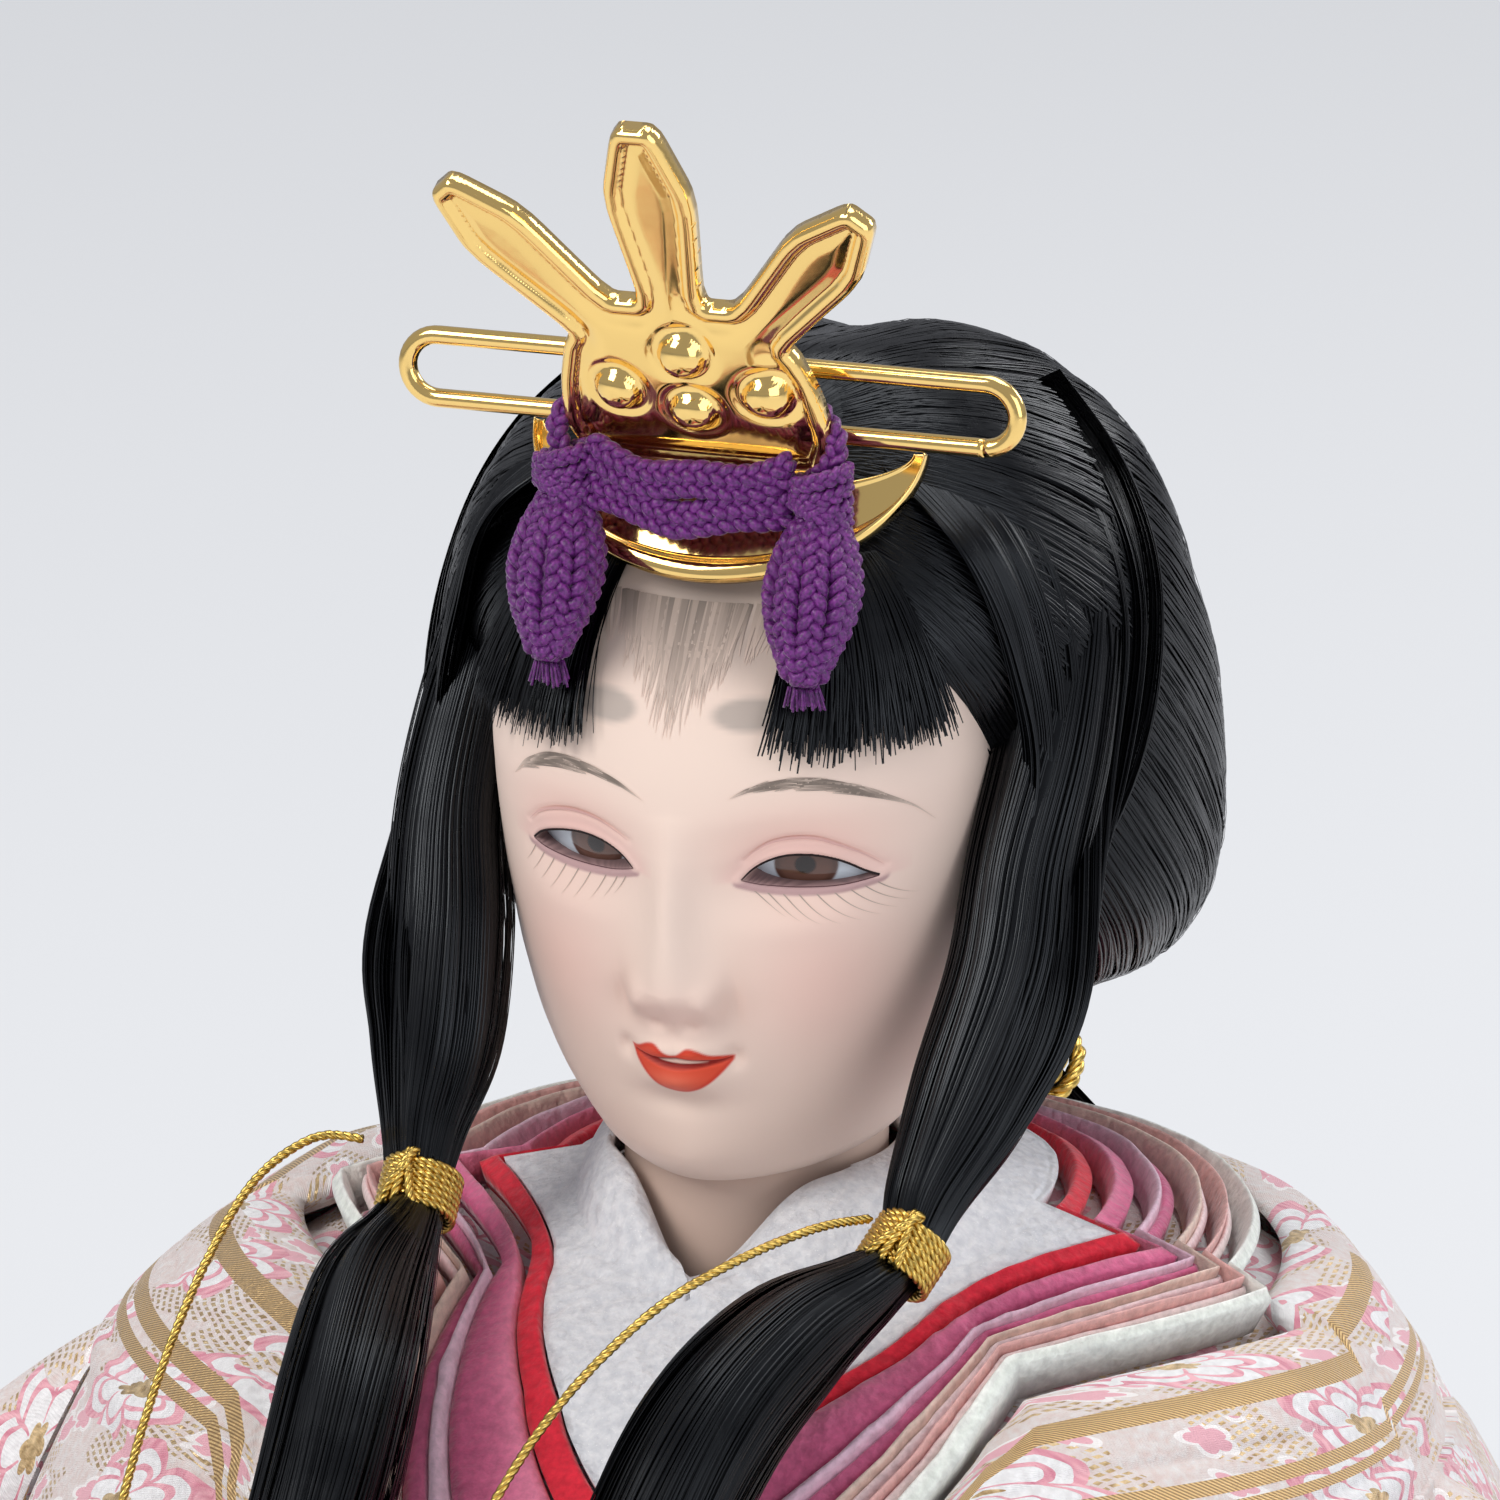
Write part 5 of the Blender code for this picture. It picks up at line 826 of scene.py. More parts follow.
for number, dyes in COLLAR_DYES.items():
    collars[number] = collar_piece(f"{name_of[number]}_silk", number, silk, dyes,
                                   number in (3, 4, 5), 20 + number,
                                   {2: "pink", 3: "rose", 4: "rose", 5: "blush", 6: "cream"}[number])


def kosode_neck():
    """The standing inner edge of the white collar, close round the neck."""
    turn = wrapped(ANG)
    along = 0.0085 * np.cos(turn) + (0.0118 - 0.0050) * np.sin(turn)
    line = 0.0118 * 0.0085 / np.maximum(along, 1e-6)
    v = np.where(turn < math.radians(60), np.maximum(0.0089, line), 0.0089)
    soft = step01(turn, math.radians(45), math.radians(66))
    reach = v * (1 - soft) + 0.0089 * soft
    dip = 0.0056 * np.exp(-(turn / math.radians(26)) ** 2)
    z = ROBE_TOP + 0.0030 - dip
    return np.stack([reach * np.sin(ANG), -reach * np.cos(ANG), z], -1)


def kosode():
    rng = np.random.default_rng(5)
    low, high = gap_edges[1], plain_edges[0]
    parts = np.linspace(0, 1, 12)[:, None]
    share = low + (high - low) * parts
    over = overlap_step(0, share)
    ripple = smooth_noise(share.shape, rng, 5, 110, True) * 0.00010
    chest = robe_point(ANG[None, :], share, SEAT + THICK + ripple + over)
    chest_in = robe_point(ANG[None, :], share, SEAT * 0.6)
    top = kosode_neck()
    outer_top = top + np.array([0, 0, 0.0010])
    out_rows = [chest]
    for t in np.linspace(0, 1, 9)[1:]:
        bulge = np.sin(t * math.pi) * 0.0007
        row = chest[-1] * (1 - t) + outer_top * t
        row = row + np.array([0, 0, 1.0]) * bulge
        out_rows.append(row[None])
    way = unit(top * np.array([1, 1, 0.0]))
    out_rows.append((outer_top - way * 0.00025 + np.array([0, 0, -0.0001]))[None])
    in_rows = []
    for t in (1.0, 0.66, 0.33):
        in_rows.append((chest_in[-1] * (1 - t) + (top - way * 0.0001) * t)[None])
    in_rows.append(chest_in[::-1])
    P = np.concatenate(out_rows + in_rows)
    return grid_mesh("kosode_collar_silk", P, silk_white, "torso", wrap_cols=True, wrap_rows=True,
                     replaces=["kosode_collar"], slot="white")


collars[0] = kosode()


# Robe, jacket, hems and train
def jacket_off(share):
    t = np.clip((0.80 - share) / (0.80 - 0.64), 0, 1)
    return 0.0012 + 0.0066 * t * t * (3 - 2 * t)


def closed_shell(outer, inner):
    """Rows of the outer face, then of the inner face back again, for a wrapped grid."""
    return np.concatenate([outer, inner[::-1]])


def set_cloth(obj, P, edging=None):
    flat = cloth_coords(P).reshape(-1, 3)
    vector(obj, "cloth", flat)
    scalar(obj, "edging", np.zeros(len(flat)) if edging is None else edging.reshape(-1))


def robe_piece():
    rng = np.random.default_rng(31)
    ang = turn_columns(560)
    share = np.linspace(0.0, 1.0, 190)[:, None] * np.ones((1, len(ang)))
    fold = smooth_noise(share.shape, rng, 5, 44, True) * 0.0007 * step01(0.55 - share, -0.1, 0.4)
    outer = robe_point(ang[None, :], share, -0.00005 - np.abs(fold))
    inner = robe_point(ang[None, :], share[::6], -0.0016)
    P = closed_shell(outer, inner)
    obj = grid_mesh("robe_body_silk", P, brocade, "torso", wrap_cols=True, wrap_rows=True,
                    replaces=["robe_body"], slot="brocade")
    set_cloth(obj, P)
    return obj


def jacket_piece():
    """Short jacket with turned-back lapels edged by twisted gold lines."""
    rng = np.random.default_rng(32)
    half = math.radians(10.0)
    t = np.linspace(0, 1, 620)
    ang = half + (2 * math.pi - 2 * half) * (t - 0.30 * np.sin(2 * math.pi * t) / (2 * math.pi))
    top = collar_edges(ang)[7] - 0.004
    part = np.concatenate([np.linspace(0, 0.8, 90), np.linspace(0.8, 1.0, 70)[1:]])[:, None]
    share = 0.56 + (top - 0.56) * part
    ahead = step01(np.cos(ang), -0.55, -0.25)[None, :]
    lapel = step01(part, 0.835, 0.865) * ahead
    roll = np.sqrt(np.clip(1 - np.clip((part - 0.955) / 0.045, 0, 1) ** 2, 0.0, 1.0))
    ends = np.minimum(t, 1 - t)[None, :]
    side = np.sqrt(np.clip(1 - np.clip((0.006 - ends) / 0.006, 0, 1) ** 2, 0.05, 1))
    wide = smooth_noise(share.shape, rng, 4, 30) * 0.00035
    fine = smooth_noise(share.shape, rng, 20, 110) * 0.00010
    stand = 0.0016 + lapel * 0.0010 + (wide + fine) * (0.4 + 0.6 * (1 - lapel))
    # pressed fold lines along the lapel
    for place, depth in ((0.872, 0.00030), (0.93, 0.00022)):
        stand = stand - depth * np.exp(-((part - place) / 0.006) ** 2) * ahead
    off = jacket_off(share) + np.maximum(stand * (0.25 + 0.75 * roll) * side, 0.0002)
    outer = robe_point(ang[None, :], share, off)
    inner = robe_point(ang[None, :], share[::5], jacket_off(share[::5]))
    P = np.concatenate([outer, inner[::-1]])
    edging = ((np.abs(part - 0.885) < 0.0065) | (np.abs(part - 0.905) < 0.0065)
              | (np.abs(part - 0.965) < 0.007)) * ahead * (0.7)
    edging = np.where((np.abs(part - 0.895) < 0.0025), 0.0, edging)
    edging = np.concatenate([edging * np.ones_like(share), np.zeros((len(inner), len(ang)))])
    rows, cols = P.shape[:2]
    quads = [grid_faces(rows, cols, wrap_rows=True)]
    n_out, n_in = len(outer), len(inner)
    caps = []
    for c, turn in ((0, False), (cols - 1, True)):
        line_out = np.arange(n_out)[::5][:n_in]
        line_in = (n_out + n_in - 1) - np.arange(n_in)
        for k in range(min(len(line_out), n_in) - 1):
            a, b = line_out[k] * cols + c, line_out[k + 1] * cols + c
            d, e = line_in[k] * cols + c, line_in[k + 1] * cols + c
            caps.append((a, b, e, d) if turn else (d, e, b, a))
    quads.append(np.array(caps))
    obj = make_mesh("jacket_silk", P.reshape(-1, 3), np.concatenate(quads), brocade, "torso",
                    replaces=["jacket"], slot="brocade")
    set_cloth(obj, P, edging)
    return obj


def hem_place(ang, down, number, off):
    share = 0.60 * (1 - down)
    base = robe_point(ang, share, np.zeros_like(share * ang))
    way = base.copy()
    way[..., 2] = 0
    way = unit(way)
    pitch = 0.0014 + (0.0026 - 0.0014) * down
    flare = 0.0240 * down ** 4
    foot = 0.0012 + 0.0028 * number
    z = base[..., 2] - (0.0060 - foot) * down ** 2
    base = base.copy()
    base[..., 2] = z
    return base + way * (0.0010 + pitch * number + flare + off)[..., None]


def hem_piece(name, number, mat, slot, seed):
    rng = np.random.default_rng(seed)
    ang = turn_columns(520, 0.2)
    part = np.concatenate([np.linspace(0, 0.9, 60), np.linspace(0.9, 1.0, 22)[1:]])[:, None]
    part = part * np.ones((1, len(ang)))
    wave = smooth_noise(part.shape, rng, 3, 34, True) * 0.00028 * step01(part, 0.1, 0.5)
    roll = np.sqrt(np.clip(1 - np.clip((part - 0.985) / 0.015, 0, 1) ** 2, 0, 1))
    outer = hem_place(ang[None, :], part, number, 0.0010 * roll + wave * (part < 0.985))
    inner = hem_place(ang[None, :], part[::5], number, 0.0 * part[::5])
    P = closed_shell(outer, inner)
    obj = grid_mesh(name + "_silk", P, mat, "torso", wrap_cols=True, wrap_rows=True, flip=True,
                    replaces=[name], slot=slot)
    set_cloth(obj, P)
    return obj


silk_red = cloth_mat("silk_scarlet", (0.80, 0.03, 0.05), (0.50, 0.01, 0.03), 0.8, rough=0.5)
silk_rose = cloth_mat("silk_rose", (0.84, 0.42, 0.50), (0.66, 0.26, 0.36), 1.0)
silk_blush = cloth_mat("silk_blush", (0.92, 0.72, 0.72), (0.80, 0.56, 0.58), 1.0)
silk_plain = cloth_mat("silk_white", (0.92, 0.92, 0.90), (0.76, 0.76, 0.76), 1.0)

robe = robe_piece()
jacket = jacket_piece()
hems = [hem_piece("hakama", 0, silk_red, "red", 41), hem_piece("hem_2", 1, silk_rose, "rose", 42),
        hem_piece("hem_3", 2, silk_blush, "blush", 43),
        hem_piece("hem_outer", 3, brocade, "brocade", 44)]


def train_piece():
    """White train in sharp pleats over the hems behind, then out along the floor."""
    cols, rows = 18 * 16 + 1, 150
    c = np.linspace(0, 1, cols)[None, :] * np.ones((rows, 1))
    r = np.linspace(0, 6, rows)[:, None] * np.ones((1, cols))
    down = 0.10 + 0.90 * np.minimum(r / 4, 1)
    out = np.clip(r - 4, 0, 2) / 2
    part = r / 6
    half = np.radians(30.0 + 10.0 * part)
    ang = math.pi + half * (2 * c - 1)
    phase = (c * 9) % 1.0
    pleat = 0.0010 * (1 - np.abs(2 * phase - 1)) ** 0.8
    sharp = 0.00012 * np.sin(r * 9 + c * 40)

    def place(side):
        P = hem_place(ang, down, 3, 0.0026 + pleat + side * 0.0009 + sharp * side)
        way = unit(P * np.array([1, 1, 0]))
        P = P + way * (0.048 * out)[..., None]
        t = step01(r, 4.0, 4.9)
        P[..., 2] = P[..., 2] * (1 - t) + (0.0008 + pleat + side * 0.0009) * t
        return P

    P_in, P_out = place(0.0), place(1.0)
    obj = sheet_mesh("train_silk", P_in, P_out, silk_plain, "torso", replaces=["train"],
                     slot="white", flip=True)
    return obj


train = train_piece()


# Sleeves: the outer cup of brocade, and the linings that show past its mouth
TOPS = [(0.20, 0.02, 0.955), (0.33, 0.00, 0.915), (0.43, -0.10, 0.82), (0.44, -0.30, 0.74),
        (0.32, -0.48, 0.67), (0.17, -0.59, 0.63)]
LOWS = [(0.24, 0.08, 0.66), (0.42, 0.10, 0.50), (0.66, 0.04, 0.26), (0.84, -0.12, 0.11),
        (0.95, -0.30, 0.055), (0.98, -0.42, 0.05)]
SLEEVE_SPAN, SLEEVE_HIGH, SLEEVE_THICK = 0.130, 0.145, 0.0150
SLEEVE_SIDE_POWER, SLEEVE_TOP_POWER = 0.75, 0.85
THICKS = [(1.3,), (1.35,), (1.3,), (1.15,), (1.05,), (1.0,)]


def sleeve_grid(places, insets, reaches, sides=180, sign=1):
    """Rings of a sleeve at places from the armhole, 0, to the mouth, 1 (arrays alike)."""
    places = np.asarray(places, float)
    insets = np.broadcast_to(np.asarray(insets, float), places.shape)
    reaches = np.broadcast_to(np.asarray(reaches, float), places.shape)
    last = 5

    def edge(table, at):
        return table_at([(k / last, *row) for k, row in enumerate(table)], at)

    def where(table, at):
        v = edge(table, at)
        return np.stack([-v[:, 0] * SLEEVE_SPAN, v[:, 1] * SLEEVE_SPAN, v[:, 2] * SLEEVE_HIGH], -1)

    inside = np.minimum(places, 1.0)
    top, low = where(TOPS, inside), where(LOWS, inside)
    middle = (top + low) / 2
    back = np.clip(inside - 0.02, 0, 0.96)
    ahead = back + 0.04
    along = unit((where(TOPS, ahead) + where(LOWS, ahead)) - (where(TOPS, back) + where(LOWS, back)))
    down = unit(low - top)
    across = unit(np.cross(down, along))
    thick = edge(THICKS, inside)[:, 0]
    half_t = thick * SLEEVE_THICK / 2 - insets
    half_l = np.linalg.norm(low - top, axis=1) / 2 - insets
    a = np.arange(sides) / sides * 2 * math.pi
    x = np.sign(np.cos(a)) * np.abs(np.cos(a)) ** SLEEVE_SIDE_POWER
    y = np.sign(np.sin(a)) * np.abs(np.sin(a)) ** SLEEVE_TOP_POWER
    P = (middle[:, None, :] + down[:, None, :] * (half_l[:, None] * x[None])[..., None]
         + across[:, None, :] * (half_t[:, None] * y[None])[..., None]
         + along[:, None, :] * reaches[:, None, None])
    P[..., 0] *= -sign
    return P, a


def outward(P):
    """Unit normals of a ringed grid, pointing away from the rings' middles."""
    du = np.roll(P, -1, 1) - np.roll(P, 1, 1)
    dv = np.gradient(P, axis=0)
    n = unit(np.cross(du, dv))
    away = P - P.mean(1, keepdims=True)
    flip = np.sign((n * away).sum(-1, keepdims=True))
    flip[flip == 0] = 1
    return n * flip


def sleeve_outer(side, sign, mat):
    rng = np.random.default_rng(51 if sign > 0 else 52)
    places = np.linspace(0, 1, 210)
    P, a = sleeve_grid(places, 0.0, 0.0, 260, sign)
    n = outward(P)
    s = places[:, None]
    # folds that run from the shoulder down, and pulls across them, fading at the rims
    radial = (np.sin(a * 9 + 2.2 * s + 0.4) * 0.5 + np.sin(a * 15 - 3 * s + 1.7) * 0.3)
    fold = radial * 0.0006 * np.exp(-(s / 0.35) ** 2)
    fold = fold + smooth_noise((len(places), len(a)), rng, 9, 15, True) * 0.00055
    fold = fold + smooth_noise((len(places), len(a)), rng, 30, 50, True) * 0.00010
    fade = step01(s, 0.0, 0.06) * (1 - step01(s, 0.955, 0.985))
    P = P + n * (np.minimum(fold, 0.0003) * fade)[..., None]
    # the mouth rolls over its edge, then runs back in as the cup's inner wall
    rim = []
    for k in range(1, 7):
        b = math.pi * k / 6
        inset = 0.0005 * (1 - math.cos(b))
        reach = 0.0005 * math.sin(b)
        ring, _ = sleeve_grid([1.0], inset, reach, 260, sign)
        rim.append(ring)
    inner_places = np.linspace(1.0, 0.03, 90)[1:]
    inner, _ = sleeve_grid(inner_places, 0.0010, 0.0, 260, sign)
    base = inner[-1:].mean(1, keepdims=True) + (inner[-1:] - inner[-1:].mean(1, keepdims=True)) * 0.02
    start = P[:1].mean(1, keepdims=True) + (P[:1] - P[:1].mean(1, keepdims=True)) * 0.02
    full = np.concatenate([start, P, *rim, inner, base])
    trim = trim_inside_trunk(full, 0.0)
    obj = grid_mesh(f"sleeve_outer_{side}_silk", trim, mat, "torso", wrap_cols=True,
                    flip=sign > 0, replaces=[f"sleeve_outer_{side}"], slot="brocade")
    set_cloth(obj, full)
    return obj


def trim_inside_trunk(P, more):
    """Lays what would pass into the jacket or hems just on their outer face."""
    flat = P.reshape(-1, 3)
    out = flat.copy()
    for _ in range(2):
        radius = np.hypot(out[:, 0] - 0.0, out[:, 1])
        angle = np.arctan2(out[:, 0], -out[:, 1])
        share = np.clip((out[:, 2] - ROBE_BOTTOM) / (ROBE_TOP - ROBE_BOTTOM), 0, 0.97)
        upper = robe_point(angle, share, jacket_off(share) + 0.0029)
        lower_down = np.clip(1 - share / 0.60, 0, 1)
        lower = hem_place(angle, lower_down, 3, np.full(len(angle), 0.0013))
        limit = np.where(share > 0.56, np.hypot(upper[:, 0], upper[:, 1]),
                         np.hypot(lower[:, 0], lower[:, 1]))
        push = np.maximum(limit + more - radius, 0)
        push = np.where(share > 0.90, 0, push)
        out[:, 0] += np.sin(angle) * push
        out[:, 1] -= np.cos(angle) * push
    return out.reshape(P.shape)


def sleeve_layer(side, sign, number, name, mat, slot):
    """A lining: a cup within the one outside it, showing past its mouth."""
    pitch = 0.0019
    last = number == 3
    inset = pitch * number + (0.00045 if last else 0.0)
    start = inset + (0.0009 if last else 0.0)
    reach = 0.0026 * number
    rng = np.random.default_rng(60 + number + (5 if sign > 0 else 0))
    places = np.linspace(0.6, 1.0, 50)
    more = np.linspace(start, inset, 12)
    insets = np.concatenate([more, np.full(38, inset)])
    reaches = np.concatenate([np.linspace(inset, 0, 12), np.zeros(38)])
    P, a = sleeve_grid(places, insets, reaches, 240, sign)
    past, _ = sleeve_grid(np.ones(10), inset, np.linspace(0, reach, 11)[1:], 240, sign)
    P = np.concatenate([P, past])
    ripple = smooth_noise(P.shape[:2], rng, 4, 34, True) * 0.00010
    fade = step01(np.arange(len(P)) / len(P), 0.5, 0.8)[:, None]
    P = P + outward(P) * (np.minimum(ripple, 0.0001) * fade)[..., None]
    rim = []
    for k in range(1, 7):
        b = math.pi * k / 6
        ring, _ = sleeve_grid([1.0], inset + 0.0005 * (1 - math.cos(b)),
                              reach + 0.0005 * math.sin(b), 240, sign)
        rim.append(ring)
    back, _ = sleeve_grid(np.ones(8), inset + 0.0010, np.linspace(reach, 0, 8), 240, sign)
    deep, _ = sleeve_grid(np.linspace(1.0, 0.62, 24)[1:], inset + 0.0010, 0.0, 240, sign)
    parts = [P, *rim, back, deep]
    tail = deep[-1:]
    middle = tail.mean(1, keepdims=True)
    parts.append(middle + (tail - middle) * 0.02)
    first = P[:1].mean(1, keepdims=True)
    parts.insert(0, first + (P[:1] - first) * 0.02)
    full = np.concatenate(parts)
    obj = grid_mesh(f"{name}_{side}_silk", full, mat, "torso", wrap_cols=True, flip=sign > 0,
                    replaces=[f"{name}_{side}"], slot=slot)
    return obj


for side, sign in (("left", 1), ("right", -1)):
    sleeve_outer(side, sign, brocade)
    for number, (name, mat, slot) in enumerate((("sleeve_lining_2", silk_blush, "blush"),
                                                ("sleeve_lining_3", silk_rose, "rose"),
                                                ("sleeve_inner", silk_plain, "white")), 1):
        sleeve_layer(side, sign, number, name, mat, slot)


# Head: an upright frame, tilted forward about its pivot
TILT = math.radians(10.0)
HEAD_ROWS = np.array([
    (0.032, 0.53, 0.64, 0.50), (0.053, 0.60, 0.84, 0.58), (0.079, 0.66, 0.925, 0.64),
    (0.116, 0.72, 0.975, 0.72), (0.163, 0.80, 0.995, 0.80), (0.212, 0.86, 1.0, 0.87),
    (0.249, 0.895, 1.0, 0.90), (0.286, 0.92, 1.0, 0.93), (0.328, 0.945, 1.0, 0.96),
    (0.381, 0.965, 1.0, 0.98), (0.435, 0.982, 1.0, 1.0), (0.481, 0.992, 0.998, 1.01),
    (0.529, 1.0, 0.995, 1.02), (0.577, 1.004, 0.985, 1.02), (0.646, 1.0, 0.95, 1.02),
    (0.733, 0.95, 0.83, 1.0), (0.826, 0.84, 0.61, 0.92), (0.907, 0.66, 0.36, 0.78),
    (0.972, 0.38, 0.10, 0.50), (1.0, 0.12, 0.02, 0.14)])


def tilted(P):
    """Carries places of the upright head, in metres, into the doll."""
    P = np.asarray(P, float)
    y, z = P[..., 1], P[..., 2] - 0.020
    return np.stack([P[..., 0], y * math.cos(TILT) - z * math.sin(TILT),
                     y * math.sin(TILT) + z * math.cos(TILT) + 0.020 + CHIN], -1)


def face_lift(x, z):
    """Relief of the face in mm, from places in mm of the upright head."""
    ax = np.abs(x)
    above = np.clip(1 - (z - 16.7) / 10.5, 0, 1) ** 0.85
    below = np.exp(-((z - 16.7) / 2.3) ** 2)
    ridge = np.where(z > 16.7, above, below)
    wide = 1.35 + 1.15 * np.exp(-((z - 16.2) / 2.8) ** 2)
    out = 2.15 * ridge * hump(x, wide)
    out += 0.62 * hump(ax - 2.25, 0.85) * hump(z - 15.7, 1.25)
    out -= 0.30 * hump(ax - 3.35, 0.55) * hump(z - 15.6, 1.5)
    out -= 0.28 * hump(ax - 1.0, 0.5) * hump(z - 14.1, 0.45)
    out -= 0.16 * hump(x, 0.55) * hump(z - 13.4, 0.8)
    # lips
    out += 0.95 * hump(x, 3.4) * hump(z - 11.6, 2.6)
    out += 0.34 * hump(ax - 0.9, 1.15) * hump(z - 12.45, 0.50)
    out += 0.42 * hump(x, 1.9) * hump(z - 10.35, 0.75)
    out -= 0.40 * hump(ax - 3.35, 0.55) * hump(z - 11.9, 0.7)
    out -= 0.42 * hump(x, 2.4) * hump(z - 8.6, 0.9)
    out += 0.75 * hump(x, 3.2) * hump(z - 4.4, 2.8)
    # sockets, brow and lids
    out -= 1.45 * hump(ax - 6.2, 4.0) * hump(z - 23.2, 3.0)
    out += 0.42 * hump(ax - 6.8, 3.0) * hump(z - 24.6, 1.15)
    out += 0.30 * hump(ax - 6.8, 3.0) * hump(z - 20.3, 1.3)
    out += 0.35 * hump(ax - 8.0, 3.2) * hump(z - 14.8, 5.0)
    return out


def face_y(x, z):
    """How far forward the face is (y, in mm) at a place of its front."""
    rows = table_at(HEAD_ROWS, np.asarray(z, float) / 43.0)
    wide, front = rows[..., 0] * 15.4, rows[..., 1] * 14.8
    y = -front * np.sqrt(np.clip(1 - (x / wide) ** 2, 0, 1))
    return y - face_lift(x, z) * np.minimum(1.0, -y / (14.8 * 0.3))


def on_face(x, z, off=0.02):
    """Places on the face, in metres, standing off it by some mm."""
    x, z = np.broadcast_arrays(np.asarray(x, float), np.asarray(z, float))
    y = face_y(x, z)
    e = 0.05
    slope_x = (face_y(x + e, z) - face_y(x - e, z)) / (2 * e)
    slope_z = (face_y(x, z + e) - face_y(x, z - e)) / (2 * e)
    n = unit(np.stack([slope_x, -np.ones_like(x), slope_z], -1))
    P = np.stack([x, y, z], -1) + n * off
    return tilted(P * MM)


def tone(r, g, b):
    """A colour given as it looks on a screen, 0 to 255, as linear shares."""
    c = np.array([r, g, b]) / 255.0
    return np.where(c <= 0.04045, c / 12.92, ((c + 0.055) / 1.055) ** 2.4)


# Outlines on the face, in mm of the upright head: across and up
EYES = {
    "left": {
        "upper": [(3.95, 22.98), (4.56, 23.62), (5.37, 24.16), (6.24, 24.50), (7.05, 24.58),
                  (8.10, 24.44), (9.11, 24.02), (9.84, 23.55), (10.50, 23.02), (11.25, 22.50)],
        "lower": [(3.95, 22.98), (4.90, 22.62), (5.96, 22.40), (7.04, 22.28), (8.42, 22.24),
                  (9.50, 22.28), (10.54, 22.40), (11.25, 22.50)],
        "iris": (7.25, 23.42), "lid": [(4.20, 24.35), (4.95, 25.02), (5.75, 25.48), (6.85, 25.70),
                                       (8.18, 25.56), (9.43, 24.92), (10.60, 24.05),
                                       (11.50, 23.10)],
    },
    "right": {
        "upper": [(-2.45, 23.40), (-3.07, 23.96), (-3.74, 24.36), (-4.71, 24.68), (-6.02, 24.76),
                  (-7.31, 24.52), (-8.54, 24.04), (-9.35, 23.56), (-9.92, 22.98)],
        "lower": [(-2.45, 23.40), (-3.32, 23.05), (-4.31, 22.74), (-5.72, 22.50),
                  (-6.99, 22.44), (-8.08, 22.52), (-9.17, 22.70), (-9.92, 22.98)],
        "iris": (-5.52, 23.66), "lid": [(-2.70, 25.20), (-4.00, 25.80), (-5.20, 26.10),
                                        (-6.50, 26.10), (-7.94, 25.74), (-9.20, 25.10),
                                        (-10.1, 24.20)],
    },
}
BROWS = {
    "left": ([(3.55, 28.30), (4.48, 28.86), (5.29, 29.18), (6.36, 29.38), (7.42, 29.36),
              (8.99, 29.06), (10.48, 28.40), (11.89, 27.40), (12.97, 26.30), (13.75, 24.90)],
             [(3.55, 28.30), (4.49, 28.56), (5.30, 28.62), (6.41, 28.64), (7.42, 28.56),
              (8.99, 28.22), (10.48, 27.72), (11.89, 27.02), (12.97, 26.16), (13.75, 24.90)]),
    "right": ([(-1.50, 27.85), (-3.11, 28.66), (-4.51, 29.10), (-6.00, 29.34), (-7.40, 29.28),
               (-8.62, 28.96), (-9.60, 28.42), (-10.40, 27.75), (-11.15, 26.70)],
              [(-1.50, 27.85), (-3.11, 28.42), (-4.51, 28.60), (-6.00, 28.58), (-7.40, 28.36),
               (-8.62, 28.00), (-9.60, 27.58), (-10.40, 27.15), (-11.15, 26.70)]),
}
SMUDGES = [(-4.57, 32.44, 2.05, 0.86), (4.30, 32.62, 2.30, 0.84)]
LIP_UPPER = [(-3.02, 12.24), (-2.50, 12.34), (-1.80, 12.72), (-1.20, 12.78), (-0.45, 12.34),
             (0.10, 12.32), (0.75, 12.76), (1.35, 12.66), (2.00, 12.30), (2.65, 12.16),
             (3.30, 11.98)]
LIP_LOWER = [(-3.02, 12.20), (-2.62, 11.40), (-2.02, 10.62), (-1.10, 9.98), (0.20, 9.62),
             (1.15, 9.86), (2.00, 10.38), (2.75, 11.10), (3.30, 11.74)]
GAP_UPPER = [(-2.70, 11.98), (-1.60, 11.86), (-0.60, 12.00), (0.20, 12.06), (1.10, 11.96),
             (2.10, 11.88), (3.12, 11.84)]
GAP_LOWER = [(-2.70, 11.94), (-1.80, 11.56), (-0.80, 11.36), (0.30, 11.32), (1.40, 11.42),
             (2.40, 11.64), (3.12, 11.80)]
TEETH_UPPER = [(-1.10, 11.74), (-0.30, 11.92), (0.40, 11.96), (1.20, 11.84), (1.90, 11.74)]
TEETH_LOWER = [(-1.10, 11.70), (-0.30, 11.62), (0.40, 11.60), (1.20, 11.64), (1.90, 11.70)]


def ring_of(upper, lower, steps=10):
    return np.concatenate([smooth_line(upper, steps), smooth_line(lower, steps)[::-1][1:-1]])


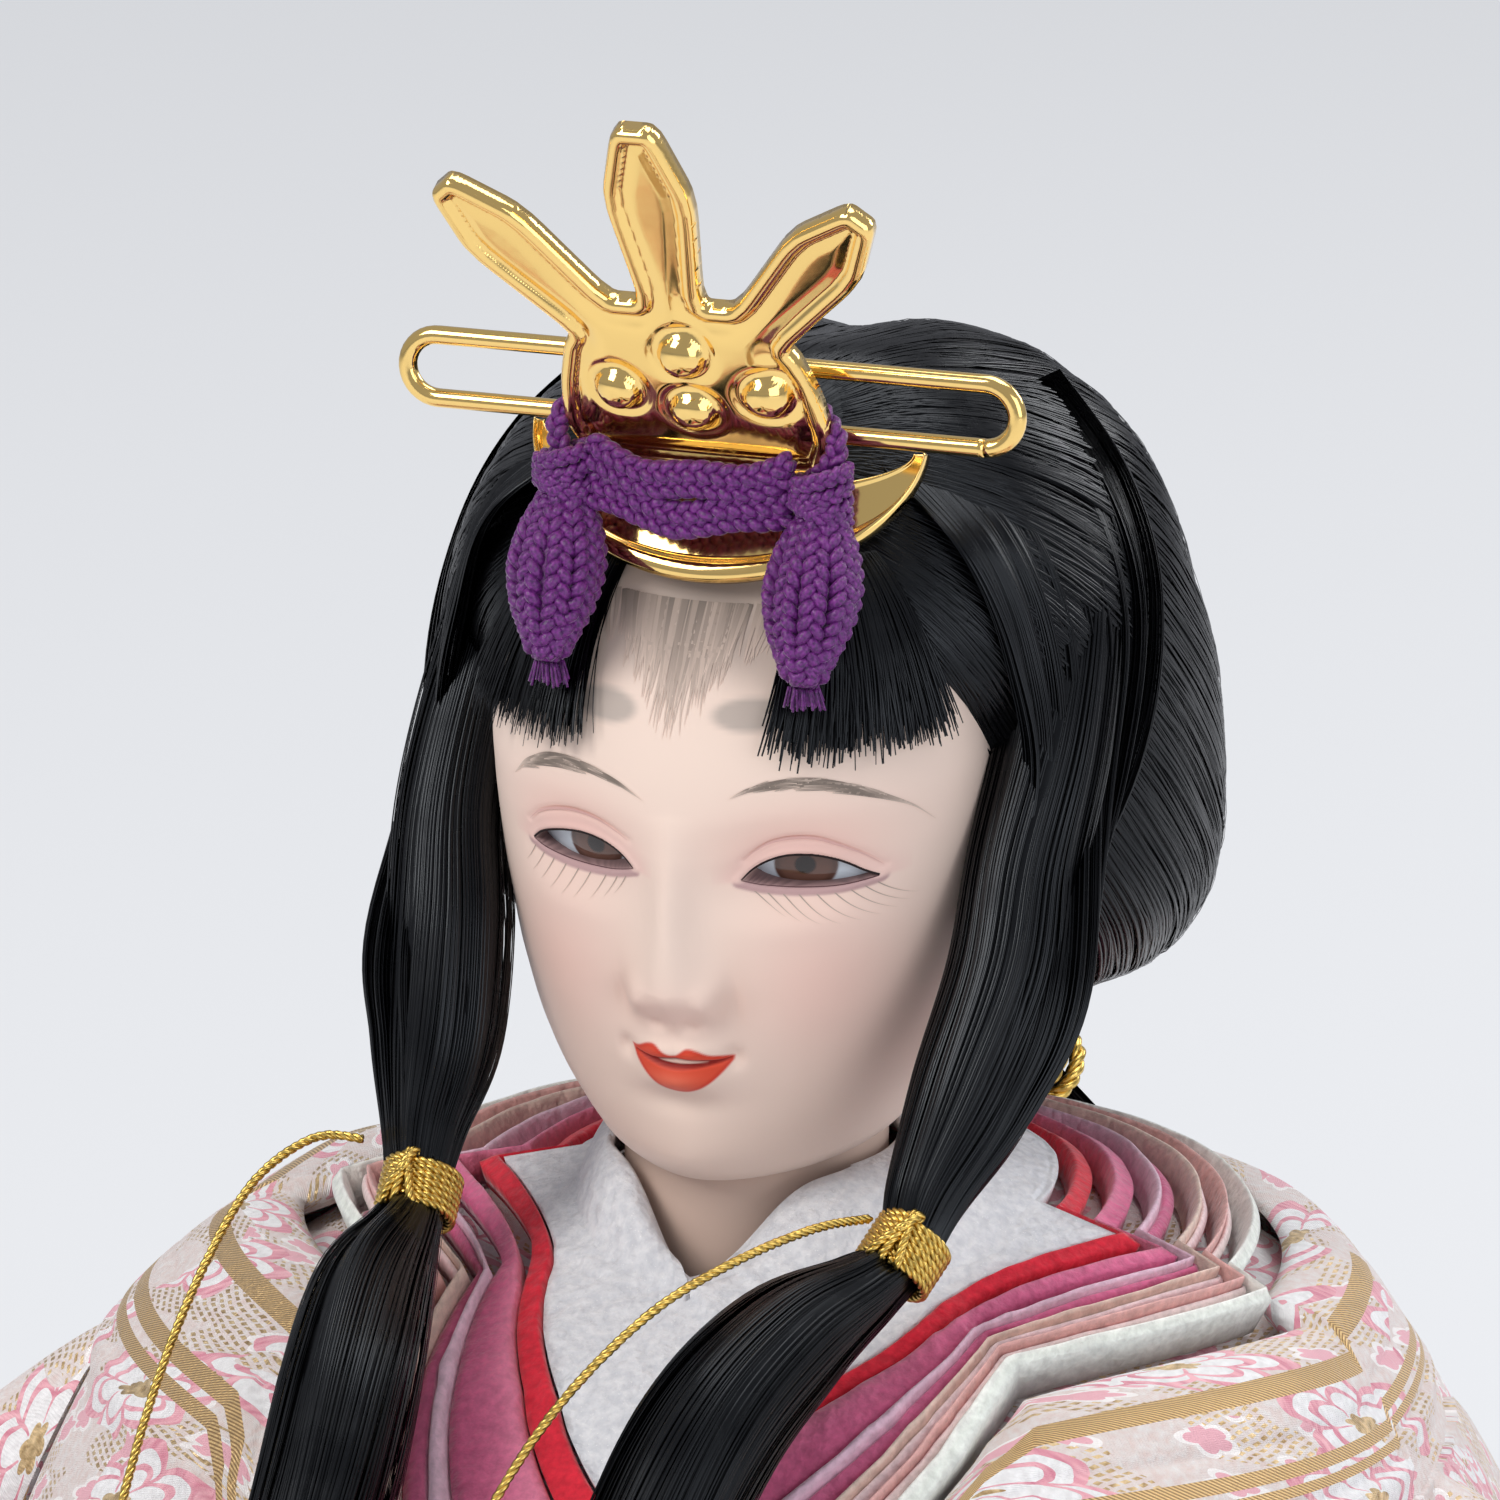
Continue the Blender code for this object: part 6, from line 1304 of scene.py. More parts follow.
def depth_in(outline, x, z):
    """Distance inside a closed outline, negative outside, for arrays of places."""
    a, b = outline, np.roll(outline, -1, 0)
    flat = np.stack([x.reshape(-1), z.reshape(-1)], -1)
    box = (flat > outline.min(0) - 1.5).all(1) & (flat < outline.max(0) + 1.5).all(1)
    out = np.full(len(flat), -9.0)
    p = flat[box]
    if len(p) == 0:
        return out.reshape(x.shape)
    e = (b - a)[None]
    w = p[:, None, :] - a[None]
    t = np.clip((w * e).sum(-1) / np.maximum((e * e).sum(-1), 1e-12), 0, 1)
    dist = np.sqrt(((w - e * t[..., None]) ** 2).sum(-1)).min(1)
    cross = (a[None, :, 1] > p[:, None, 1]) != (b[None, :, 1] > p[:, None, 1])
    at = (b[None, :, 0] - a[None, :, 0]) * (p[:, None, 1] - a[None, :, 1]) \
        / np.where(np.abs(b[None, :, 1] - a[None, :, 1]) < 1e-12, 1e-12,
                   b[None, :, 1] - a[None, :, 1]) + a[None, :, 0]
    inside = (cross & (p[:, None, 0] < at)).sum(1) % 2 == 1
    out[box] = np.where(inside, dist, -dist)
    return out.reshape(x.shape)


EYE_RINGS = {side: ring_of(e["upper"], e["lower"]) for side, e in EYES.items()}


def head_grid():
    """Angles and heights of the head's surface, packed close over the face."""
    t = np.linspace(-1, 1, 430, endpoint=False)
    turn = np.sign(t) * np.interp(np.abs(t), [0, 0.80, 1.0], [0, math.radians(72), math.pi])
    z = np.concatenate([np.linspace(1.4, 8.5, 40, endpoint=False),
                        np.linspace(8.5, 27.0, 205, endpoint=False),
                        np.linspace(27.0, 42.9, 70)])
    return turn, z


def mixed(base, other, part):
    return base * (1 - part[..., None]) + other * part[..., None]


def head_colours(x, z, front):
    """Paint of the face: blush, lips, smudged high brows, tones of the drawn features, with painted
    shade in the eye openings, beside the nose and on the chin, and a painted highlight on the lower lip.
    """
    skin = np.broadcast_to(tone(243, 220, 205), (*x.shape, 3)).copy()
    ax = np.abs(x - 0.3)
    blush = 0.38 * hump(ax - 8.2, 4.6) * hump(z - 16.5, 5.6)
    blush = blush + 0.42 * hump(ax - 7.0, 4.6) * hump(z - 25.2, 2.6)
    blush = blush + 0.20 * hump(x, 3.0) * hump(z - 15.0, 2.0)
    skin = mixed(skin, tone(238, 176, 164), np.clip(blush, 0, 0.8) * front)
    # painted shade: a darker brown tone in the hollows beside the nose and over the chin
    nose_and_chin_shade = 0.16 * hump(x, 7.0) * hump(z - 5.0, 4.0) + 0.16 * hump(ax - 3.4, 1.0) * hump(z - 16, 2.4)
    skin = mixed(skin, tone(214, 176, 156), nose_and_chin_shade * front)
    for cx, cz, wide, high in SMUDGES:
        r = np.sqrt(((x - cx) / wide) ** 2 + ((z - cz) / high) ** 2)
        edge = step01(-r, -1.18, -0.72)
        skin = mixed(skin, tone(158, 150, 143), 0.66 * edge * front)
    # faint grey ground of the painted hairline
    ground = step01(z + 0.25 * np.abs(x - 0.2), 33.9, 36.6) * hump(x - 0.2, 5.6) * front
    skin = mixed(skin, tone(112, 104, 98), 0.70 * ground)
    for side, e in EYES.items():
        d = depth_in(EYE_RINGS[side], x, z)
        low = np.interp(x, *np.array(sorted(e["lower"])).T)
        high = np.interp(x, *np.array(sorted(e["upper"])).T)
        under = step01(-(z - (low + high) / 2), -0.10, 0.30)
        rim = step01(d, -0.60, -0.42) * under * front
        skin = mixed(skin, tone(186, 148, 150), 0.85 * rim)
        # painted shade: the skin inside each eye opening, the recess walls round the glass eye, is
        # darkened
        inner = step01(d, -0.08, 0.05) * front
        skin = mixed(skin, tone(70, 52, 54), inner * 0.75)
        near = hump(d + 0.4, 0.9) * (1 - under) * front
        skin = mixed(skin, tone(236, 190, 182), 0.45 * near)
    lips = depth_in(ring_of(LIP_UPPER, LIP_LOWER), x, z)
    gap = depth_in(ring_of(GAP_UPPER, GAP_LOWER), x, z)
    teeth = depth_in(ring_of(TEETH_UPPER, TEETH_LOWER), x, z)
    part = step01(lips, -0.07, 0.09) * front
    # painted highlight: a lighter, more orange patch on the fullest part of the lower lip
    red = mixed(np.broadcast_to(tone(226, 78, 50), skin.shape).copy(), tone(236, 120, 92),
                0.75 * hump(z - 10.5, 0.55) * hump(x + 0.2, 1.5))
    red = mixed(red, tone(206, 48, 30), 0.7 * step01(-lips, -0.35, -0.05))
    skin = mixed(skin, red, part)
    skin = mixed(skin, tone(142, 22, 16), 0.92 * step01(gap, -0.10, 0.06) * front)
    skin = mixed(skin, tone(244, 214, 196), 0.95 * step01(teeth, -0.06, 0.08) * front)
    return skin


def face_piece(mat):
    turn, heights = head_grid()
    A, Z = np.meshgrid(turn, heights)
    rows = table_at(HEAD_ROWS, Z / 43.0)
    wide = rows[..., 0] * 15.4
    reach = np.where(np.cos(A) > 0, rows[..., 1] * 14.8, rows[..., 2] * 18.0)
    X = wide * np.sin(A)
    Y = -reach * np.cos(A)
    front = (Y < -1.0) * 1.0
    Y = np.where(Y < 0, Y - face_lift(X, Z) * np.minimum(1.0, -Y / (14.8 * 0.3)), Y)
    sink = np.zeros_like(X)
    for side in EYES:
        d = depth_in(EYE_RINGS[side], X, Z)
        sink += 2.3 * step01(d, -0.02, 0.24) * front
        sink -= 0.10 * hump(d + 0.22, 0.20) * front
        lid = smooth_line(EYES[side]["lid"], 8)
        near = np.full(X.shape, 9.0)
        pick = (np.abs(X - lid[:, 0].mean()) < 6) & (np.abs(Z - 24.5) < 3) & (front > 0)
        gaps = np.hypot(X[pick][:, None] - lid[None, :, 0], Z[pick][:, None] - lid[None, :, 1])
        near[pick] = gaps.min(1)
        sink += 0.11 * hump(near, 0.26)
    gap = depth_in(ring_of(GAP_UPPER, GAP_LOWER), X, Z)
    sink += 0.28 * step01(gap, -0.12, 0.16) * front
    teeth = depth_in(ring_of(TEETH_UPPER, TEETH_LOWER), X, Z)
    sink -= 0.14 * step01(teeth, -0.05, 0.10) * front
    Y = Y + sink
    P = tilted(np.stack([X, Y, Z], -1) * MM)
    colours = head_colours(X, Z, front)
    # crown and chin closed, then the neck as its own rows below
    low = P[:1].mean(1, keepdims=True) + (P[:1] - P[:1].mean(1, keepdims=True)) * 0.05
    top = P[-1:].mean(1, keepdims=True) + (P[-1:] - P[-1:].mean(1, keepdims=True)) * 0.03
    P = np.concatenate([low, P, top])
    colours = np.concatenate([colours[:1], colours, colours[-1:]])
    obj = grid_mesh("head_face", P, mat, "head", wrap_cols=True, replaces=["head_shell"],
                    slot="skin")
    paint(obj, "skin", colours.reshape(-1, 3))
    return obj


def neck_piece(mat):
    z = np.concatenate([np.linspace(0.1383, 0.1420, 6), np.linspace(0.1430, 0.1600, 20)])
    r = np.interp(z, [0.1383, 0.1425, 0.1600], [0.0080 * 1.12, 0.0080, 0.0080])
    a = np.arange(90) / 90 * 2 * math.pi
    P = np.stack([r[:, None] * np.sin(a)[None], -r[:, None] * np.cos(a)[None],
                  z[:, None] * np.ones((1, 90))], -1)
    core = P[:1] * np.array([0.32, 0.32, 1.0])
    top = P[-1:] * np.array([0.05, 0.05, 1.0])
    P = np.concatenate([core, P, top])
    obj = grid_mesh("head_neck", P, mat, "head", wrap_cols=True, slot="skin")
    # painted shade: the neck is coloured a darker tone than the face, for the shade under the chin
    paint(obj, "skin", np.broadcast_to(tone(226, 198, 182), (P.shape[0] * P.shape[1], 3)))
    return obj


skin_mat = Mat("painted_skin", Roughness=0.52)
skin_mat.set(Specular_IOR_Level=0.30, Sheen_Weight=0.12)
skin_mat.to("Base Color", skin_mat.colour("skin"))
skin_mat.bump(skin_mat.noise(600.0, detail=2.0), 0.03, 0.0002)
skin_mat = skin_mat.mat
face_piece(skin_mat)
neck_piece(skin_mat)


# Glass eyes: a white, a brown iris with a dark ring, and a pupil
def eye_piece(side, mat):
    ix, iz = EYES[side]["iris"]
    ring = EYE_RINGS[side]
    cx, cz = ring[:, 0].mean(), ring[:, 1].mean()
    lat = np.linspace(0, math.pi * 0.60, 110)
    lon = np.arange(160) / 160 * 2 * math.pi
    L, O = np.meshgrid(lat, lon, indexing="ij")
    x = cx + 4.7 * np.sin(L) * np.cos(O)
    z = cz + 3.1 * np.sin(L) * np.sin(O)
    base_y = float(face_y(np.array(cx), np.array(cz)))
    slope = float(face_y(np.array(cx + 1.5), np.array(cz)) - face_y(np.array(cx - 1.5),
                                                                     np.array(cz))) / 3.0
    y = base_y + 0.42 + 2.6 * (1 - np.cos(L)) + slope * (x - cx) * 0.9
    P = tilted(np.stack([x, y, z], -1) * MM)
    r = np.hypot(x - ix, (z - iz) * 1.04)
    colours = np.broadcast_to(tone(196, 204, 212), (*x.shape, 3)).copy()
    # painted shade: the white darkens towards its top, under the upper lid
    shade = step01(z - cz, 0.35, 1.3)
    colours = mixed(colours, tone(118, 128, 142), 0.6 * shade)
    colours = mixed(colours, tone(98, 66, 54), step01(-r, -1.88, -1.74))
    colours = mixed(colours, tone(62, 38, 30), 0.5 * hump(r - 1.62, 0.18))
    colours = mixed(colours, tone(32, 20, 18), step01(-r, -0.70, -0.50))
    obj = grid_mesh(f"eye_{side}_glass", P, mat, "head", wrap_cols=True,
                    replaces=[f"eye_{side}"], slot="eye")
    paint(obj, "skin", colours.reshape(-1, 3))
    return obj


eye_mat = Mat("eye_glass", Roughness=0.12)
eye_mat.set(Coat_Weight=0.6, Coat_Roughness=0.04, Specular_IOR_Level=0.35)
eye_mat.to("Base Color", eye_mat.colour("skin"))
eye_mat = eye_mat.mat
for side in EYES:
    eye_piece(side, eye_mat)


# Brush strokes: thin ribbons laid on the face
class Brush:
    def __init__(self):
        self.bag, self.colours = Bag(), []

    def stroke(self, x, z, widths, colour, off=0.035):
        """A ribbon along places of the face; widths and colours given for each place."""
        x, z = np.asarray(x, float), np.asarray(z, float)
        way = unit(np.stack([np.gradient(x), np.gradient(z)], -1))
        nx, nz = -way[:, 1], way[:, 0]
        w = np.broadcast_to(widths, x.shape) / 2
        left = on_face(x + nx * w, z + nz * w, off)
        right = on_face(x - nx * w, z - nz * w, off)
        P = np.stack([left, right], 1)
        self.bag.add(P.reshape(-1, 3), grid_faces(len(P), 2))
        colour = np.broadcast_to(colour, (len(x), 3))
        self.colours.append(np.repeat(colour, 2, 0))

    def done(self, name, mat):
        obj = self.bag.mesh(name, mat, "head")
        paint(obj, "skin", np.concatenate(self.colours))
        return obj


def painted_lines():
    rng = np.random.default_rng(71)
    brush = Brush()
    skin = tone(233, 210, 195)
    grey = tone(116, 106, 98)
    # hairline streaks, longest in the middle
    for k in range(150):
        x0 = rng.normal(0.2, 3.2)
        if abs(x0) > 6.5:
            continue
        long = 3.6 * math.exp(-((x0 + 0.4) / 2.6) ** 2) + 1.0 + 0.4 * abs(x0) * 0.4
        tip = 36.3 - long * rng.uniform(0.55, 1.12) + 0.10 * abs(x0)
        t = np.linspace(0, 1, 12)
        z = 37.6 + (tip - 37.6) * t
        x = x0 * (1 - 0.10 * t) + 0.25 * rng.normal() * t ** 2
        dark = rng.uniform(0.55, 1.0)
        part = (dark * (1 - t) ** 0.55)[:, None]
        colour = skin * (1 - part) + grey * part
        brush.stroke(x, z, 0.34 * (1 - t) ** 0.8 + 0.015, colour, 0.03 + 0.01 * rng.random())
    # brows
    for side, (upper, lower) in BROWS.items():
        up, lo = smooth_line(upper, 10), smooth_line(lower, 10)
        count = len(up)
        for k in range(70):
            start = rng.uniform(0.0, 0.72)
            end = min(1.0, start + rng.uniform(0.2, 0.42))
            lane0, lane1 = rng.random(), rng.random() * 0.7 + 0.3
            s = np.linspace(start, end, 14)
            t = (s - start) / (end - start)
            lane = lane0 * (1 - t) + lane1 * t
            at = s * (count - 1)
            ux, uz = np.interp(at, np.arange(count), up[:, 0]), np.interp(at, np.arange(count), up[:, 1])
            lx, lz = np.interp(at, np.arange(count), lo[:, 0]), np.interp(at, np.arange(count), lo[:, 1])
            x, z = lx + (ux - lx) * lane, lz + (uz - lz) * lane
            fade = np.sin(np.pi * np.clip(t * 0.9 + 0.05, 0, 1)) ** 0.6
            ends = np.minimum(1, np.minimum(s / 0.12, (1 - s) / 0.3))
            part = (0.85 * fade * np.clip(ends, 0.1, 1))[:, None]
            colour = skin * (1 - part) + tone(92, 84, 76) * part
            brush.stroke(x, z, 0.13 * fade * np.clip(ends, 0.25, 1) + 0.01, colour,
                         0.03 + 0.012 * rng.random())
    # upper lid lines, and the lid crease
    for side, e in EYES.items():
        up = smooth_line(e["upper"], 10)
        t = np.linspace(0, 1, len(up))
        body = 0.05 + 0.13 * np.sin(np.pi * t) ** 0.7 + 0.07 * t
        brush.stroke(up[:, 0], up[:, 1] + 0.02, body, tone(38, 28, 28), 0.05)
        low = smooth_line(e["lower"], 10)
        t = np.linspace(0, 1, len(low))
        brush.stroke(low[:, 0], low[:, 1] - 0.02, 0.035 + 0.05 * t, tone(92, 62, 66), 0.045)
        lid = smooth_line(e["lid"], 10)
        t = np.linspace(0, 1, len(lid))
        part = (0.55 * np.sin(np.pi * t) ** 0.5)[:, None]
        base = tone(232, 196, 186)
        brush.stroke(lid[:, 0], lid[:, 1], 0.16 * np.sin(np.pi * t) + 0.02,
                     base * (1 - part) + tone(206, 150, 146) * part, 0.03)
    # lower lashes, slanting outward
    for side, e in EYES.items():
        sign = 1 if side == "left" else -1
        low = smooth_line(e["lower"], 10)
        for k, s in enumerate(np.linspace(0.10, 0.98, 9)):
            i = int(s * (len(low) - 1))
            x0, z0 = low[i, 0], low[i, 1] - 0.42
            length = 2.6 * (0.75 + 0.25 * math.sin(math.pi * s)) * (1.0 if side == "left" else 0.85)
            t = np.linspace(0, 1, 12)
            lean = 1.15 if side == "left" else 0.62
            x = x0 + sign * (length * 0.78 * t * lean)
            z = z0 - length * (0.95 * t - 0.22 * t ** 2)
            part = (0.62 * (1 - t) ** 0.7)[:, None]
            brush.stroke(x, z, 0.055 * (1 - t) + 0.012,
                         skin * (1 - part) + tone(120, 106, 98) * part, 0.03)
    return brush


paint_mat = Mat("painted_lines", Roughness=0.6)
paint_mat.set(Specular_IOR_Level=0.2)
paint_mat.to("Base Color", paint_mat.colour("skin"))
painted_lines().done("face_lines", paint_mat.mat)


# Hair: strands over a dark ground
HAIR_ROWS = np.array([
    (0.0, 0.46, -1.60, 0.93), (0.07, 0.62, -1.05, 0.965), (0.15, 0.84, -0.35, 0.97),
    (0.26, 0.96, 0.20, 0.97), (0.40, 0.975, 0.34, 0.96), (0.53, 0.955, 0.46, 0.95),
    (0.63, 0.915, 0.68, 0.93), (0.716, 0.865, 0.69, 0.90), (0.82, 0.76, 0.50, 0.82),
    (0.91, 0.58, 0.34, 0.68), (0.97, 0.36, 0.16, 0.47), (1.0, 0.14, 0.04, 0.22)])
HAIR_LOW, HAIR_TOP = 0.0015, 0.0492
HAIR_HALF_WIDTH, HAIR_BACK, HAIR_FRONT = 0.0238, 0.0346, 0.013
HAIR_SQUARENESS = 2.3
HAIR_GROUND = -0.0010
LOCK_RADIUS = 0.0036
STRAND_WIDTHS = (0.00011, 0.00019)


def hair_surface(share, angle, off=0.0):
    """The outer form of the dressed hair."""
    rows = table_at(HAIR_ROWS, share)
    z = HAIR_LOW + share * (HAIR_TOP - HAIR_LOW) + off * (2 * share - 1)
    p = 2 / HAIR_SQUARENESS
    s, c = np.sin(angle), np.cos(angle)
    x = (rows[..., 0] * HAIR_HALF_WIDTH + off) * np.sign(s) * np.abs(s) ** p
    y = -np.sign(c) * np.abs(c) ** p
    middle = (rows[..., 2] * HAIR_BACK - rows[..., 1] * HAIR_FRONT) / 2 - 0.0000939 * share * 1.3
    reach = (rows[..., 2] * HAIR_BACK + rows[..., 1] * HAIR_FRONT) / 2 + off
    z = z - 0.0016 * hump(x, 0.0042) * step01(share, 0.80, 0.97)
    return np.stack(np.broadcast_arrays(x, middle + y * reach, z + CHIN), -1)


hair_mat = Mat("hair_black", Roughness=0.30)
hair_mat.set(Base_Color=(0.0016, 0.0016, 0.0020), Specular_IOR_Level=0.30)
hair_mat.set(Specular_Tint=(0.86, 0.92, 1.0))
streak = hair_mat.noise(340.0, detail=3.0)
hair_mat.to("Roughness", hair_mat.range(streak, 0.3, 0.7, 0.16, 0.36))
hair_mat = hair_mat.mat


def strands(paths, normals, widths, bulge=0.55):
    """Half-round ribbons: paths (n, m, 3), outward normals and widths alike."""
    tang = unit(np.gradient(paths, axis=1))
    side = unit(np.cross(tang, normals))
    up = np.cross(side, tang)
    w = np.asarray(widths)[..., None] / 2
    P = np.stack([paths - side * w, paths + up * w * bulge, paths + side * w], 2)
    n, m = P.shape[:2]
    one = grid_faces(m, 3)
    quads = (one[None] + (np.arange(n) * m * 3)[:, None, None]).reshape(-1, 4)
    return P.reshape(-1, 3), quads


def strand_mesh(name, paths, normals, widths, **more):
    verts, quads = strands(paths, normals, widths)
    return make_mesh(name, verts, quads, hair_mat, "head", **more)


POLE_F = np.array([0.0, -0.0050, CHIN + 0.0430])
POLE_N = np.array([0.0, 0.0345, CHIN + 0.0010])


def hair_radii(rows=72, turns=240):
    """Distances from the line between the poles out to the hair, by planes through it."""
    share = np.linspace(0, 1, 110)[:, None] * np.ones((1, 200))
    angle = np.arange(200)[None, :] / 200 * 2 * math.pi
    grid = hair_surface(share, angle * np.ones_like(share))
    caps = np.concatenate([grid[:1].mean(1, keepdims=True).repeat(200, 1), grid,
                           grid[-1:].mean(1, keepdims=True).repeat(200, 1)])
    faces = grid_faces(112, 200, wrap_cols=True)
    tree = BVHTree.FromPolygons(caps.reshape(-1, 3).tolist(), faces.tolist())
    axis = unit(POLE_N - POLE_F)
    across = np.array([1.0, 0, 0])
    rise = np.cross(across, axis)
    radii = np.zeros((rows, turns))
    for i, t in enumerate(np.linspace(0, 1, rows)):
        start = POLE_F + (POLE_N - POLE_F) * t
        for k in range(turns):
            a = 2 * math.pi * k / turns
            way = across * math.cos(a) + rise * math.sin(a)
            hit = tree.ray_cast(Vector(start), Vector(way))
            radii[i, k] = hit[3] if hit[0] is not None else 0.0
    return radii, axis, across, rise


RADII, HAIR_AXIS, HAIR_X, HAIR_UP = hair_radii()


def hair_place(t, turn, off=0.0):
    """A place over the hair: t runs from the brow to the nape, turn round that line."""
    rows, turns = RADII.shape
    u = np.clip(t, 0, 1) * (rows - 1)
    i = np.minimum(u.astype(int), rows - 2)
    f = u - i
    v = (turn / (2 * math.pi) % 1.0) * turns
    k = v.astype(int) % turns
    g = v - np.floor(v)
    k2 = (k + 1) % turns
    r = ((RADII[i, k] * (1 - g) + RADII[i, k2] * g) * (1 - f)
         + (RADII[i + 1, k] * (1 - g) + RADII[i + 1, k2] * g) * f)
    way = HAIR_X * np.cos(turn)[..., None] + HAIR_UP * np.sin(turn)[..., None]
    return (POLE_F + (POLE_N - POLE_F) * t[..., None]) + way * (r + off)[..., None]


def crown_fan(steps=10):
    """Distances from the brow's pole to the hair over the front, from the line on round."""
    share = np.linspace(0, 1, 110)[:, None] * np.ones((1, 200))
    angle = np.arange(200)[None, :] / 200 * 2 * math.pi
    grid = hair_surface(share, angle * np.ones_like(share))
    caps = np.concatenate([grid[:1].mean(1, keepdims=True).repeat(200, 1), grid,
                           grid[-1:].mean(1, keepdims=True).repeat(200, 1)])
    tree = BVHTree.FromPolygons(caps.reshape(-1, 3).tolist(),
                                grid_faces(112, 200, wrap_cols=True).tolist())
    turns = RADII.shape[1]
    fan = np.zeros((steps, turns))
    for i, bend in enumerate(np.linspace(0, math.pi / 2, steps)):
        for k in range(turns):
            a = 2 * math.pi * k / turns
            way = HAIR_X * math.cos(a) + HAIR_UP * math.sin(a)
            way = -HAIR_AXIS * math.cos(bend) + way * math.sin(bend)
            hit = tree.ray_cast(Vector(POLE_F), Vector(way))
            fan[i, k] = hit[3] if hit[0] is not None else 0.001
    return fan


FAN = crown_fan()


def fan_place(bend, turn, off):
    """A place over the front of the hair: bend is 0 at its middle and 1 where t is 0."""
    steps, turns = FAN.shape
    u = np.clip(bend, 0, 1) * (steps - 1)
    i = np.minimum(u.astype(int), steps - 2)
    f = u - i
    v = (turn / (2 * math.pi) % 1.0) * turns
    k = v.astype(int) % turns
    g = v - np.floor(v)
    k2 = (k + 1) % turns
    r = ((FAN[i, k] * (1 - g) + FAN[i, k2] * g) * (1 - f)
         + (FAN[i + 1, k] * (1 - g) + FAN[i + 1, k2] * g) * f)
    way = HAIR_X * np.cos(turn)[..., None] + HAIR_UP * np.sin(turn)[..., None]
    a = (bend * math.pi / 2)[..., None]
    return POLE_F + (-HAIR_AXIS * np.cos(a) + way * np.sin(a)) * (r + off)[..., None]


def hair_normals(t, turn):
    e = 0.01
    a = hair_place(np.clip(t + e, 0, 1), turn) - hair_place(np.clip(t - e, 0, 1), turn)
    b = hair_place(t, turn + 0.03) - hair_place(t, turn - 0.03)
    n = unit(np.cross(a, b))
    way = HAIR_X * np.cos(turn)[..., None] + HAIR_UP * np.sin(turn)[..., None]
    return n * np.sign((n * way).sum(-1, keepdims=True))


def hair_mass():
    rng = np.random.default_rng(81)
    # dark ground under the strands
    share = np.linspace(0, 1, 70)[:, None] * np.ones((1, 120))
    angle = np.arange(120)[None, :] / 120 * 2 * math.pi * np.ones((70, 1))
    ground = hair_surface(share, angle, HAIR_GROUND)
    cap = ground[-1:].mean(1, keepdims=True) + (ground[-1:] - ground[-1:].mean(1, keepdims=True)) * 0.02
    foot = ground[:1].mean(1, keepdims=True) + (ground[:1] - ground[:1].mean(1, keepdims=True)) * 0.02
    base = grid_mesh("hair_ground", np.concatenate([foot, ground, cap]), hair_mat, "head",
                     wrap_cols=True, replaces=["hair_mass"], slot="hair")
    pieces = [base]
    count, steps = 1900, 42
    for part in range(4):
        turn0 = rng.random(count) * 2 * math.pi
        start = 0.004 + 0.03 * rng.random(count)
        s = np.linspace(0, 1, steps)[None, :]
        t = start[:, None] + (0.992 - start[:, None]) * s
        drift = rng.normal(0, 0.055, count)[:, None] * np.sin(s * math.pi)
        locks = 0.035 * np.sin(turn0 * 37 + 1.3)[:, None] * np.sin(s * math.pi)
        wisp = rng.normal(0, 0.006, (count, 1)) * np.sin(s * (6 + 5 * rng.random((count, 1))))
        turn = turn0[:, None] + drift + locks + wisp
        tuft = 0.00028 * np.sin(turn0 * 61)[:, None] * np.sin(s * math.pi)
        off = rng.uniform(-0.0001, 0.00040, count)[:, None] + tuft
        P = hair_place(t, turn, off * np.ones_like(t))
        N = hair_normals(t, turn)
        lead = 8
        bend = np.linspace(0.12, 0.98, lead)[None, :] * np.ones((count, 1))
        first = turn[:, :1] * np.ones((1, lead))
        root = fan_place(bend, first, off[:, :1] * np.ones((1, lead)))
        P = np.concatenate([root, P], 1)
        N = np.concatenate([unit(root - POLE_F - 0.01 * HAIR_AXIS), N], 1)
        s = np.linspace(0, 1, P.shape[1])[None, :]
        width = rng.uniform(*STRAND_WIDTHS, count)[:, None] * np.ones_like(s)
        width = width * (0.35 + 0.65 * np.sin(math.pi * np.clip(s * 0.96 + 0.02, 0, 1)) ** 0.35)
        pieces.append(strand_mesh(f"hair_strands_{part + 1}", P, N, width))
    return pieces


LOCKS = {
    "left": [
        (0.0150, 0.0100, 0.0400), (0.0176, 0.0052, 0.0340), (0.0184, 0.0004, 0.0270),
        (0.0180, -0.0036, 0.0200), (0.0182, -0.0068, 0.0140), (0.0170, -0.0106, 0.0078),
        (0.0156, -0.0140, 0.0030), (0.0150, -0.0164, -0.0002), (0.0136, -0.0196, -0.0014),
        (0.0110, -0.0250, -0.0030), (0.0088, -0.0316, -0.0062), (0.0074, -0.0380, -0.0116),
        (0.0066, -0.0466, -0.0200), (0.0064, -0.0544, -0.0310), (0.0070, -0.0608, -0.0440),
    ],
    "right": [
        (-0.0140, 0.0080, 0.0400), (-0.0166, 0.0038, 0.0338), (-0.0176, -0.0004, 0.0270),
        (-0.0176, -0.0050, 0.0203), (-0.0164, -0.0086, 0.0140), (-0.0158, -0.0114, 0.0078),
        (-0.0160, -0.0134, 0.0030), (-0.0158, -0.0154, -0.0006), (-0.0155, -0.0188, -0.0020),
        (-0.0150, -0.0250, -0.0036), (-0.0138, -0.0316, -0.0066), (-0.0130, -0.0380, -0.0118),
        (-0.0128, -0.0464, -0.0200), (-0.0130, -0.0540, -0.0310), (-0.0134, -0.0602, -0.0440),
    ],
}
LOCK_SIZES = [0.75, 0.85, 0.92, 0.95, 1.05, 0.98, 0.66, 0.45, 0.62, 0.98, 1.12, 1.12, 1.05, 0.92,
              0.50]


def lock_line(side, steps=8):
    points = smooth_line(np.array(LOCKS[side]) + [0, 0, CHIN], steps)
    sizes = smooth_line(np.array(LOCK_SIZES)[:, None], steps)[:, 0] * LOCK_RADIUS
    return points, sizes


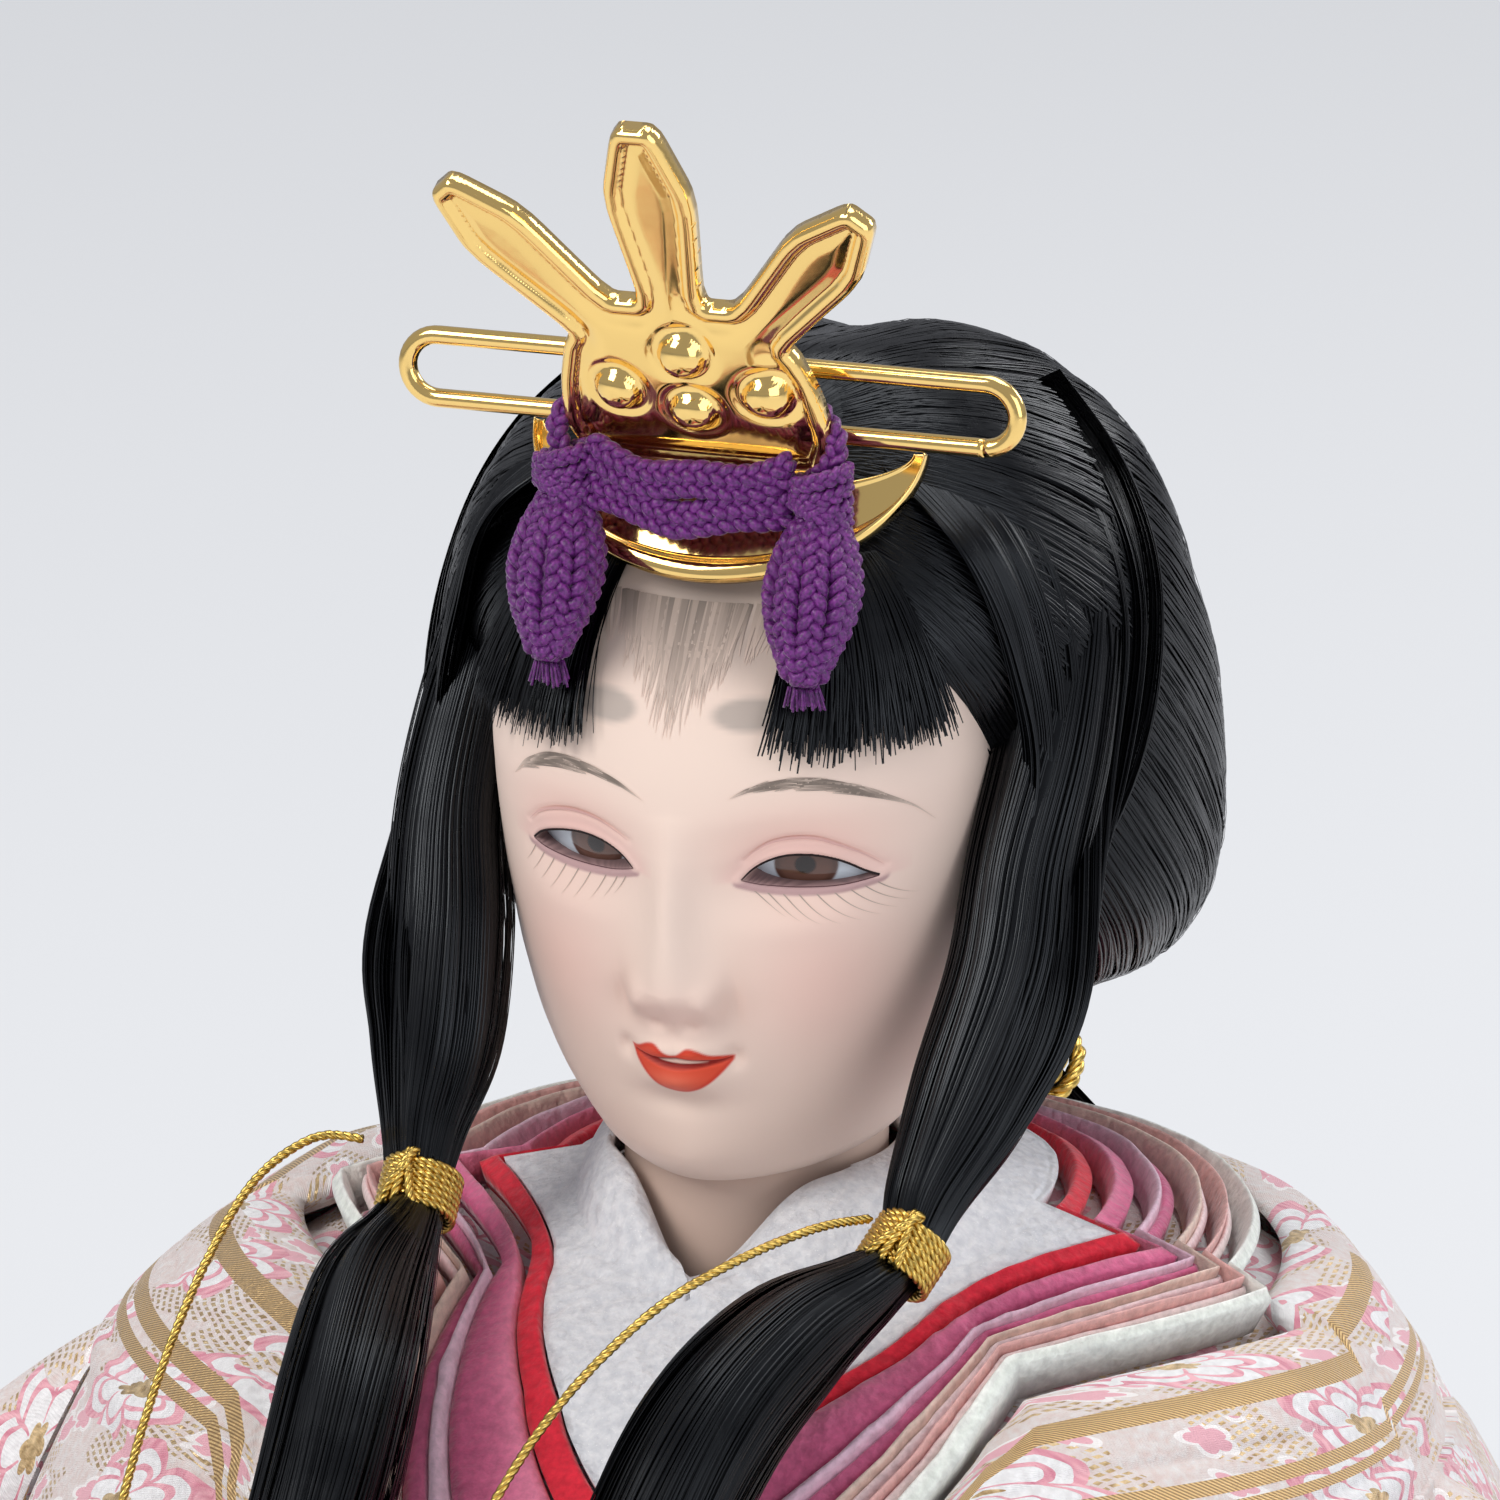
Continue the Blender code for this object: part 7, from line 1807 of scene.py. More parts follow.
def lock_piece(side):
    """Strands drawn together at the tie and loose again below it."""
    rng = np.random.default_rng(82 if side == "left" else 83)
    points, sizes = lock_line(side)
    tang, across, norm = frames_on(points)
    count, steps = 900, len(points)
    turn = rng.random(count) * 2 * math.pi
    deep = np.sqrt(rng.random(count))
    deep = np.where(rng.random(count) < 0.5, 0.9 + 0.12 * rng.random(count), deep)
    s = np.linspace(0, 1, steps)[None, :]
    swirl = turn[:, None] + 0.5 * s + 0.10 * np.sin(s * 9 + turn[:, None] * 3)
    bunch = 1 + 0.07 * np.sin(turn[:, None] * 7 + s * 4)
    r = sizes[None, :] * deep[:, None] * bunch
    r = r + 0.00022 * np.sin(s * (7 + 3 * rng.random((count, 1))) + turn[:, None] * 5) * (s > 0.5)
    P = (points[None] + across[None] * (r * np.cos(swirl))[..., None]
         + norm[None] * (r * np.sin(swirl) * 0.92)[..., None])
    # ragged ends: each strand stops short by its own length
    ends = 1 - 0.05 * rng.random(count)
    at = s * ends[:, None] * (steps - 1)
    i = np.minimum(at.astype(int), steps - 2)
    f = (at - i)[..., None]
    k = np.arange(count)[:, None]
    P = P[k, i] * (1 - f) + P[k, i + 1] * f
    middle = points[i] * (1 - f) + points[i + 1] * f
    N = unit(P - middle)
    width = rng.uniform(0.00012, 0.00020, count)[:, None] * np.ones_like(at)
    width = width * np.minimum(1, (1.02 - s) / 0.06)
    core_points, core_sizes = points[:-3], sizes[:-3] * 0.86
    verts, quads, tris = tube_mesh_data(core_points, core_sizes, 20)
    core = make_mesh(f"side_lock_{side}_core", verts, quads, hair_mat, "head", tris=tris,
                     replaces=[f"side_lock_{side}"], slot="hair")
    hair = strand_mesh(f"side_lock_{side}_hair", P, N, width)
    return [core, hair]


VEIL_STRANDS = 1500
VEIL_WAVE = 0.00045
# from the lock outward, and down over the temple
VEIL_LEVELS = [((0.0082, -0.0030, 0.0438), (0.0142, 0.0140, 0.0456)),
               ((0.0144, -0.0052, 0.0393), (0.0194, 0.0112, 0.0402)),
               ((0.0170, -0.0042, 0.0325), (0.0220, 0.0082, 0.0334)),
               ((0.0180, -0.0042, 0.0240), (0.0219, 0.0036, 0.0245))]
# points of the lock, and how far the veil lies from each
VEIL_ENDS = ((4, 0.0042), (5, 0.0038), (6, 0.0026), (7, 0.0019))


def veil_piece(side, sign):
    """Hair swept from the crown down over the temple, gathered into the lock's tie."""
    rng = np.random.default_rng(88 + sign)
    count = VEIL_STRANDS
    q = rng.random(count) ** 0.9
    path = []
    for near, far in VEIL_LEVELS:
        line = np.array(near) * (1 - q[:, None]) + np.array(far) * q[:, None]
        path.append(line * [sign, 1, 1])
    line = np.array(LOCKS[side])
    around = math.pi * (q * 1.25 - 0.25)
    for k, size in VEIL_ENDS:
        way = np.stack([np.sin(around) * sign, -np.cos(around) * 0.6, 0 * q], -1)
        path.append(line[k] + way * size)
    path = np.stack(path, 1) + [0, 0, CHIN]
    steps, fine = 9, []
    t = np.linspace(0, 1, steps, endpoint=False)[None, :, None]
    ext = np.concatenate([path[:, :1], path, path[:, -1:]], 1)
    for k in range(path.shape[1] - 1):
        fine.append(between(*(ext[:, k + n][:, None, :] for n in range(4)), t))
    P = np.concatenate(fine + [path[:, -1:]], 1)
    s = np.linspace(0, 1, P.shape[1])[None, :]
    middle = np.stack([0.0045 * sign + 0 * s[0], 0.0060 - 0.004 * s[0], 0 * s[0]], -1)
    N = P - middle[None]
    N[..., 2] = 0.002
    N = unit(N)
    lift = rng.uniform(-0.0003, 0.0007, count)[:, None] \
        + VEIL_WAVE * np.sin(q * 53)[:, None] * np.sin(s * math.pi)
    P = P + N * (lift * np.sin(np.pi * np.clip(s, 0, 0.9)))[..., None]
    width = rng.uniform(*STRAND_WIDTHS, count)[:, None] * np.ones_like(s)
    return strand_mesh(f"side_lock_{side}_veil", P, N, width)


HEAD_HALF_MM, HEAD_FRONT_MM, HEAD_HIGH_MM = 15.4, 14.8, 43.0


def head_skin(height, angle, off):
    """Places off the plain head, without features, as heights and angles."""
    rows = table_at(HEAD_ROWS, height)
    x = (rows[..., 0] * HEAD_HALF_MM + off) * np.sin(angle)
    y = -(rows[..., 1] * HEAD_FRONT_MM + off) * np.cos(angle)
    return tilted(np.stack([x, y, height * HEAD_HIGH_MM], -1) * MM)


FRINGE_STRANDS, FRINGE_STEPS = 620, 16
FRINGE_TOP = 0.925
FRINGE_ENDS = {"left": 0.712, "right": 0.702}


def fringe_piece(side, sign):
    """Short cut hair over the temple, fanned out, with a ragged end."""
    rng = np.random.default_rng(84 if sign > 0 else 85)
    count, steps = FRINGE_STRANDS, FRINGE_STEPS
    lane = rng.random(count)
    low = np.radians(22.0 + 44.0 * lane + rng.normal(0, 1.6, count))
    high = np.radians(28.0 + 36.0 * lane)
    s = np.linspace(0, 1, steps)[None, :]
    angle = sign * (high[:, None] + (low - high)[:, None] * s ** 1.2)
    end = FRINGE_ENDS[side] + rng.normal(0, 0.010, count) \
        + 0.012 * np.abs(rng.normal(0, 1, count)) + 0.016 * (1 - lane) ** 2
    height = FRINGE_TOP + (end[:, None] - FRINGE_TOP) * s
    off = 0.75 + rng.uniform(-0.25, 0.75, count)[:, None] + 0.45 * s ** 2 * rng.random((count, 1))
    P = head_skin(height, angle, off)
    N = unit(head_skin(height, angle, off + 1.0) - P)
    width = rng.uniform(*STRAND_WIDTHS, count)[:, None] * np.ones_like(s) * (1 - 0.45 * s ** 4)
    hair = strand_mesh(f"fringe_{side}_hair", P, N, width, replaces=[f"fringe_{side}"],
                       slot="hair")
    h = np.linspace(0.765, 0.90, 14)[:, None]
    a = sign * np.radians(np.linspace(30, 62, 24))[None, :]
    inner, outer = head_skin(h * np.ones_like(a), a * np.ones_like(h), 0.25), \
        head_skin(h * np.ones_like(a), a * np.ones_like(h), 0.65)
    ground = sheet_mesh(f"fringe_{side}_ground", inner, outer, hair_mat, "head", flip=sign < 0)
    return [hair, ground]


def tail_place(down, across, off):
    """The tail down the back: down runs from the nape, across from side to side."""
    top, low = 0.955, 0.42
    share = top + (low - top) * down
    widen = np.minimum(1.0, np.maximum(down, 0) * 3.0) ** 0.7
    half = math.radians(17.0) * (0.30 + 0.70 * widen)
    lie = 0.0026 + 0.0016 + jacket_off(share)
    return robe_point(math.pi + half * across, share, lie + off)


def tail_piece():
    rng = np.random.default_rng(86)
    count, steps = 1300, 60
    lane = rng.uniform(-1, 1, count)
    s = np.linspace(0, 1, steps)[None, :]
    across = lane[:, None] * (1 + 0.03 * np.sin(s * 6)) + 0.04 * np.sin(
        s * 7 + rng.random((count, 1)) * 6) * s
    down = s * (1 - 0.03 * rng.random((count, 1)))
    thick = 0.0036 * np.sqrt(np.clip(1.02 - across ** 2, 0.02, 1))
    deep = rng.random((count, 1)) ** 0.35
    off = 0.0018 + (deep - 0.5) * thick
    P = tail_place(down, across, off)
    N = unit(tail_place(down, across, off + 0.001) - P)
    root_t = np.linspace(0, 1, 12)[None, :, None]
    root = np.stack([-lane * 0.0050, 0.0310 + (deep[:, 0] - 0.5) * 0.0036,
                     np.full(count, CHIN + 0.0045)], -1)[:, None, :]
    lead = root * (1 - root_t) + P[:, :1] * root_t
    P = np.concatenate([lead[:, :-1], P], 1)
    N = np.concatenate([np.repeat(N[:, :1], 11, 1), N], 1)
    width = rng.uniform(0.00013, 0.00021, count)[:, None] * np.ones(P.shape[:2])
    hair = strand_mesh("back_hair_strands", P, N, width, replaces=["back_hair"], slot="hair")
    d, a = np.linspace(0, 0.96, 60)[:, None], np.linspace(-0.93, 0.93, 24)[None, :]
    inner = tail_place(d + 0 * a, a + 0 * d, np.full((60, 24), 0.0002))
    outer = tail_place(d + 0 * a, a + 0 * d, 0.0002 + 0.0026 * np.sqrt(1.0 - a ** 2) * (d * 0 + 1))
    ground = sheet_mesh("back_hair_ground", inner, outer, hair_mat, "head")
    return [hair, ground]


hair = hair_mass()
for side, sign in (("left", 1), ("right", -1)):
    hair += lock_piece(side)
    hair.append(veil_piece(side, sign))
    hair += fringe_piece(side, sign)
hair += tail_piece()


# Crown: crest, comb, hairpin, braid and tassels
CROWN = np.array([0.0, -0.003994, CHIN + 0.04265])
LEAN = math.radians(118.0)
CREST_UP = np.array([0.0, math.cos(LEAN), math.sin(LEAN)])
CREST_OUT = np.array([0.0, -math.sin(LEAN), math.cos(LEAN)])
CREST_FOOT = CROWN + np.array([0.0, -0.0054, 0.0036])
CREST_SHAPE = np.array([
    (-0.78, -0.10), (-0.90, 0.02), (-0.86, 0.16), (-0.78, 0.28), (-0.72, 0.32),
    (-1.30, 0.56), (-1.46, 0.74), (-1.30, 0.80), (-0.88, 0.70), (-0.42, 0.44),
    (-0.20, 0.44), (-0.30, 0.78), (-0.14, 1.0), (0.14, 1.0), (0.30, 0.78),
    (0.20, 0.44), (0.42, 0.44), (0.88, 0.70), (1.30, 0.80), (1.46, 0.74),
    (1.30, 0.56), (0.72, 0.32), (0.78, 0.28), (0.86, 0.16), (0.90, 0.02), (0.78, -0.10)])
CREST_SHAPE = CREST_SHAPE * np.array([9.2, 23.0])
BOSSES = [(0.37, 6.9), (-4.05, 3.9), (0.46, 2.8), (5.06, 4.1)]

mirror_gold = metal_mat("mirror_gold", (0.98, 0.68, 0.24), rough=0.05, scratch=0.03)


def crest_point(x, y, z):
    """A place of the crest, in mm across, up and out of its plate."""
    x, y, z = np.broadcast_arrays(x, y, z)
    return (CREST_FOOT + CREST_UP * (y * MM)[..., None] + CREST_OUT * (z * MM)[..., None]
            + np.array([1.0, 0, 0]) * (x * MM)[..., None])


def crest_piece():
    """Stamped plate: a rolled bright rim all round, tines dished, four bosses raised."""
    shape = CREST_SHAPE.copy()
    for _ in range(2):
        ahead, back = np.roll(shape, -1, 0), np.roll(shape, 1, 0)
        cut = [shape * 0.87 + back * 0.13, shape * 0.87 + ahead * 0.13]
        shape = np.stack(cut, 1).reshape(-1, 2)
    step = 0.13
    xs = np.arange(-14.2, 14.2, step)
    ys = np.arange(-3.0, 23.8, step)
    X, Y = np.meshgrid(xs, ys)
    d = depth_in(shape, X, Y)
    gy, gx = np.gradient(d, step)
    size = np.maximum(np.hypot(gx, gy), 0.3)
    out = (d < 0) & (d > -0.16)
    X = np.where(out, X - d * gx / size ** 2, X)
    Y = np.where(out, Y - d * gy / size ** 2, Y)
    d = np.where(out, 0.0, d)
    keep = d >= 0
    rim = np.clip(1 - ((d - 0.52) / 0.52) ** 2, 0, 1) ** 0.5 * 0.52
    body = hump(np.hypot(X / 8.2, (Y - 4.2) / 6.2), 0.9)
    height = np.where(d < 0.52, rim, np.maximum(rim, 0.10)) + 0.85 * body * step01(d, 0.4, 2.6)
    height = height + 0.16 * step01(d, 0.9, 2.0)
    for bx, by in BOSSES:
        r = np.hypot(X - bx, Y - by)
        height = height + 1.0 * np.sqrt(np.clip(1 - (r / 1.35) ** 2, 0, 1)) \
            - 0.18 * hump(r - 1.75, 0.35)
    front = crest_point(X, Y, 0.30 + height)
    back = crest_point(X, Y, -0.36 - 0.10 * rim)
    rows, cols = X.shape
    n = rows * cols
    faces = grid_faces(rows, cols)
    faces = faces[keep.reshape(-1)[faces].all(1)]
    rear = faces[:, ::-1] + n
    edges = np.concatenate([faces[:, [0, 1]], faces[:, [1, 2]], faces[:, [2, 3]], faces[:, [3, 0]]])
    key = np.sort(edges, 1)
    _, first, count = np.unique(key[:, 0] * n + key[:, 1], return_index=True, return_counts=True)
    rim_edges = edges[first[count == 1]]
    walls = np.stack([rim_edges[:, 1], rim_edges[:, 0], rim_edges[:, 0] + n, rim_edges[:, 1] + n], -1)
    verts = np.concatenate([front.reshape(-1, 3), back.reshape(-1, 3)])
    quads = np.concatenate([faces, rear, walls])
    used, inverse = np.unique(quads, return_inverse=True)
    return make_mesh("crest_plate", verts[used], inverse.reshape(-1, 4), mirror_gold, "head",
                     replaces=["crest"], slot="gold")


def hairpin_piece():
    run = 0.0188 - 0.0019
    points = []
    for sign, start in ((1, -90), (-1, 90)):
        for k in range(25):
            a = math.radians(start + 180 * k / 24)
            points.append((sign * run + 0.0019 * math.cos(a), -0.0042,
                           0.0057 + 0.0019 * math.sin(a)))
    points = np.array(points + points[:1]) + CROWN
    verts, quads, tris = tube_mesh_data(resample(points, 220), 0.00056, 20)
    return make_mesh("hairpin_rod", verts, quads, mirror_gold, "head", tris=tris,
                     replaces=["hairpin"], slot="gold")


def comb_piece():
    """A crescent wrapped round the front of the hair, with a rolled outer rim."""
    lean = math.radians(26.0)
    normal = np.array([0.0, -math.cos(lean), math.sin(lean)])
    a = np.linspace(0, math.pi, 160)[None, :]
    part = np.linspace(0, 1, 34)[:, None]
    wide = 0.0122 * (0.94 + 0.06 * part)
    deep = 0.0022 + (0.0080 - 0.0022) * part
    x = wide * np.cos(a)
    down = deep * np.sin(a)
    base = np.stack([x, -0.0028 - down * math.sin(lean) + 0.0026 * (x / 0.0122) ** 2,
                     0.0019 - down * math.cos(lean)], -1) + CROWN
    rim = np.clip(1 - ((part - 0.88) / 0.12) ** 2, 0, 1) ** 0.5 * 0.00045
    low = np.clip(1 - ((part - 0.06) / 0.06) ** 2, 0, 1) ** 0.5 * 0.00020
    stand = 0.00045 + np.maximum(rim, low) + 0.0 * a
    outer = base + normal * stand[..., None]
    return sheet_mesh("comb_plate", base, outer, mirror_gold, "head", replaces=["comb"],
                      slot="gold")


cord_purple = Mat("cord_purple", Roughness=0.42)
cord_purple.set(Sheen_Weight=0.35, Sheen_Roughness=0.3, Specular_IOR_Level=0.55)
fibre = cord_purple.noise(5200.0, detail=2.0)
hue = cord_purple.mix(cord_purple.range(fibre, 0.3, 0.7), (0.055, 0.005, 0.085), (0.21, 0.022, 0.25))
cord_purple.to("Base Color", hue)
cord_purple.bump(fibre, 0.5, 0.00012)
cord_purple = cord_purple.mat


def plait(bag, path, outward, width, thick, pitch, strand, spin=0.0, sides=8):
    """Three strands plaited flat along a path, its face towards outward."""
    path = np.asarray(path, float)
    tang = unit(np.gradient(path, axis=0))
    out = np.broadcast_to(outward, path.shape)
    side = unit(np.cross(tang, out))
    up = np.cross(side, tang)
    seg = np.linalg.norm(np.diff(path, axis=0), axis=1)
    s = np.concatenate([[0], np.cumsum(seg)])
    for k in range(3):
        phase = 2 * math.pi * (s / pitch + k / 3) + spin
        line = path + side * (width * np.sin(phase))[:, None] \
            + up * (thick * np.sin(2 * phase))[:, None]
        bag.tube(line, strand, sides, squash=0.9)


def braid_piece(name, row, node):
    """One braid across the crest: two plaits side by side, herring-boned."""
    bag = Bag()
    t = np.linspace(-1.12, 1.12, 120)
    wave = 0.00022 * np.sin(t * 5 + row)
    points = np.stack([t * 0.0055, -0.0082 + 0.0008 * t * t,
                       0.0010 + row * 0.00105 - 0.0008 * (1 - t * t) + wave], -1) + CROWN
    out = unit(np.array([0.0, -0.8, 0.25]))
    for shift in (-0.00044, 0.00044):
        plait(bag, points + np.array([0, 0, shift]), out, 0.00042, 0.00026, 0.0026, 0.00034,
              spin=0.0 if shift < 0 else math.pi)
    return bag.mesh(name, cord_purple, "head", replaces=[node], slot="purple")


TASSEL_OUT, TASSEL_FRONT, TASSEL_UP = 0.0079, -0.0070, 0.0010
TASSEL_LONG, TASSEL_RADIUS, TASSEL_LEAN = 0.0088, 0.00235, 0.0030
TASSEL_LOBES, TASSEL_FRAYS = 9, 46


def tassel_piece(side, sign):
    """A wrapped knot, the cord's riser behind it, and a bulb of braided loops."""
    rng = np.random.default_rng(90 + sign)
    bag = Bag()
    top = CROWN + np.array([sign * TASSEL_OUT, TASSEL_FRONT, TASSEL_UP])
    # turns of the knot
    for k in range(4):
        a = np.linspace(0, 2 * math.pi, 60)
        tilt = 0.35 * (k - 1.5)
        ring = np.stack([0.00155 * np.cos(a), 0.00125 * np.sin(a),
                         (k - 1.5) * 0.00062 + 0.0005 * np.sin(a + tilt * 3)], -1)
        way = np.stack([np.cos(a), np.sin(a), np.zeros_like(a)], -1)
        plait(bag, top + ring, way, 0.00030, 0.00020, 0.0021, 0.00026, spin=k)
    # riser that goes up behind the plate's lower corner
    t = np.linspace(0, 1, 50)
    riser = np.stack([-sign * 0.0006 * t + sign * 0.0010 * np.sin(t * math.pi), 0.0016 * t,
                      0.0010 + 0.0034 * t], -1) + top
    plait(bag, riser, np.array([0.0, -1.0, 0.2]), 0.00040, 0.00026, 0.0026, 0.00032)
    # loops of the bulb
    for k in range(TASSEL_LOBES):
        b = 2 * math.pi * (k + 0.5 * rng.random() * 0.5) / TASSEL_LOBES
        t = np.linspace(0, 1, 90)
        swell = 0.30 + 0.70 * np.sin(math.pi * np.clip(0.04 + t * 0.96, 0, 1) ** 0.92)
        swell = np.where(t > 0.82, np.maximum(swell, 0.34), swell)
        reach = TASSEL_RADIUS * swell
        lean = -TASSEL_LEAN * t
        twist = b + 0.12 * math.sin(k) * t
        points = np.stack([reach * np.cos(twist), reach * 0.86 * np.sin(twist) + lean,
                           -0.0016 - t * TASSEL_LONG * (1 - 0.05 * rng.random())], -1) + top
        way = np.stack([np.cos(twist), np.sin(twist), 0 * t], -1)
        plait(bag, points, way, 0.00050, 0.00030, 0.0025, 0.00037, spin=k * 1.3)
    # frayed ends under the bulb
    for k in range(TASSEL_FRAYS):
        b = rng.random() * 2 * math.pi
        r = 0.0009 * math.sqrt(rng.random())
        t = np.linspace(0, 1, 6)[:, None]
        start = top + np.array([r * math.cos(b), r * math.sin(b) - 0.0028, -0.0108])
        end = start + np.array([r * math.cos(b) * 0.5, 0.0002 * rng.normal(),
                                -0.0010 - 0.0005 * rng.random()])
        bag.tube(start * (1 - t) + end * t, 0.00008, 4)
    verts, quads, tris = tube_mesh_data(
        np.stack([np.zeros(12), -0.0030 * np.linspace(0, 1, 12),
                  -0.0010 - np.linspace(0, 1, 12) * 0.0098], -1) + top,
        0.0019 * np.sin(math.pi * np.linspace(0.06, 0.94, 12)) ** 0.6, 16)
    bag.add(verts, quads, tris)
    return bag.mesh(f"tassel_{side}_loops", cord_purple, "head", replaces=[f"tassel_{side}"],
                    slot="purple")


crest_piece()
hairpin_piece()
comb_piece()
braid_piece("braid_upper", 1, "crest_cord_upper")
braid_piece("braid_lower", -1, "crest_cord_lower")
tassel_piece("left", 1)
tassel_piece("right", -1)


# Gold thread: ties wound round the hair, and their loose ends
def rope(bag, path, radius, pitch=0.0016, count=3, sides=6):
    """Strands laid up in one thread along a path."""
    tang, side, norm = frames_on(path)
    seg = np.linalg.norm(np.diff(path, axis=0), axis=1)
    s = np.concatenate([[0], np.cumsum(seg)])
    for k in range(count):
        a = 2 * math.pi * (s / pitch + k / count)
        line = path + (side * np.cos(a)[:, None] + norm * np.sin(a)[:, None]) * radius * 0.50
        bag.tube(line, radius * 0.54, sides)


def fine_path(path, step=0.00022):
    length = np.linalg.norm(np.diff(path, axis=0), axis=1).sum()
    return resample(path, int(length / step))


TIE_TURNS, TIE_WIDE, TIE_RADIUS, TIE_WIRE = 7, 0.0030, 0.00222, 0.00030


def lock_tie_piece(side):
    """Seven turns of thread round the lock's waist, crossed by a knot in front."""
    bag = Bag()
    line = np.array(LOCKS[side]) + [0, 0, CHIN]
    middle = line[7]
    along = unit(line[8] - line[6])
    out = unit(np.array([0.0, -1.0, 0.25]) - along * np.dot([0.0, -1.0, 0.25], along))
    across = np.cross(along, out)
    a = np.linspace(0, 2 * math.pi * TIE_TURNS, 900)
    place = (a / a[-1] - 0.5) * TIE_WIDE
    points = middle + along * place[:, None] + (out * np.cos(a)[:, None]
                                                + across * np.sin(a)[:, None]) * TIE_RADIUS
    rope(bag, points, TIE_WIRE)
    for lean in (-0.5, 0.35, 0.9):
        b = np.linspace(0, 2 * math.pi, 90)
        ring = middle + out * 0.0023 + out * (0.00045 * np.cos(b))[:, None] \
            + along * (0.0017 * np.sin(b))[:, None] + across * (0.0008 * lean * np.sin(b))[:, None]
        ring = ring + across * (0.0005 * lean)
        rope(bag, ring, 0.00028)
    return bag.mesh(f"lock_tie_{side}_thread", thread_gold, "head", replaces=[f"lock_tie_{side}"],
                    slot="thread")


CORD_ROUTES = {
    "left": [
        (0.01345, -0.0179, 0.0024), (0.0116, -0.0224, 0.0031), (0.0086, -0.0282, 0.0026),
        (0.0052, -0.0330, 0.0006), (0.0014, -0.0380, -0.0040), (-0.0016, -0.0424, -0.0104),
        (-0.0034, -0.0460, -0.0180), (-0.0044, -0.0490, -0.0270), (-0.0048, -0.0514, -0.0364),
    ],
    "right": [
        (-0.0196, -0.0148, 0.0022), (-0.0222, -0.0160, 0.0024), (-0.0246, -0.0196, 0.0006),
        (-0.0258, -0.0244, -0.0032), (-0.0262, -0.0300, -0.0078), (-0.0262, -0.0352, -0.0130),
        (-0.0260, -0.0404, -0.0196), (-0.0256, -0.0450, -0.0280), (-0.0254, -0.0488, -0.0372),
    ],
}


def cord_piece(side):
    route = smooth_line(np.array(CORD_ROUTES[side]) + [0, 0, CHIN], 4)
    bag = Bag()
    rope(bag, fine_path(route), 0.00029)
    piece = bag.mesh(f"lock_cord_{side}_thread", thread_gold, "head",
                     replaces=[f"lock_cord_{side}"], slot="thread")
    return piece


def nape_tie_piece():
    """A band of cords round the neck of the tail."""
    down = (0.955 - 0.945) / (0.955 - 0.42)
    bag = Bag()
    for level in (-0.9, 0.0, 0.9):
        t = np.linspace(0, 2 * math.pi, 260)
        wide = 1.28 + 0.04 * level
        across = wide * np.sign(np.sin(t)) * np.abs(np.sin(t)) ** 0.7
        off = 0.0018 - 0.0032 * np.sign(np.cos(t)) * np.abs(np.cos(t)) ** 0.8
        d = np.full_like(t, down) + level * 0.011
        points = tail_place(d, across, off)
        rope(bag, points, 0.00055, pitch=0.0030)
    return bag.mesh("nape_tie_cords", thread_gold, "head", replaces=["nape_tie"], slot="thread")


for side in LOCKS:
    lock_tie_piece(side)
for side in LOCKS:
    cord_piece(side)
nape_tie_piece()


# Hands, and finishes of the CAD pieces that stay
gypsum = Mat("gypsum_white", Roughness=0.55)
gypsum.to("Base Color", gypsum.mix(gypsum.noise(500.0), (0.78, 0.66, 0.58), (0.86, 0.75, 0.67)))
gypsum = gypsum.mat
paper = cloth_mat("washi_paper", (0.80, 0.76, 0.66), (0.66, 0.60, 0.48), 0.8, rough=0.8)
straw = wood_mat("bound_straw", (0.78, 0.62, 0.34), (0.56, 0.40, 0.18))
fan_wood = wood_mat("fan_cypress", (0.84, 0.70, 0.50), (0.70, 0.54, 0.34))


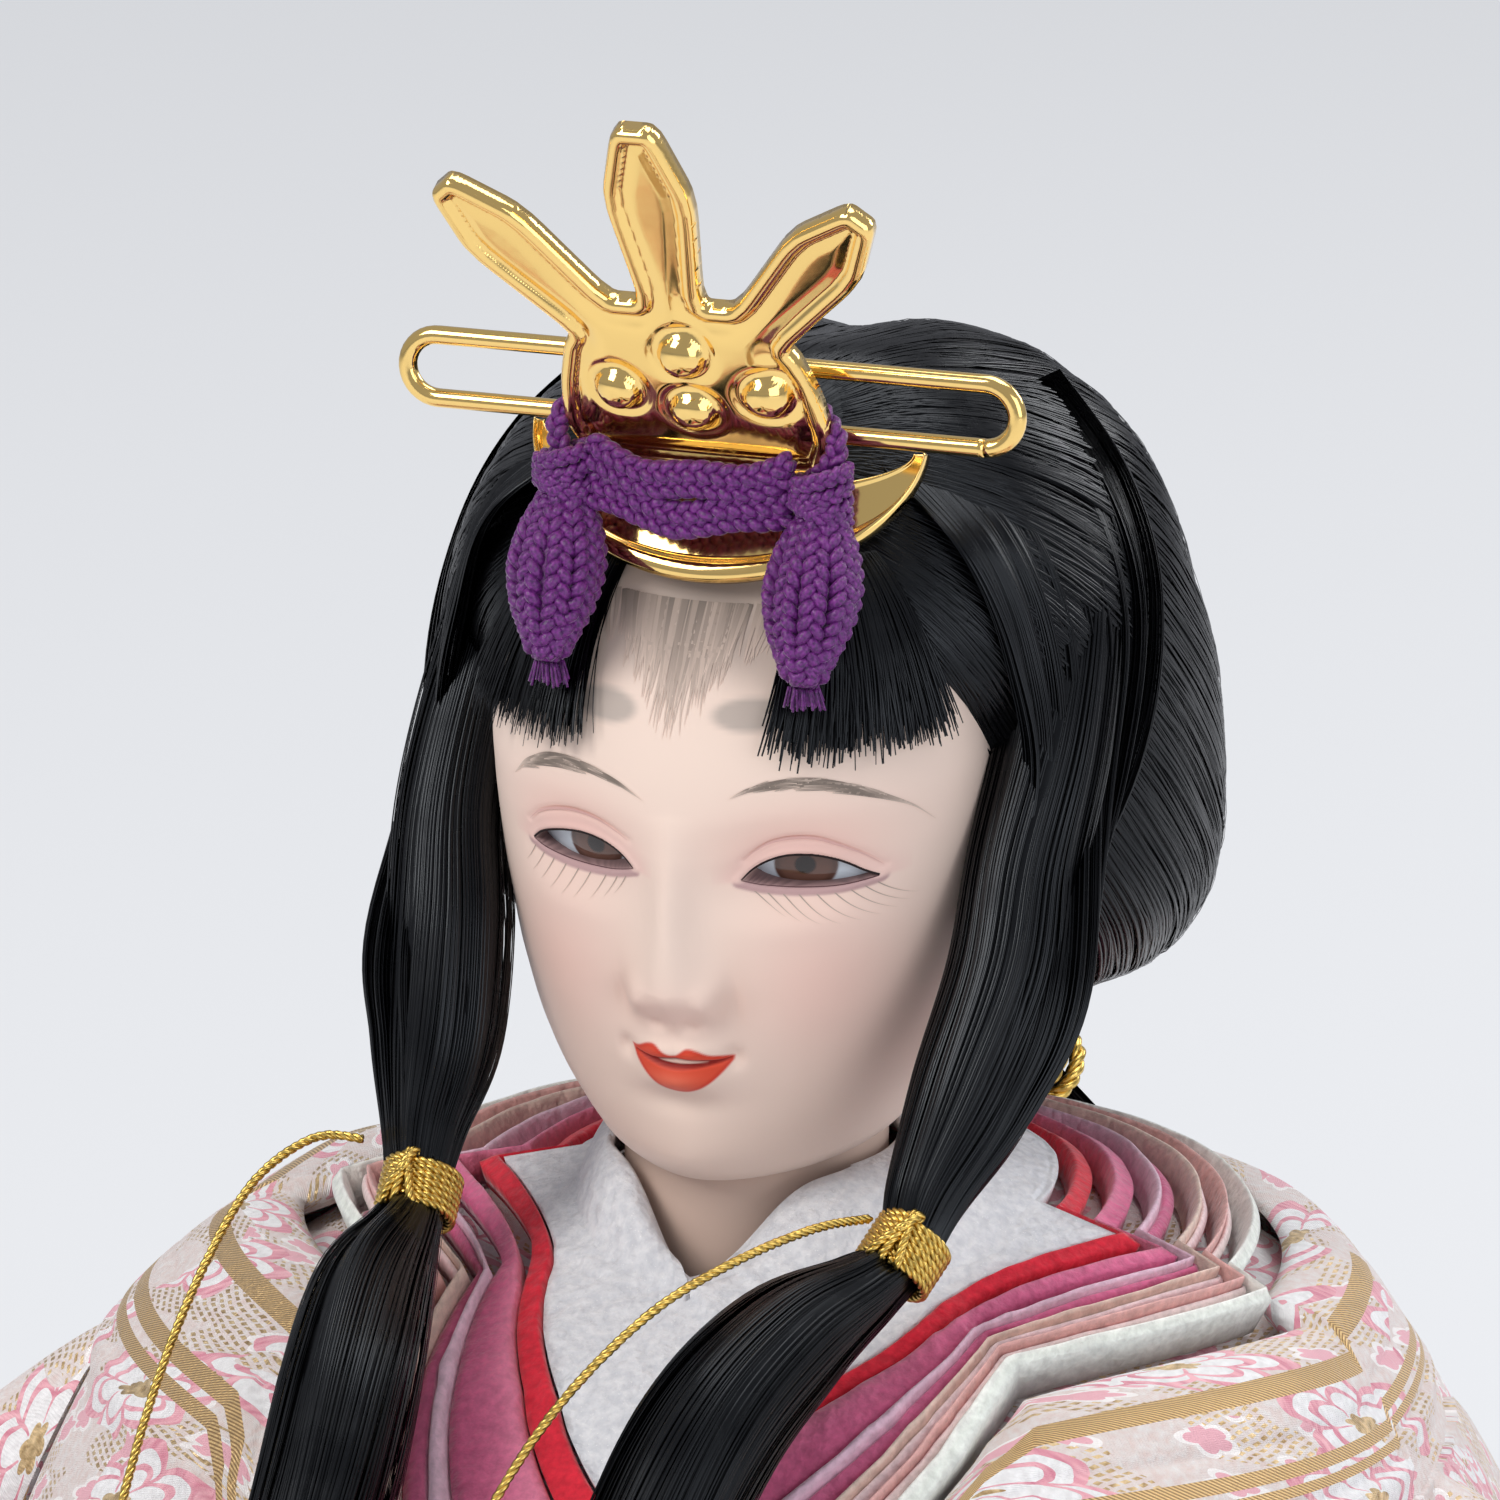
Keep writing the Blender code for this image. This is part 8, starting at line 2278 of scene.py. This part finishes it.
def hand_piece(side, sign):
    """A gypsum palm with four slim fingers."""
    wrist = np.array([0.36 * 0.050, -1.446 * 0.052, 0.5538 * 0.145])
    tip = np.array([0.0, -1.4655 * 0.052, 0.5448 * 0.145])
    along = unit(tip - wrist)
    start = wrist + along * 0.0003
    wide = np.array([0, 0, 1.0]) - along * along[2]
    wide = unit(wide)
    deep = np.cross(along, wide)
    bag = Bag()
    t = np.linspace(0, 1, 16)
    w = np.interp(t, [0, 0.35, 0.75, 1.0], [0.55, 0.85, 1.0, 0.9])
    d = np.interp(t, [0, 0.35, 0.75, 1.0], [0.9, 1.0, 0.9, 0.7])
    a = np.arange(28) / 28 * 2 * math.pi
    P = ((start + along * (0.0115 * t)[:, None])[:, None, :]
         + wide * (0.0033 * w[:, None] * np.cos(a)[None])[..., None]
         + deep * (0.0016 * d[:, None] * np.sin(a)[None])[..., None])
    ends = [P[:1] * 0.05 + P[:1].mean(1, keepdims=True) * 0.95,
            P[-1:] * 0.05 + P[-1:].mean(1, keepdims=True) * 0.95]
    P = np.concatenate([ends[0], P, ends[1]])
    bag.add(P.reshape(-1, 3), grid_faces(len(P), 28, wrap_cols=True, flip=sign < 0))
    for k in range(4):
        lift = (k - 1.5) * 0.0008 * 1.9
        foot = start + along * 0.0092 + wide * lift
        s = np.linspace(0, 1, 14)
        line = foot + along * (0.0070 * s)[:, None]
        radii = 0.0008 * np.interp(s, [0, 0.6, 0.92, 1.0], [1.0, 0.92, 0.66, 0.30])
        verts, quads, tris = tube_mesh_data(line, radii, 14)
        bag.add(verts, quads if sign > 0 else quads[:, ::-1], tris if sign > 0 else tris[:, ::-1])
    for verts in bag.verts:
        verts[:, 0] *= sign
    return bag.mesh(f"hand_{side}_gypsum", gypsum, "torso", replaces=[f"hand_{side}"],
                    slot="skin")


hand_piece("left", 1)
hand_piece("right", -1)
FINISHES = {"base_board": plain_wood, "straw_core": straw, "neck_wrap": paper,
            "neck_peg": plain_wood, "arm_wire": paper, "fan_rivet": gold_plate}
FINISHES.update({f"fan_blade_{n}": fan_wood for n in range(1, 8)})
for name, finish in FINISHES.items():
    mesh = bpy.data.objects[name].data
    mesh.materials.clear()
    mesh.materials.append(finish)
